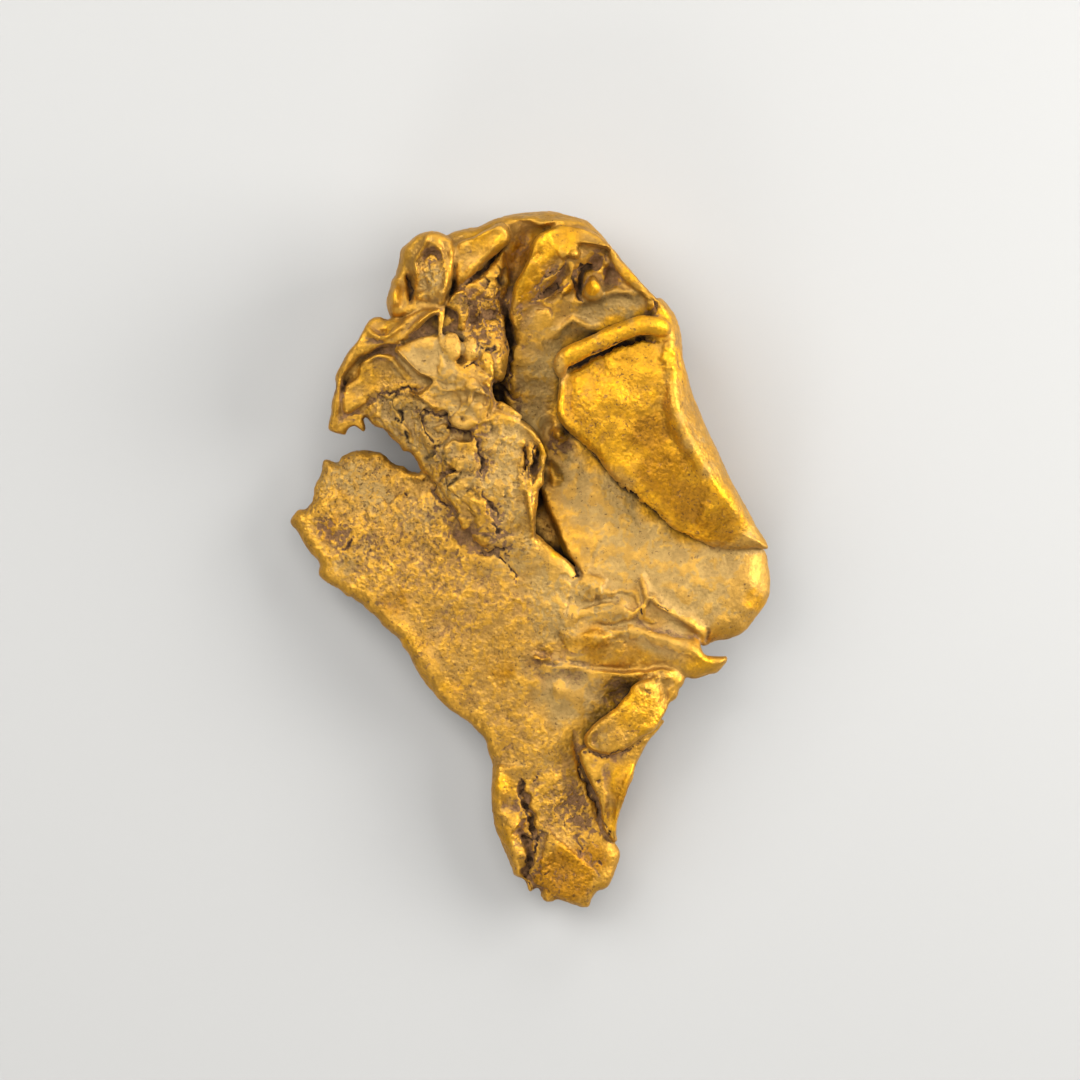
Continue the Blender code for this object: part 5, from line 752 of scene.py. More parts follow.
def nearest_on(path, xy, closed):
    """For each point: its distance to the path, the span it is nearest to, how far along, and which side."""
    start = path[:, :2]
    end = np.roll(start, -1, axis=0)
    if not closed:
        start, end = start[:-1], end[:-1]
    best = np.full(len(xy), np.inf)
    span = np.zeros(len(xy), int)
    along = np.zeros(len(xy))
    left = np.zeros(len(xy), bool)
    for i, (a, b) in enumerate(zip(start, end)):
        d = b - a
        t = np.clip(((xy - a) @ d) / max(d @ d, 1e-12), 0, 1)
        away = xy - a - t[:, None] * d
        gap = np.hypot(away[:, 0], away[:, 1])
        near = gap < best
        best[near], span[near], along[near] = gap[near], i, t[near]
        left[near] = (d[0] * away[:, 1] - d[1] * away[:, 0])[near] > 0
    return best, span, along, left


def within(path, xy):
    """Which points lie inside a closed path."""
    x, y = xy.T
    odd = np.zeros(len(xy), bool)
    for (ax, ay), (bx, by) in zip(path[:, :2], np.roll(path[:, :2], -1, axis=0)):
        if ay != by:
            odd ^= ((ay > y) != (by > y)) & (x < (bx - ax) * (y - ay) / (by - ay) + ax)
    return odd


def face_through(points):
    """The smooth face that passes through (x, y, z) points: a thin-plate spline."""
    p = np.array(points, float)
    count = len(p)

    def bend(xy):
        squared = ((xy[:, None, :] - p[None, :, :2])**2).sum(-1)
        return 0.5 * squared * np.log(np.maximum(squared, 1e-9))

    plane = np.hstack([np.ones((count, 1)), p[:, :2]])
    matrix = np.zeros((count + 3, count + 3))
    matrix[:count, :count] = bend(p[:, :2]) + 1e-3 * np.eye(count)
    matrix[:count, count:] = plane
    matrix[count:, :count] = plane.T
    weights = np.linalg.lstsq(matrix, np.append(p[:, 2], [0, 0, 0]), rcond=None)[0]

    def height(xy):
        return bend(xy) @ weights[:count] + weights[count] + xy @ weights[count + 1:]

    return height


def mark_height(mark, xy):
    """How much a mark raises the face. A ledge raises the left of its path and drops sharply to the right."""
    kind, width, height, path = mark
    path = np.array(path, float)
    raised = np.zeros(len(xy))
    if kind == "lump":
        for x, y in path:
            near = np.clip(((xy - (x, y))**2).sum(-1) / width**2, 0, 1)
            raised += height * (1 - near)**2
        return raised
    close = (xy > path.min(0) - width).all(1) & (xy < path.max(0) + width).all(1)
    gap, span, along, left = nearest_on(path, xy[close], closed=False)
    near = 1 - np.clip(gap / width, 0, 1)
    through = (span + along) / (len(path) - 1)
    taper = np.clip(4 * np.minimum(through, 1 - through) + 0.25, 0, 1)
    profile = near * near * (3 - 2 * near) * taper
    if kind == "ledge":
        profile *= np.where(left, 1, np.clip(1 - gap / LEDGE_DROP, 0, 1))
    raised[close] = (-height if kind == "groove" else height) * profile
    return raised


def roughness(size, xy, seed):
    """Natural unevenness of a face, between about -1 and 1."""
    return np.array([
        noise.noise((x, y, seed)) + 0.5 * noise.noise((2.1 * x, 2.1 * y, seed + 7)) for x, y in xy / size])


def rounded(gap, radius):
    """0 at the edge and 1 from the radius inwards, as a quarter circle."""
    t = 1 - np.clip(gap / np.maximum(radius, 1e-6), 0, 1)
    return np.sqrt(1 - t * t)


def sheet_mesh(sheet, seed, step):
    """A closed leaf of gold: points and faces."""
    face = face_through(sheet["face"])
    if "back" in sheet:
        under = face_through(sheet["back"])
    else:
        def under(xy):
            return face(xy) - sheet["thickness"]
    rim = []
    for x, y, *rest in sheet["rim"]:
        here = np.array([(x, y)], float)
        z = rest[0] if rest and rest[0] is not None else 0.5 * (face(here)[0] + under(here)[0])
        radius = rest[1] if len(rest) > 1 else sheet.get("radius", EDGE_RADIUS)
        rim.append((x, y, z, radius))
    rim = curve_through(rim, RIM_STEP, closed=True)
    low = rim[:, :2].min(0) - step
    count = np.ceil((rim[:, :2].max(0) + step - low) / step).astype(int) + 1
    grid = np.stack(np.meshgrid(np.arange(count[0]), np.arange(count[1]), indexing="ij"), -1)
    points = low + grid.reshape(-1, 2) * step
    cells = low + (grid[:-1, :-1].reshape(-1, 2) + 0.5) * step
    kept = within(rim, cells).reshape(count - 1)
    corners = np.zeros(count, int)
    for dx in (0, 1):
        for dy in (0, 1):
            corners[dx:count[0] - 1 + dx, dy:count[1] - 1 + dy] += kept
    used = np.flatnonzero(corners.ravel())
    border = corners.ravel()[used] < 4
    xy = points[used]
    gap, span, along, _ = nearest_on(rim, xy, closed=True)
    edge = rim[span] + (rim[(span + 1) % len(rim)] - rim[span]) * along[:, None]
    xy[border] = edge[border, :2]
    gap[border | ~within(rim, xy)] = 0
    top = face(xy) + sum((mark_height(mark, xy) for mark in sheet.get("marks", [])), np.zeros(len(xy)))
    blend = rounded(gap, edge[:, 3])
    low_side = under(xy)
    if "rough" in sheet:
        height, size = sheet["rough"]
        top += height * roughness(size, xy, seed)
        low_side += height * roughness(size, xy, seed + 50)
    low_side -= sum((mark_height(mark, xy) for mark in sheet.get("back_marks", [])), np.zeros(len(xy)))
    top = edge[:, 2] + (top - edge[:, 2]) * blend
    low_side = np.minimum(edge[:, 2] - (edge[:, 2] - low_side) * blend, top)
    inner = ~border
    index = np.full(len(points), -1)
    index[used] = np.arange(len(used))
    below = np.arange(len(used))
    below[inner] = len(used) + np.arange(inner.sum())
    i, j = np.nonzero(kept)
    quad = np.stack([index[(i + di) * count[1] + j + dj] for di, dj in ((0, 0), (1, 0), (1, 1), (0, 1))], -1)
    verts = np.vstack([np.column_stack([xy, top]), np.column_stack([xy, low_side])[inner]])
    return verts, np.vstack([quad, below[quad[:, ::-1]]]).tolist()


def roll_mesh(path):
    """A round roll with domed ends: points and faces."""
    rows = curve_through(path, ROLL_STEP, closed=False)
    ahead = np.gradient(rows[:, :3], axis=0)
    ahead /= np.linalg.norm(ahead, axis=1)[:, None]
    rings = [(rows[i, :3], ahead[i], rows[i, 3]) for i in range(len(rows))]
    for k in (0.35, 0.7, 0.97):
        for end, sign in ((0, -1), (-1, 1)):
            reach = rows[end, 3] * math.sin(k * math.pi / 2) * sign
            ring = (rows[end, :3] + ahead[end] * reach, ahead[end], rows[end, 3] * math.cos(k * math.pi / 2))
            rings = [ring] + rings if sign < 0 else rings + [ring]
    verts, faces = [], []
    for centre, forward, radius in rings:
        side = np.cross(forward, (0, 0, 1))
        side /= np.linalg.norm(side)
        high = np.cross(side, forward)
        for k in range(ROLL_SIDES):
            a = 2 * math.pi * k / ROLL_SIDES
            verts.append(centre + (side * math.cos(a) + high * math.sin(a)) * radius)
    for ring in range(len(rings) - 1):
        for k in range(ROLL_SIDES):
            a, b = ring * ROLL_SIDES + k, ring * ROLL_SIDES + (k + 1) % ROLL_SIDES
            faces.append((a, b, b + ROLL_SIDES, a + ROLL_SIDES))
    faces.append(tuple(reversed(range(ROLL_SIDES))))
    faces.append(tuple(range(len(verts) - ROLL_SIDES, len(verts))))
    return np.array(verts), faces


def joined(pieces, name):
    """One object of all the closed pieces, still overlapping."""
    verts, faces, start = [], [], 0
    for points, polygons in pieces:
        verts.append(points)
        faces += [tuple(k + start for k in polygon) for polygon in polygons]
        start += len(points)
    mesh = bpy.data.meshes.new(name)
    mesh.from_pydata(np.vstack(verts).tolist(), [], faces)
    shell = bmesh.new()
    shell.from_mesh(mesh)
    bmesh.ops.recalc_face_normals(shell, faces=shell.faces)
    shell.to_mesh(mesh)
    shell.free()
    obj = bpy.data.objects.new(name, mesh)
    bpy.context.scene.collection.objects.link(obj)
    return obj


def apply_modifier(obj, kind, **settings):
    """Adds a modifier with its settings and applies it."""
    modifier = obj.modifiers.new(kind.title(), kind)
    for name, value in settings.items():
        setattr(modifier, name, value)
    bpy.context.view_layer.objects.active = obj
    bpy.ops.object.modifier_apply(modifier=modifier.name)


def keep_main_body(obj):
    """Deletes what the skin left apart from the largest shell."""
    mesh = bmesh.new()
    mesh.from_mesh(obj.data)
    left = set(mesh.verts)
    shells = []
    while left:
        queue = [left.pop()]
        shell = set(queue)
        while queue:
            for edge in queue.pop().link_edges:
                for vert in edge.verts:
                    if vert not in shell:
                        shell.add(vert)
                        left.discard(vert)
                        queue.append(vert)
        shells.append(shell)
    shells.sort(key=len)
    for shell in shells[:-1]:
        bmesh.ops.delete(mesh, geom=list(shell), context="VERTS")
    mesh.to_mesh(obj.data)
    mesh.free()


def roughen(obj, height, size):
    """Swells and hollows of the whole skin, along its own normals."""
    mesh = obj.data
    places = np.empty(3 * len(mesh.vertices), np.float32)
    mesh.vertices.foreach_get("co", places)
    normals = np.empty_like(places)
    mesh.vertices.foreach_get("normal", normals)
    places, normals = places.reshape(-1, 3), normals.reshape(-1, 3)
    swell = [
        noise.noise((x, y, z)) + 0.5 * noise.noise((2.2 * x, 2.2 * y, 2.2 * z + 9))
        for x, y, z in (places / size).tolist()]
    places += normals * (np.array(swell, np.float32) * height)[:, None]
    mesh.vertices.foreach_set("co", places.ravel())
    mesh.update()


def wear_flat(obj, height):
    """Cuts the lowest bumps of the back level at this height and closes them: the spots it rests on."""
    mesh = bmesh.new()
    mesh.from_mesh(obj.data)
    bmesh.ops.bisect_plane(
        mesh, geom=mesh.verts[:] + mesh.edges[:] + mesh.faces[:], dist=1e-5,
        plane_co=(0, 0, height), plane_no=(0, 0, 1), clear_inner=True)
    loops = [edge for edge in mesh.edges if edge.is_boundary]
    bmesh.ops.triangle_fill(mesh, edges=loops, use_beauty=True, use_dissolve=False, normal=(0, 0, -1))
    bmesh.ops.recalc_face_normals(mesh, faces=mesh.faces)
    mesh.to_mesh(obj.data)
    mesh.free()


def drop_spare_points(obj):
    """Takes away each point that only joins two edges, so that its two faces meet in one straight edge."""
    mesh = bmesh.new()
    mesh.from_mesh(obj.data)
    bmesh.ops.dissolve_verts(mesh, verts=[vert for vert in mesh.verts if len(vert.link_edges) == 2])
    mesh.to_mesh(obj.data)
    mesh.free()


def centre_footprint(obj):
    """Moves the body so that its footprint is centred on the origin and it rests on z = 0."""
    points = np.array([vert.co[:] for vert in obj.data.vertices])
    low, high = points.min(0), points.max(0)
    shift = Vector((-(low[0] + high[0]) / 2, -(low[1] + high[1]) / 2, -low[2]))
    for vert in obj.data.vertices:
        vert.co += shift


# Patches of the surface: x, y and radius in form units, then strength.
STAIN_PATCHES = [
    (1.9, 6.4, .7, .4), (2.6, 5, .6, .35), (3.6, 6.2, 1.4, .2), (4, 3, .7, .3), (6, 1.4, .8, .25),
    (4.4, 9.3, .4, .3), (-.6, 11.4, .6, .35), (-.4, 12.5, .6, .45), (-.2, 13, .4, .3), (-.9, 10.2, .7, 1),
    (-1.6, 9.6, 1.1, .8), (-2.3, 10.6, .7, .6), (-1, 8.6, .7, 1), (-1.8, 8.6, .8, .6), (2, 11.2, .35, .9),
    (2.6, 11.9, .45, 1), (3.3, 11.4, .5, 1), (1, 11.4, .4, .7), (.4, 10.6, .5, .7), (1.3, 11, .35, .6),
    (-.2, 9.6, .35, .4), (-3.9, 12.1, .4, .9), (-3.8, 11.4, .5, .25), (-3.2, 9.5, .6, .8),
    (-4.3, 9.1, .6, .7), (-6.2, 8.5, .6, .8), (-5.6, 8.4, .5, .7), (-7.5, 6.7, .5, .8), (-7.2, 5.7, .5, .8),
    (-5.8, 6.3, .8, .25), (-5, 5.9, .8, .25), (-4.3, 5.6, .7, .2), (-4.9, 5, .6, .2), (-3.6, 4.2, .6, .3),
    (-2.8, 5, .7, .3), (-3.4, 3.6, .5, .3), (-1.9, 3.7, .5, 1), (-2, 5.1, .4, .8), (-1.5, 1.9, .5, .9),
    (-1.1, .7, .5, 1), (-2.2, .3, .8, .7), (-3.2, .8, .7, .7), (-3.6, 1.8, .6, .8), (-4.4, .5, .7, .5),
    (-1.1, 6.8, .7, .8), (-.6, 6.3, .6, .6), (.2, 3.9, .4, .8), (1.2, 4.7, .5, .7), (.3, 2.5, .4, .6),
    (-8.4, 3.6, .5, .4), (-9, 1.9, .4, .4), (-8.2, 1.3, .5, .9), (-7.6, 1, .6, .9), (-7.4, .4, .6, .6),
    (-6.6, .3, 1.2, .55), (-4.8, -.4, 1.2, .5), (-6.2, -1.6, .8, .5), (-4.4, 1.6, 1.2, .4),
    (-3, -2.4, 1.2, .45), (-3.2, -.6, 1.3, .5), (-1.8, -1.2, 1.1, .45), (-4.8, .8, 1, .4),
    (-.6, -1.6, .8, .4), (.8, -9.5, .9, .5), (-1.5, -9.8, .5, .7), (1.2, -8.4, .7, .5), (2.7, -12.2, .6, .6),
    (1.3, -13.2, .7, .5), (-.9, -11.6, .5, .6), (-4.4, -3.4, .8, .4), (-1.6, -7.6, .6, .5),
    (4.2, -9.9, .4, .5), (3.1, -8.6, .4, .6), (-2.4, .5, 1.1, .7), (-2.8, -5.4, 1, .4), (-1, -6.6, 1.2, .3),
    (.5, -4.2, .8, .5), (1.6, -4.3, .9, .5), (3.4, -5.3, .9, .5), (2.2, -7.2, .7, .5), (3, -7.9, .7, .6),
    (2, -9.6, 1.1, .62), (2.4, -10.6, 1, .62), (1.4, -10.2, .9, .5), (2.6, -11.4, .8, .65),
    (-.2, -9.6, .6, .9), (0, -11, .6, 1), (-.1, -12.1, .6, 1), (.2, -13.1, .5, .8), (-1.2, -7.4, .6, .5),
    (.9, -8.6, .8, .3), (6.9, -3, .5, .4), (5.4, -2.9, .6, .3), (4.4, -2, .5, .4), (4.9, 9.9, .4, .6),
    (2.6, 8.1, .9, .4), (5.7, 8.4, .5, .4),
]
# Pale gold of the plates; the first eleven patches, on the flap's right flank and the fold tip, are painted
# highlights.
PALE_AND_HIGHLIGHT_PATCHES = [
    (6.2, 4.6, .35, .8), (5.9, 5.6, .35, .7), (6.9, 3.6, .35, .7), (7.7, 2.6, .35, .7), (8.5, 1.7, .35, .7),
    (6.9, 5, .5, .5), (7.6, 3.7, .5, .5), (8.3, 2.5, .5, .5), (8.8, 1, .5, 1), (9.2, .4, .3, 1),
    (8.3, 1.7, .4, .8), (-7, 3, 1.5, .45), (-7.4, -.2, .7, .6), (-6, 2.2, .9, .4), (-3, -1.6, 1.2, .3),
    (-.4, -4.6, .8, .4), (-4.6, 5.4, .9, 1), (-5.4, 6, .8, .9), (-3.6, 4.6, .8, 1), (-2.9, 5.6, .8, .9),
    (-3, 3, .7, .7), (-2.4, 3.6, .7, .8), (5, -3.3, .5, .8), (-4.6, .6, 1, .3), (.2, -8, .9, .3),
    (-3.2, 8.5, .6, 1), (-2.4, 8.4, .5, .5), (-4.1, 8.3, .9, .9), (-5, 7.8, .5, .9), (-4.4, 7.4, .5, .8),
    (-3.4, 7.3, .9, .7), (-2.4, 6.6, .8, .5), (-1.1, 4.6, 1, .8), (-1, 3.2, .9, .8), (-.9, 2, .8, .7),
    (-.6, .4, 1.2, .7), (1.2, -1.4, 1.6, .8), (3, -1.8, 1.2, .9), (2.3, -2.8, 1, .5), (1.7, -5.2, 1.3, .9),
    (4.4, 1, 2.2, .9), (6.4, -.6, 2.2, .9), (8.3, -.8, 1.6, 1), (2.6, 2.6, 1.4, .9), (1.8, 4, .8, .6),
    (3, 9.9, 1.2, .9), (4.1, 10.1, .6, .8), (.2, 9.7, .7, .5), (2.3, -1.1, .6, .9), (3, -2.1, .7, .8),
    (1.3, -.9, .5, .6), (.6, 7.4, 1.2, .8), (.1, 5.8, .9, .7), (1.2, 8.8, .9, .6), (5.6, -3.1, .8, .8),
    (4.2, -2.7, .7, .7), (5, -7, .5, .7), (2.9, -7.2, .4, .6), (-3.9, 11.2, .5, 1), (-3.8, 10.6, .4, .8),
    (-1.2, 13.6, .5, .3), (.2, 13.8, .8, .4), (-6.6, 2.6, 1.6, .25), (-4, 2.2, .8, .4),
]
# Saturated gold of the folds, the flap and the roll; the patches on the tent's left ridge are painted
# highlights.
RICH_AND_HIGHLIGHT_PATCHES = [
    (2.5, 10.8, .3, 1), (1.5, 10.8, .2, .8), (-6.4, 7.3, .7, .6), (.4, 12.3, .6, 1), (0, 11.4, .5, .9),
    (-.3, 10.6, .4, .8), (4, -6.2, 1, .25), (2.4, 6.4, 1.5, 1), (4, 7.4, 1.6, 1), (3.4, 5, 1.5, 1),
    (4.6, 4.6, 1.5, 1), (5.6, 3, 1.5, 1), (6.8, 2, 1.4, 1), (8, 1.4, 1, .6), (8.9, .9, .7, .2),
    (5.6, 7.8, 1, .7), (2, 8.2, .8, 1), (3.4, 8.9, .8, 1), (4.8, 9.3, .8, 1), (.6, 12.6, .7, 1),
    (-.4, 11, .6, .8), (1.4, 12.8, .7, .7), (4, 11.4, .5, .8), (-1.8, 12.6, .9, .6), (-5.4, 9.2, .6, .6),
    (-5.3, 10.4, .4, .6), (-4.8, -3.6, .9, .5), (-3.2, -5.4, .9, .6), (4.2, -4, .8, .4), (6.8, -4.2, .8, .6),
    (4.2, -6, 1.3, .7), (3.9, -8.8, .8, .9), (3.4, -10.4, .6, .8), (1.6, -12.8, 1.2, .6),
    (-1.2, -9.2, .7, .7), (-1, -11, .6, .6), (.4, 2.2, .3, .8), (.5, 4.4, .3, .8), (1.1, .4, .5, .6),
    (9, -1.6, .7, .6),
]
# Painted shade: patches of browner gold on shaded slopes and in the hollow under the crown.
AMBER_AND_SHADE_PATCHES = [
    (1.8, 13, .6, .5), (-8.2, 1.2, .6, .5), (-7.6, 4.1, .6, .4), (-5.4, -1.6, .8, .5), (-1.2, -4.2, .8, .5),
    (4.8, 5.1, .8, .9), (5.3, 3.7, .9, .8), (6.3, 2.4, .9, .8), (7.6, 1.3, .8, .7), (2.2, 5.4, .7, .4),
    (1.5, -12.6, 1.1, 1), (2.6, -12, .7, .7), (3.7, -9.2, .6, .7), (3.2, -8.2, .5, .4), (-.4, 12.2, .45, 1),
    (-.7, 11.4, .35, .8), (2.6, -3.4, .9, .6), (3.8, -3.8, .8, .5), (-5, 11, .5, .5), (.4, -4, .7, .4),
    (-.6, -10.8, .5, .4),
]
COARSE_PATCHES = [
    (-1, 3.6, 1.7, .8), (-.6, 1, 1.4, .6), (-7, 2.4, 2.4, 1), (-5, .4, 2.4, .9), (-3.2, -2, 2.2, .7),
    (-4.6, -3.6, 1.4, .6), (-2, -4.6, 1.8, .6), (0, -7.6, 1.6, .6), (-.4, -2.8, 2, .6), (-1, -6.2, 1.4, .6),
    (2, -12.6, 1, .5), (.8, -10.4, 1.8, .9), (1.2, -12.8, 1.4, .9), (3.4, 6, 2.2, .6), (5.4, 3, 1.8, .6),
    (7.4, 1.6, 1.4, .5), (3.4, 8.6, .8, .6), (-5.2, 5.8, 1.4, .9), (-3.6, 3.6, 1.4, .8), (-1.8, 9.8, 1.4, .9),
    (-3.9, 11.4, .8, .7), (-6.3, 7.4, 1, .5), (4.2, -6, 1.4, .6),
]
CRUMPLED_PATCHES = [
    (-1, 4.6, .8, .5), (-.8, 2.6, .8, .5), (-1, 1, .8, .5), (2, -1.4, .8, .4), (3, -2, .7, .35),
    (1, -1.1, .7, .35), (1.9, -2.7, .8, .5), (3.5, -2.7, .7, .45), (-5.6, 6, 1, .9), (-4.6, 5.4, 1, 1),
    (-3.8, 4.6, .9, 1), (-3.4, 3.4, .8, .9), (-2.4, 2.4, .9, .9), (-1.9, 1.2, .6, .8), (-2.4, 6.4, 1, .9),
    (-1.8, 5.6, .8, .8), (-3.4, 7, .8, .5), (-1.8, 8.6, .8, .9), (-1.8, 10, .9, 1), (-1.4, 11.2, .7, .9),
    (-3.9, 11.4, .5, .6), (.9, 11, .7, .6), (2.9, 11.6, .4, .6), (-.2, 3.8, .5, .6), (5.5, 8, .5, .7),
    (-7, 3.2, 1.2, .4), (-5.8, 1.4, 1.4, .35), (.9, 4.6, .7, .6), (-5.4, 8.8, .6, .4), (-1.2, 7, .6, .8),
    (4.8, -5.2, .8, .5), (-.2, -10.4, .8, .5), (.2, -12.6, .8, .5),
]

# Cracks of the front, and lines of painted shadow cut like cracks: half width, then the points along each, in
# form units. The thinnest only stain.
CRACKS_AND_SHADOW_LINES = [
    (.076, [(-2.03, 4.5), (-1.95, 3.9), (-1.9, 3.45)]),
    (.06, [(-2.3, 4.9), (-2.15, 4.7), (-2.03, 4.4)]),
    (.051, [(-3.6, 3.54), (-3.3, 3.46), (-2.94, 3.5)]),
    (.06, [(-1.95, 2.85), (-1.63, 2.27), (-1.2, 1.7)]),
    (.093, [(-1.54, 1.53), (-1.35, 1.2), (-1.2, .96)]),
    (.051, [(-2.1, .3), (-1.8, .3), (-1.5, .45), (-1.2, .42), (-.85, .2)]),
    (.051, [(.22, 4.73), (.14, 4.3), (.1, 3.9), (.05, 3.1)]),
    (.043, [(-.2, 4.6), (-.18, 4), (-.25, 3.3)]),
    (.06, [(-4.35, 6), (-4.05, 5.85), (-3.4, 5.8), (-3.2, 5.25), (-2.35, 5.15)]),
    # painted shadow under the claw
    (.051, [(-6.5, 6.3), (-6.1, 6.58), (-5.5, 6.75), (-4.9, 6.85), (-4.25, 6.88)]),
    (.051, [(-4.5, 6.04), (-4.1, 4.9), (-3.65, 4.35)]),
    # painted shadow along the left edge of the low plate
    (.06, [(-3.9, 3.1), (-3.9, 2.7), (-3.55, 2.35), (-3.1, 1.86)]),
    (.06, [(-4.86, 11.3), (-4.8, 10.8), (-4.75, 10.3)]),
    # painted shadow under the ledge bar
    (.06, [(-2.75, 10.9), (-2.2, 11.25), (-1.7, 11.8), (-1.2, 12.2)]),
    (.076, [(-1.1, 9.2), (-.9, 8.6), (-.8, 8), (-.85, 7.4)]),
    # painted shade in the hole beside the top leaf
    (.102, [(-1.45, 7.1), (-1.1, 6.9), (-.75, 6.5)]),
    (.051, [(-2.6, 7.7), (-2.3, 7.85), (-2, 7.7)]),
    (.035, [(1.5, 11.95), (1.13, 11.6), (.6, 11.15), (.05, 10.84)]),
    (.035, [(1.13, 11.15), (.9, 10.84), (.43, 10.6), (0, 10.3)]),
    (.03, [(.75, 10.06), (.86, 9.75)]),
    (.111, [(2.4, 11.75), (2, 11.78), (1.8, 11.5), (1.74, 11.15), (1.84, 10.65), (2.1, 10.4)]),
    (.051, [(4.95, 10.45), (4.95, 10)]),
    # painted shadow under the roll
    (.076, [(1.5, 7.55), (2.3, 8.05), (3.1, 8.43), (4.2, 8.75), (5, 8.75)]),
    (.02, [(4.25, -2.48), (5.3, -2.88), (6.1, -3.03), (6.9, -3.23)]),
    (.04, [(-1.3, .2), (-.9, -.2), (-.6, -.55), (-.5, -.9)]),
    (.043, [(4.35, -1.9), (4.4, -2.3)]),
    (.034, [(5.05, -1.78), (5.5, -2.02)]),
    (.068, [(1.72, -.26), (1.85, -.5), (1.75, -.75)]),
    (.085, [(-.34, -8.8), (-.36, -9.4), (-.3, -9.8), (-.07, -10.3), (.1, -11)]),
    (.085, [(.2, -11.3), (-.05, -12), (-.22, -12.6), (0, -13.2)]),
    (.05, [(.3, -11.05), (0, -11.2), (-.25, -11.15)]),
    (.12, [(-.42, -8.9), (-.36, -9.1)]),
    (.1, [(-.05, -10.2), (.02, -10.45)]),
    (.13, [(-.24, -11.1), (-.16, -11.25)]),
    (.09, [(.28, -11), (.33, -11.2)]),
    (.11, [(-.1, -11.9), (.1, -12.1)]),
    (.1, [(-.26, -12.6), (-.12, -12.75)]),
    (.02, [(1.4, -9.5), (2, -9.35), (2.5, -9.5)]),
    (.025, [(1.3, -9.8), (2, -9.7), (2.6, -9.9)]),
    (.02, [(1.4, -10.2), (2, -10.15)]),
    (.02, [(1.5, -10.5), (2.1, -10.45)]),
    (.035, [(1.9, -11), (2, -11.8)]),
    (.03, [(2.3, -11.1), (2.9, -10.8)]),
    (.03, [(2.5, -10.2), (2.8, -10.9)]),
    (.02, [(-1.3, -9.8), (-.7, -9.9)]),
    (.02, [(.3, -8.9), (.4, -9.1)]),
    (.051, [(.1, -8.8), (.3, -8.55), (.42, -8.6)]),
    (.045, [(1.9, -7.6), (1.92, -8.3), (2.27, -9.1), (2.7, -10.1), (3.2, -11)]),
    (.035, [(2.15, -7.62), (2.9, -7.82), (3.8, -7.6), (4.35, -7.3)]),
    (.076, [(2.66, -8.82), (2.74, -8.86)]),
    (.085, [(2.78, -12.1), (2.86, -12.16)]),
    (.068, [(.52, -12.6), (.62, -12.64)]),
    (.068, [(-5, 2.6), (-4.88, 2.57)]),
    (.051, [(-7.1, .95), (-7.3, .7), (-7.6, .45)]),
]


def crack_and_shadow_weight(cracks, places, normals):
    """Above a half in the open cracks and shadow lines of the front, and below it on the gold beside them:
    stain beside the cracks, painted shadow beside the shadow lines.
    """
    weight = np.zeros(len(places))
    x, y = places[:, 0], places[:, 1]
    bent = np.column_stack([
        x + 0.06 * np.sin(7.3 * y + 1.3) + 0.03 * np.sin(19 * y + 5 * x),
        y + 0.06 * np.sin(6.7 * x + 0.4) + 0.03 * np.sin(23 * x - 4 * y)])
    for half, path in cracks:
        path = np.array(path, float)
        near = (bent > path.min(0) - 0.5).all(1) & (bent < path.max(0) + 0.5).all(1) & (normals[:, 2] > 0.1)
        if not near.any():
            continue
        gap, span, along, _ = nearest_on(path, bent[near], closed=False)
        reach = half * (0.35 + 0.65 * np.sin(math.pi * (span + along) / (len(path) - 1)))
        core = np.clip(1.5 * (1 - gap / (1.2 * reach)), 0, 1) * (half > STAIN_ONLY)
        beside = np.clip(1 - gap / (0.12 + 2.5 * reach), 0, 1)
        weight[near] = np.maximum(weight[near], np.where(core > 0, 0.5 + 0.5 * core, 0.5 * beside))
    return weight


def patch_weight(patches, xy):
    """Strength of the patches at each point: full in the middle of each, none beyond 1.5 times its radius."""
    weight = np.zeros(len(xy))
    for x, y, radius, strength in patches:
        gap = np.hypot(xy[:, 0] - x, xy[:, 1] - y) / (1.5 * radius)
        weight = np.maximum(weight, strength * np.clip(1.6 * (1 - gap), 0, 1))
    return weight


def mesh_arrays(mesh):
    """Places, normals and edge ends of a mesh."""
    places = np.empty(3 * len(mesh.vertices), np.float32)
    mesh.vertices.foreach_get("co", places)
    normals = np.empty(3 * len(mesh.vertices), np.float32)
    mesh.vertices.foreach_get("normal", normals)
    ends = np.empty(2 * len(mesh.edges), np.int32)
    mesh.edges.foreach_get("vertices", ends)
    return places.reshape(-1, 3).astype(float), normals.reshape(-1, 3).astype(float), ends.reshape(-1, 2)


def store(mesh, values):
    """Keeps named values of each point as attributes for the material."""
    for name, value in values.items():
        layer = mesh.attributes.new(name, "FLOAT", "POINT")
        layer.data.foreach_set("value", value.astype(np.float32))


def smoothed(values, ends, rounds):
    """Each column averaged with its neighbours along the edges, this many times."""
    count = len(values)
    a, b = ends.T
    degree = np.bincount(a, minlength=count) + np.bincount(b, minlength=count)
    columns = []
    for column in values.T:
        for _ in range(rounds):
            total = np.bincount(a, column[b], count) + np.bincount(b, column[a], count)
            column = 0.4 * column + 0.6 * total / np.maximum(degree, 1)
        columns.append(column)
    return np.stack(columns, -1)


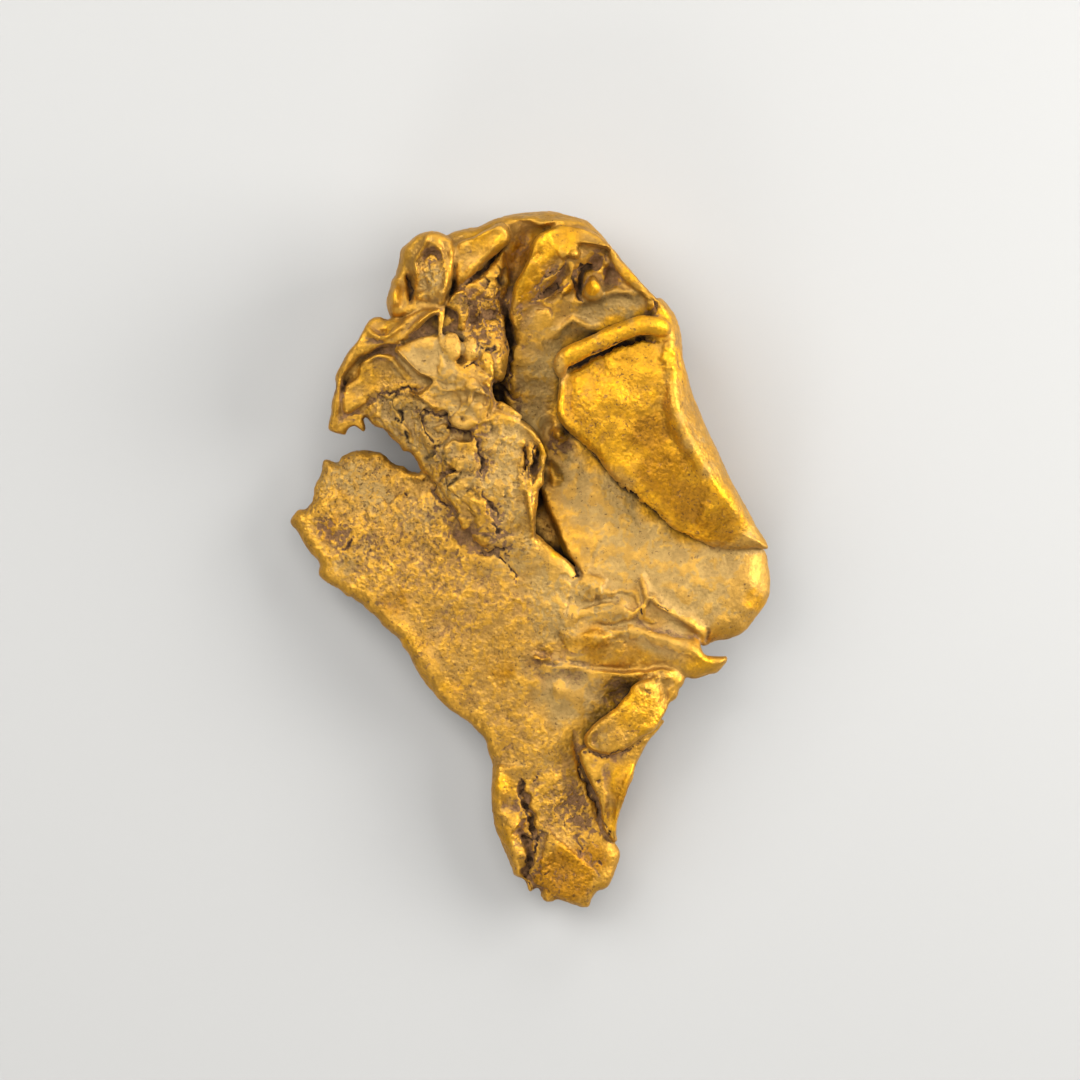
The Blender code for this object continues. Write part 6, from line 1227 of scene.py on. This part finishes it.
def chips(places, size, seed):
    """Height of small flat chips of gold, between about -1 and 1, and how near their open seams are."""
    bent = places / size + 0.3 * np.sin(2.3 * places[:, [1, 2, 0]] / size + seed)
    cell = np.floor(bent)
    far = 9.0
    near = np.full(len(places), far)
    next_near = np.full(len(places), far)
    height = np.zeros(len(places))
    next_height = np.zeros(len(places))
    for step in np.ndindex(3, 3, 3):
        corner = cell + step - 1
        chance = [
            np.modf(np.abs(np.sin(corner @ HASH_WEIGHTS + 4.1 * k + seed)) * HASH_GAIN)[0]
            for k in range(7)]
        away = bent - corner - np.stack(chance[:3], -1)
        gap = np.sqrt((away**2).sum(-1))
        level = chance[3] - 0.5 + sum((chance[4 + k] - 0.5) * away[:, k] for k in range(3)) * 2
        first = gap < near
        second = ~first & (gap < next_near)
        next_near = np.where(first, near, np.where(second, gap, next_near))
        next_height = np.where(first, height, np.where(second, level, next_height))
        near = np.where(first, gap, near)
        height = np.where(first, level, height)
    open_seam = np.clip(3 * np.abs(height - next_height) - 0.5, 0, 1)
    return height, open_seam * np.clip(1 - (next_near - near) / SEAM_SHARE, 0, 1)


def hollowness(places, normals, reaches):
    """How much of the sky the nugget within these reaches hides from each point: 0 on a peak, 1 in a pit."""
    hidden = np.zeros(len(places))
    margin = 3  # more than the longest reach
    low = places.min(0) - margin
    size = np.ceil((places.max(0) + margin - low) / SKY_CELL).astype(int)
    for side in (1, -1):
        facing = normals[:, 2] * side > 0
        grid = np.full(size[0] * size[1], SKY_FLOOR)
        spot = ((places - low) / SKY_CELL).astype(int)
        np.maximum.at(grid, spot[:, 0] * size[1] + spot[:, 1], places[:, 2] * side)
        here = places[facing]
        total = np.zeros(len(here))
        for k in range(SKY_DIRECTIONS):
            angle = 2 * math.pi * k / SKY_DIRECTIONS
            slope = np.zeros(len(here))
            for reach in reaches:
                x = ((here[:, 0] + reach * math.cos(angle) - low[0]) / SKY_CELL).astype(int)
                y = ((here[:, 1] + reach * math.sin(angle) - low[1]) / SKY_CELL).astype(int)
                rise = grid[x * size[1] + y] - here[:, 2] * side
                slope = np.maximum(slope, rise / reach)
            total += slope**2 / (1 + slope**2)
        hidden[facing] = total / SKY_DIRECTIONS * np.clip(0.6 + 0.8 * np.abs(normals[facing, 2]), 0, 1)
    return hidden


class MESH_OT_nugget_leaves(bpy.types.Operator):
    """Model the leaves, rolled edges and beads of gold"""

    bl_idname = "mesh.nugget_leaves"
    bl_label = "Leaves"

    def execute(self, context):
        shape = context.scene.nugget_shape
        bpy.ops.object.select_all(action="DESELECT")
        pieces = [sheet_mesh(sheet, SEED_STEP * i, shape.leaf_step) for i, sheet in enumerate(SHEETS)]
        pieces += [roll_mesh(path) for path in ROLLS]
        leaves = joined(pieces, "nugget")
        leaves.select_set(True)
        for centre, half, turn in BEADS:
            bpy.ops.mesh.primitive_ico_sphere_add(subdivisions=4, radius=1, location=centre, scale=half)
            bpy.ops.object.transform_apply(location=False, rotation=False, scale=True)
            context.object.rotation_euler.z = math.radians(turn)
            context.object.select_set(True)
            leaves.select_set(True)
            context.view_layer.objects.active = leaves
            bpy.ops.object.join()
        return {"FINISHED"}


class MESH_OT_nugget_skin(bpy.types.Operator):
    """Skin the leaves into one body, roughen it and bring it to size"""

    bl_idname = "mesh.nugget_skin"
    bl_label = "Skin"

    def execute(self, context):
        shape = context.scene.nugget_shape
        nugget = bpy.data.objects["nugget"]
        apply_modifier(nugget, "REMESH", mode="VOXEL", voxel_size=shape.skin)
        keep_main_body(nugget)
        roughen(nugget, shape.swell, SWELL_SIZE)
        self.grain(nugget)
        triangles = sum(len(face.vertices) - 2 for face in nugget.data.polygons)
        apply_modifier(nugget, "DECIMATE", ratio=min(1, shape.triangles / triangles))
        lowest = min(vert.co.z for vert in nugget.data.vertices)
        wear_flat(nugget, lowest + shape.worn)
        drop_spare_points(nugget)
        unit = shape.length / FORM_LENGTH
        bpy.ops.object.select_all(action="DESELECT")
        nugget.select_set(True)
        context.view_layer.objects.active = nugget
        nugget.scale = (unit, unit, unit)
        bpy.ops.object.transform_apply(location=False, rotation=False, scale=True)
        centre_footprint(nugget)
        bpy.ops.object.shade_smooth()
        return {"FINISHED"}

    def grain(self, nugget):
        """Chips and grains that stand out of the skin, stronger where it is crumpled or rough, and cracks and
        painted shadow lines cut into it.
        """
        places, normals, _ = mesh_arrays(nugget.data)
        crumpled = patch_weight(CRUMPLED_PATCHES, places)
        coarse = 0.1 + 0.9 * patch_weight(COARSE_PATCHES, places)
        broad, broad_seam = chips(places, BROAD_CHIP, 1)
        small, small_seam = chips(places, SMALL_CHIP, 2)
        flat, flat_seam = chips(places, FLAT_CHIP, 3)
        fine, fine_seam = chips(places, FINE_CHIP, 4)
        raised = crumpled * (0.15 * broad + 0.07 * small - 0.06 * np.maximum(broad_seam, 0.6 * small_seam))
        raised += coarse * (0.02 * flat + 0.028 * fine - 0.015 * fine_seam)
        seam = np.maximum(crumpled * np.maximum(broad_seam, 0.7 * small_seam), 0.35 * coarse * flat_seam)
        crack_and_shadow = crack_and_shadow_weight(CRACKS_AND_SHADOW_LINES, places, normals)
        raised -= CRACK_DEPTH * np.maximum(crack_and_shadow - 0.5, 0)
        store(nugget.data, {"seam": seam, "crack_and_shadow": crack_and_shadow})
        raised *= np.clip(0.5 + 0.7 * np.abs(normals[:, 2]), 0, 1)
        places += normals * raised[:, None]
        nugget.data.vertices.foreach_set("co", places.ravel().astype(np.float32))
        nugget.data.update()
        texture = bpy.data.textures.new("grains", "CLOUDS")
        texture.noise_scale = 0.15
        texture.noise_depth = 2
        apply_modifier(
            nugget, "DISPLACE", texture=texture, texture_coords="LOCAL", strength=0.045, mid_level=0.5)


class MESH_OT_nugget_finish(bpy.types.Operator):
    """Give the skin its worn gold, pale plates, iron stain, painted highlights and painted shade"""

    bl_idname = "mesh.nugget_finish"
    bl_label = "Finish"

    def execute(self, context):
        nugget = bpy.data.objects["nugget"]
        self.paint(nugget, context.scene.nugget_shape)
        nugget.data.materials.clear()
        nugget.data.materials.append(native_gold(context.scene.nugget_finish))
        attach(nugget, "root")
        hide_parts("gold_nugget")
        return {"FINISHED"}

    def paint(self, nugget, shape):
        """Stores for each point its stain, its pale and saturated gold with their painted highlights, its
        browner gold of painted shade, and how hollow and exposed it is.
        """
        places, normals, ends = mesh_arrays(nugget.data)
        places *= FORM_LENGTH / shape.length
        front = np.clip(normals[:, 2] * 3 + 0.6, 0, 1)
        near = ((places - smoothed(places, ends, 5)) * normals).sum(-1)
        wide = ((places - smoothed(places, ends, 40)) * normals).sum(-1)
        store(nugget.data, {
            "stain": patch_weight(STAIN_PATCHES, places) * front + 0.35 * (1 - front),
            # the pale and saturated-gold patches also hold painted highlights, and the browner-gold patches
            # painted shade
            "pale": patch_weight(PALE_AND_HIGHLIGHT_PATCHES, places) * front,
            "rich_and_highlight": patch_weight(RICH_AND_HIGHLIGHT_PATCHES, places) * front,
            "amber_and_shade": patch_weight(AMBER_AND_SHADE_PATCHES, places) * front,
            "coarse": patch_weight(COARSE_PATCHES, places),
            "hollow": smoothed(hollowness(places, normals, HOLLOW_REACHES)[:, None], ends, 3)[:, 0],
            "crevice": smoothed(hollowness(places, normals, CREVICE_REACHES)[:, None], ends, 1)[:, 0],
            "edge": np.clip(0.5 + near / 0.02 + wide / 0.25, 0, 1),
        })


def add_node(tree, kind, inputs=None, **settings):
    """A node with its settings, and its inputs given as values or as sockets to link from."""
    node = tree.nodes.new(kind)
    for name, value in settings.items():
        setattr(node, name, value)
    for name, value in (inputs or {}).items():
        socket = node.inputs[name]
        if isinstance(value, bpy.types.NodeSocket):
            tree.links.new(value, socket)
        else:
            socket.default_value = value
    return node


def ragged_patch_group():
    """Mask of a patch with a ragged edge: more of the noise passes where the amount is high."""
    tree = bpy.data.node_groups.new("ragged_patch", "ShaderNodeTree")
    for name, kind, default in (
            ("Amount", "NodeSocketFloat", 0.5), ("Scale", "NodeSocketFloat", 1000.0),
            ("Softness", "NodeSocketFloat", 0.1), ("Vector", "NodeSocketVector", None)):
        socket = tree.interface.new_socket(name, in_out="INPUT", socket_type=kind)
        if default is not None:
            socket.default_value = default
    tree.interface.new_socket("Mask", in_out="OUTPUT", socket_type="NodeSocketFloat")
    given = tree.nodes.new("NodeGroupInput").outputs
    grain = add_node(tree, "ShaderNodeTexNoise", {
        "Vector": given["Vector"], "Scale": given["Scale"], "Detail": 5.0, "Roughness": 0.62})
    span = add_node(tree, "ShaderNodeMath", {0: given["Softness"], 1: 0.45}, operation="ADD")
    reach = add_node(tree, "ShaderNodeMath", {0: given["Amount"], 1: span.outputs[0]}, operation="MULTIPLY")
    reach = add_node(tree, "ShaderNodeMath", {0: reach.outputs[0], 1: 0.25}, operation="ADD")
    start = add_node(
        tree, "ShaderNodeMath", {0: reach.outputs[0], 1: given["Softness"]}, operation="SUBTRACT")
    mask = add_node(tree, "ShaderNodeMapRange", {
        "Value": grain.outputs["Fac"], "From Min": start.outputs[0], "From Max": reach.outputs[0],
        "To Min": 1.0, "To Max": 0.0}, interpolation_type="SMOOTHSTEP")
    out = tree.nodes.new("NodeGroupOutput")
    tree.links.new(mask.outputs[0], out.inputs["Mask"])
    return tree


def native_gold(finish):
    """Worn native gold: saturated on folds, pale on plates, speckled and stained, with painted highlights on
    lit ridges, edges and the flap's flank, and painted shade: browner on some slopes, near black in the
    deepest hollows, seams and cracks.
    """
    material = bpy.data.materials.new("native_gold")
    material.use_nodes = True
    tree = material.node_tree
    shader = tree.nodes["Principled BSDF"]
    place = add_node(tree, "ShaderNodeTexCoord").outputs["Object"]
    ragged = ragged_patch_group()

    def surface(name):
        return add_node(tree, "ShaderNodeAttribute", attribute_name=name).outputs["Fac"]

    def maths(operation, a, b, clamp=True):
        return add_node(tree, "ShaderNodeMath", {0: a, 1: b}, operation=operation, use_clamp=clamp).outputs[0]

    def noise_at(scale, detail, rough):
        return add_node(
            tree, "ShaderNodeTexNoise",
            {"Vector": place, "Scale": scale, "Detail": detail, "Roughness": rough}).outputs["Fac"]

    def ramp(value, low, high):
        return add_node(
            tree, "ShaderNodeMapRange", {"Value": value, "From Min": low, "From Max": high},
            interpolation_type="SMOOTHSTEP").outputs[0]

    def patch(amount, scale, softness):
        return add_node(
            tree, "ShaderNodeGroup",
            {"Amount": amount, "Scale": scale, "Softness": softness, "Vector": place},
            node_tree=ragged).outputs["Mask"]

    def mixed(share, a, b):
        factor, first, second, result = 0, 6, 7, 2  # the Mix node's sockets for colours
        inputs = {factor: share, first: a, second: b}
        return add_node(tree, "ShaderNodeMix", inputs, data_type="RGBA", clamp_factor=True).outputs[result]

    def tone(colour, gain=1.0):
        return tuple(gain * part for part in colour) + (1,)

    hollow = surface("hollow")
    edge = surface("edge")
    coarse = surface("coarse")
    # exposed: convex edges, where stain wears off and saturated gold is laid as a painted highlight
    exposed = maths("MULTIPLY", maths("SUBTRACT", edge, 0.5), 2.4)
    pitted = maths("MULTIPLY", maths("SUBTRACT", 0.5, edge), 2.0)
    drift = noise_at(650.0, 4.0, 0.6)
    mottle = noise_at(2400.0, 4.0, 0.65)
    grain = noise_at(7000.0, 2.0, 0.6)

    # Gold, paler on the plates and deeper on folds and rubbed edges; the pale and saturated gold are also
    # painted highlights on lit ridges, edges, the flap's flank and the fold tip, and browner gold is painted
    # shade on some slopes.
    patchy = ramp(mottle, 0.3, 0.7)
    grainy = ramp(grain, 0.3, 0.7)
    wide = noise_at(420.0, 3.0, 0.55)
    even = mixed(patchy, tone(finish.gold, 0.92), tone(finish.gold, 1.06))
    colour = mixed(coarse, even, mixed(patchy, tone(finish.gold, 0.72), tone(finish.gold, 1.25)))
    drifted = maths("MULTIPLY", ramp(wide, 0.48, 0.66), maths("MULTIPLY", coarse, 0.5))
    # pale gold, with painted highlights on the flap's right flank and the fold tip
    pale = patch(maths("ADD", surface("pale"), drifted), 1300.0, 0.45)
    colour = mixed(pale, colour, mixed(grainy, tone(finish.pale, 0.86), tone(finish.pale, 1.12)))
    rich_and_highlight = patch(surface("rich_and_highlight"), 900.0, 0.45)
    # convex edges take saturated gold as a painted highlight
    rich_and_highlight = maths("MAXIMUM", rich_and_highlight, maths("MULTIPLY", exposed, 0.4))
    colour = mixed(rich_and_highlight, colour, mixed(patchy, tone(finish.rich_and_highlight, 0.82), tone(finish.rich_and_highlight, 1.15)))
    # Browner gold: painted shade from the patches, and random browner tone on the rough gold.
    drifted = maths("MULTIPLY", ramp(wide, 0.5, 0.34), maths("MULTIPLY", coarse, 0.5))
    amber_and_shade = patch(maths("ADD", surface("amber_and_shade"), drifted), 1100.0, 0.45)
    colour = mixed(amber_and_shade, colour, mixed(grainy, tone(finish.amber_and_shade, 0.8), tone(finish.amber_and_shade, 1.2)))

    # A thin haze of iron stain, and its grains where it is thick; along the painted shadow lines it is
    # painted shadow.
    crevice = surface("crevice")
    seam = surface("seam")
    crack_and_shadow = surface("crack_and_shadow")
    amount = maths("ADD", maths("MULTIPLY", surface("stain"), 0.75), maths("MULTIPLY", hollow, 0.1))
    amount = maths("ADD", amount, maths("MULTIPLY", seam, 0.2))
    # along the cracks this adds stain, and along the shadow lines painted shadow
    amount = maths("ADD", amount, maths("MULTIPLY", crack_and_shadow, 0.7))
    amount = maths("ADD", amount, maths("MULTIPLY", maths("ADD", pitted, crevice), 0.16))
    amount = maths("SUBTRACT", amount, maths("MULTIPLY", exposed, 0.6))
    haze = maths("MULTIPLY", amount, ramp(drift, 0.25, 0.65))
    grains = patch(amount, 4600.0, 0.28)
    stain = maths("MAXIMUM", maths("MULTIPLY", haze, 0.8), maths("MULTIPLY", grains, ramp(amount, 0.05, 0.6)))
    tint = mixed(ramp(grain, 0.3, 0.7), tone(finish.stain, 0.5), tone(finish.stain, 1.6))
    colour = mixed(maths("MULTIPLY", stain, 0.78), colour, tint)

    # Dark specks and broader brown spots, thickest on the rough gold.
    reach = maths("ADD", maths("MULTIPLY", coarse, 0.07), 0.335)
    speck = ramp(maths("SUBTRACT", reach, noise_at(7400.0, 2.0, 0.6)), -0.015, 0.03)
    speck = maths("MULTIPLY", speck, ramp(maths("ADD", mottle, drift, False), 1.15, 0.85))
    colour = mixed(maths("MULTIPLY", speck, 0.8), colour, tone(finish.speck))
    reach = maths("ADD", maths("MULTIPLY", coarse, 0.06), 0.338)
    spot = ramp(maths("SUBTRACT", reach, noise_at(3300.0, 3.0, 0.7)), -0.012, 0.035)
    colour = mixed(maths("MULTIPLY", spot, 0.62), colour, tone(finish.stain, 0.75))

    # Painted shade, near black, in the deepest hollows, the open seams, the cracks and the crevices.
    painted_shade = maths("MULTIPLY", maths("SUBTRACT", hollow, 0.84), 4.0)
    painted_shade = maths("MAXIMUM", painted_shade, maths("MULTIPLY", ramp(seam, 0.35, 0.8), ramp(drift, 0.35, 0.6)))
    crack_shade = maths("MULTIPLY", ramp(crack_and_shadow, 0.55, 0.9), ramp(mottle, 0.36, 0.54))
    painted_shade = maths("MAXIMUM", painted_shade, maths("MULTIPLY", crack_shade, 0.9))
    painted_shade = maths("MAXIMUM", painted_shade, maths("MULTIPLY", maths("SUBTRACT", crevice, 0.5), 3.0))
    colour = mixed(painted_shade, colour, tone(finish.painted_shade_colour))
    tree.links.new(colour, shader.inputs["Base Color"])

    # Stain, painted shade and specks are duller and less metallic than clean gold.
    dull = maths("MAXIMUM", maths("MULTIPLY", stain, 0.9), painted_shade)
    dull = maths("MAXIMUM", dull, maths("MULTIPLY", speck, 0.6))
    metal = add_node(tree, "ShaderNodeMapRange", {"Value": dull, "To Min": 0.88, "To Max": 0.4})
    tree.links.new(metal.outputs[0], shader.inputs["Metallic"])
    gloss = add_node(tree, "ShaderNodeMapRange", {
        "Value": grain, "From Min": 0.3, "From Max": 0.7, "To Min": finish.roughness - 0.06,
        "To Max": finish.roughness + 0.08})
    worn = maths("ADD", gloss.outputs[0], maths("MULTIPLY", pale, 0.08))
    worn = maths("ADD", worn, maths("MULTIPLY", dull, 0.35))
    tree.links.new(worn, shader.inputs["Roughness"])
    shader.inputs["Specular IOR Level"].default_value = 0.25

    # Fine relief: small facets that catch the light, and the pits of the specks.
    facets = add_node(
        tree, "ShaderNodeTexVoronoi", {"Vector": place, "Scale": 6400.0}, feature="F1").outputs["Distance"]
    relief = maths("ADD", maths("MULTIPLY", facets, 0.6, False), maths("MULTIPLY", mottle, 0.9, False), False)
    relief = maths("ADD", relief, maths("MULTIPLY", grain, 0.5, False), False)
    pits = maths("MULTIPLY", maths("ADD", speck, stain, False), 0.3, False)
    relief = maths("SUBTRACT", relief, pits, False)
    strength = maths("ADD", maths("MULTIPLY", coarse, 0.6), 0.4)
    bump = add_node(tree, "ShaderNodeBump", {"Height": relief, "Distance": finish.bump, "Strength": strength})
    tree.links.new(bump.outputs[0], shader.inputs["Normal"])
    return material


class SCENE_OT_nugget_studio(bpy.types.Operator):
    """Set up the pale table, the soft lights and the camera"""

    bl_idname = "scene.nugget_studio"
    bl_label = "Studio"

    def execute(self, context):
        studio = context.scene.nugget_studio
        bpy.ops.object.select_all(action="DESELECT")
        self.table(studio)
        look_at = Vector((0.0004, 0.00082, 0.003))  # the middle of the photo, at mid height
        for name, place, power, size in (
                ("key", (-0.085, 0.065, 0.10), studio.key, 0.10),
                ("fill", (0.118, 0.02, 0.068), studio.fill, 0.08),
                ("top", (-0.01, 0.03, 0.16), studio.top, 0.14),
                ("rim", (0.05, 0.12, 0.06), 0.4 * studio.fill, 0.05),
                ("side", (0.13, 0.03, 0.032), 0.85 * studio.fill, 0.08),
                ("foot", (-0.04, -0.13, 0.07), 0.45 * studio.fill, 0.05)):
            bpy.ops.object.light_add(type="AREA", location=place)
            light = bpy.context.object
            light.name = name
            light.data.energy = power
            light.data.size = size
            light.rotation_euler = (look_at - light.location).to_track_quat("-Z", "Y").to_euler()
        world = bpy.data.worlds.new("room")
        world.use_nodes = True
        background = world.node_tree.nodes["Background"]
        background.inputs["Color"].default_value = (0.95, 0.97, 1, 1)
        background.inputs["Strength"].default_value = studio.room
        context.scene.world = world
        distance = studio.view * studio.lens / SENSOR_WIDTH
        bpy.ops.object.camera_add(location=look_at + Vector((0, 0, distance)), rotation=(0, 0, 0))
        camera = bpy.context.object
        camera.data.sensor_width = SENSOR_WIDTH
        camera.data.lens = studio.lens
        camera.data.clip_start = 0.001
        context.scene.camera = camera
        context.scene.view_settings.view_transform = "Standard"
        return {"FINISHED"}

    def table(self, studio):
        """The pale table that the nugget lies on."""
        bpy.ops.mesh.primitive_plane_add(size=2, location=(0, 0, 0))
        table = bpy.context.object
        table.name = "table"
        material = bpy.data.materials.new("table_paper")
        material.use_nodes = True
        shader = material.node_tree.nodes["Principled BSDF"]
        shader.inputs["Base Color"].default_value = (*studio.floor, 1)
        shader.inputs["Roughness"].default_value = 0.9
        table.data.materials.append(material)


STEPS = (MESH_OT_nugget_leaves, MESH_OT_nugget_skin, MESH_OT_nugget_finish, SCENE_OT_nugget_studio)


class VIEW3D_PT_nugget(bpy.types.Panel):
    """The settings, and the steps in the order in which they run"""

    bl_label = "Nugget"
    bl_idname = "VIEW3D_PT_nugget"
    bl_space_type = "VIEW_3D"
    bl_region_type = "UI"
    bl_category = "Nugget"

    def draw(self, context):
        for group in (context.scene.nugget_shape, context.scene.nugget_finish, context.scene.nugget_studio):
            box = self.layout.box()
            for name in group.bl_rna.properties.keys():
                if name not in ("rna_type", "name"):
                    box.prop(group, name)
        for step in STEPS:
            self.layout.operator(step.bl_idname)


CLASSES = (NuggetShape, NuggetFinish, StudioSettings) + STEPS + (VIEW3D_PT_nugget,)


def register():
    for kind in CLASSES:
        bpy.utils.register_class(kind)
    bpy.types.Scene.nugget_shape = PointerProperty(type=NuggetShape)
    bpy.types.Scene.nugget_finish = PointerProperty(type=NuggetFinish)
    bpy.types.Scene.nugget_studio = PointerProperty(type=StudioSettings)


def unregister():
    del bpy.types.Scene.nugget_shape
    del bpy.types.Scene.nugget_finish
    del bpy.types.Scene.nugget_studio
    for kind in reversed(CLASSES):
        bpy.utils.unregister_class(kind)


def main():
    """Makes the nugget and its studio."""
    register()
    bpy.ops.mesh.nugget_leaves()
    bpy.ops.mesh.nugget_skin()
    bpy.ops.mesh.nugget_finish()
    bpy.ops.scene.nugget_studio()


if __name__ == "__main__":
    main()
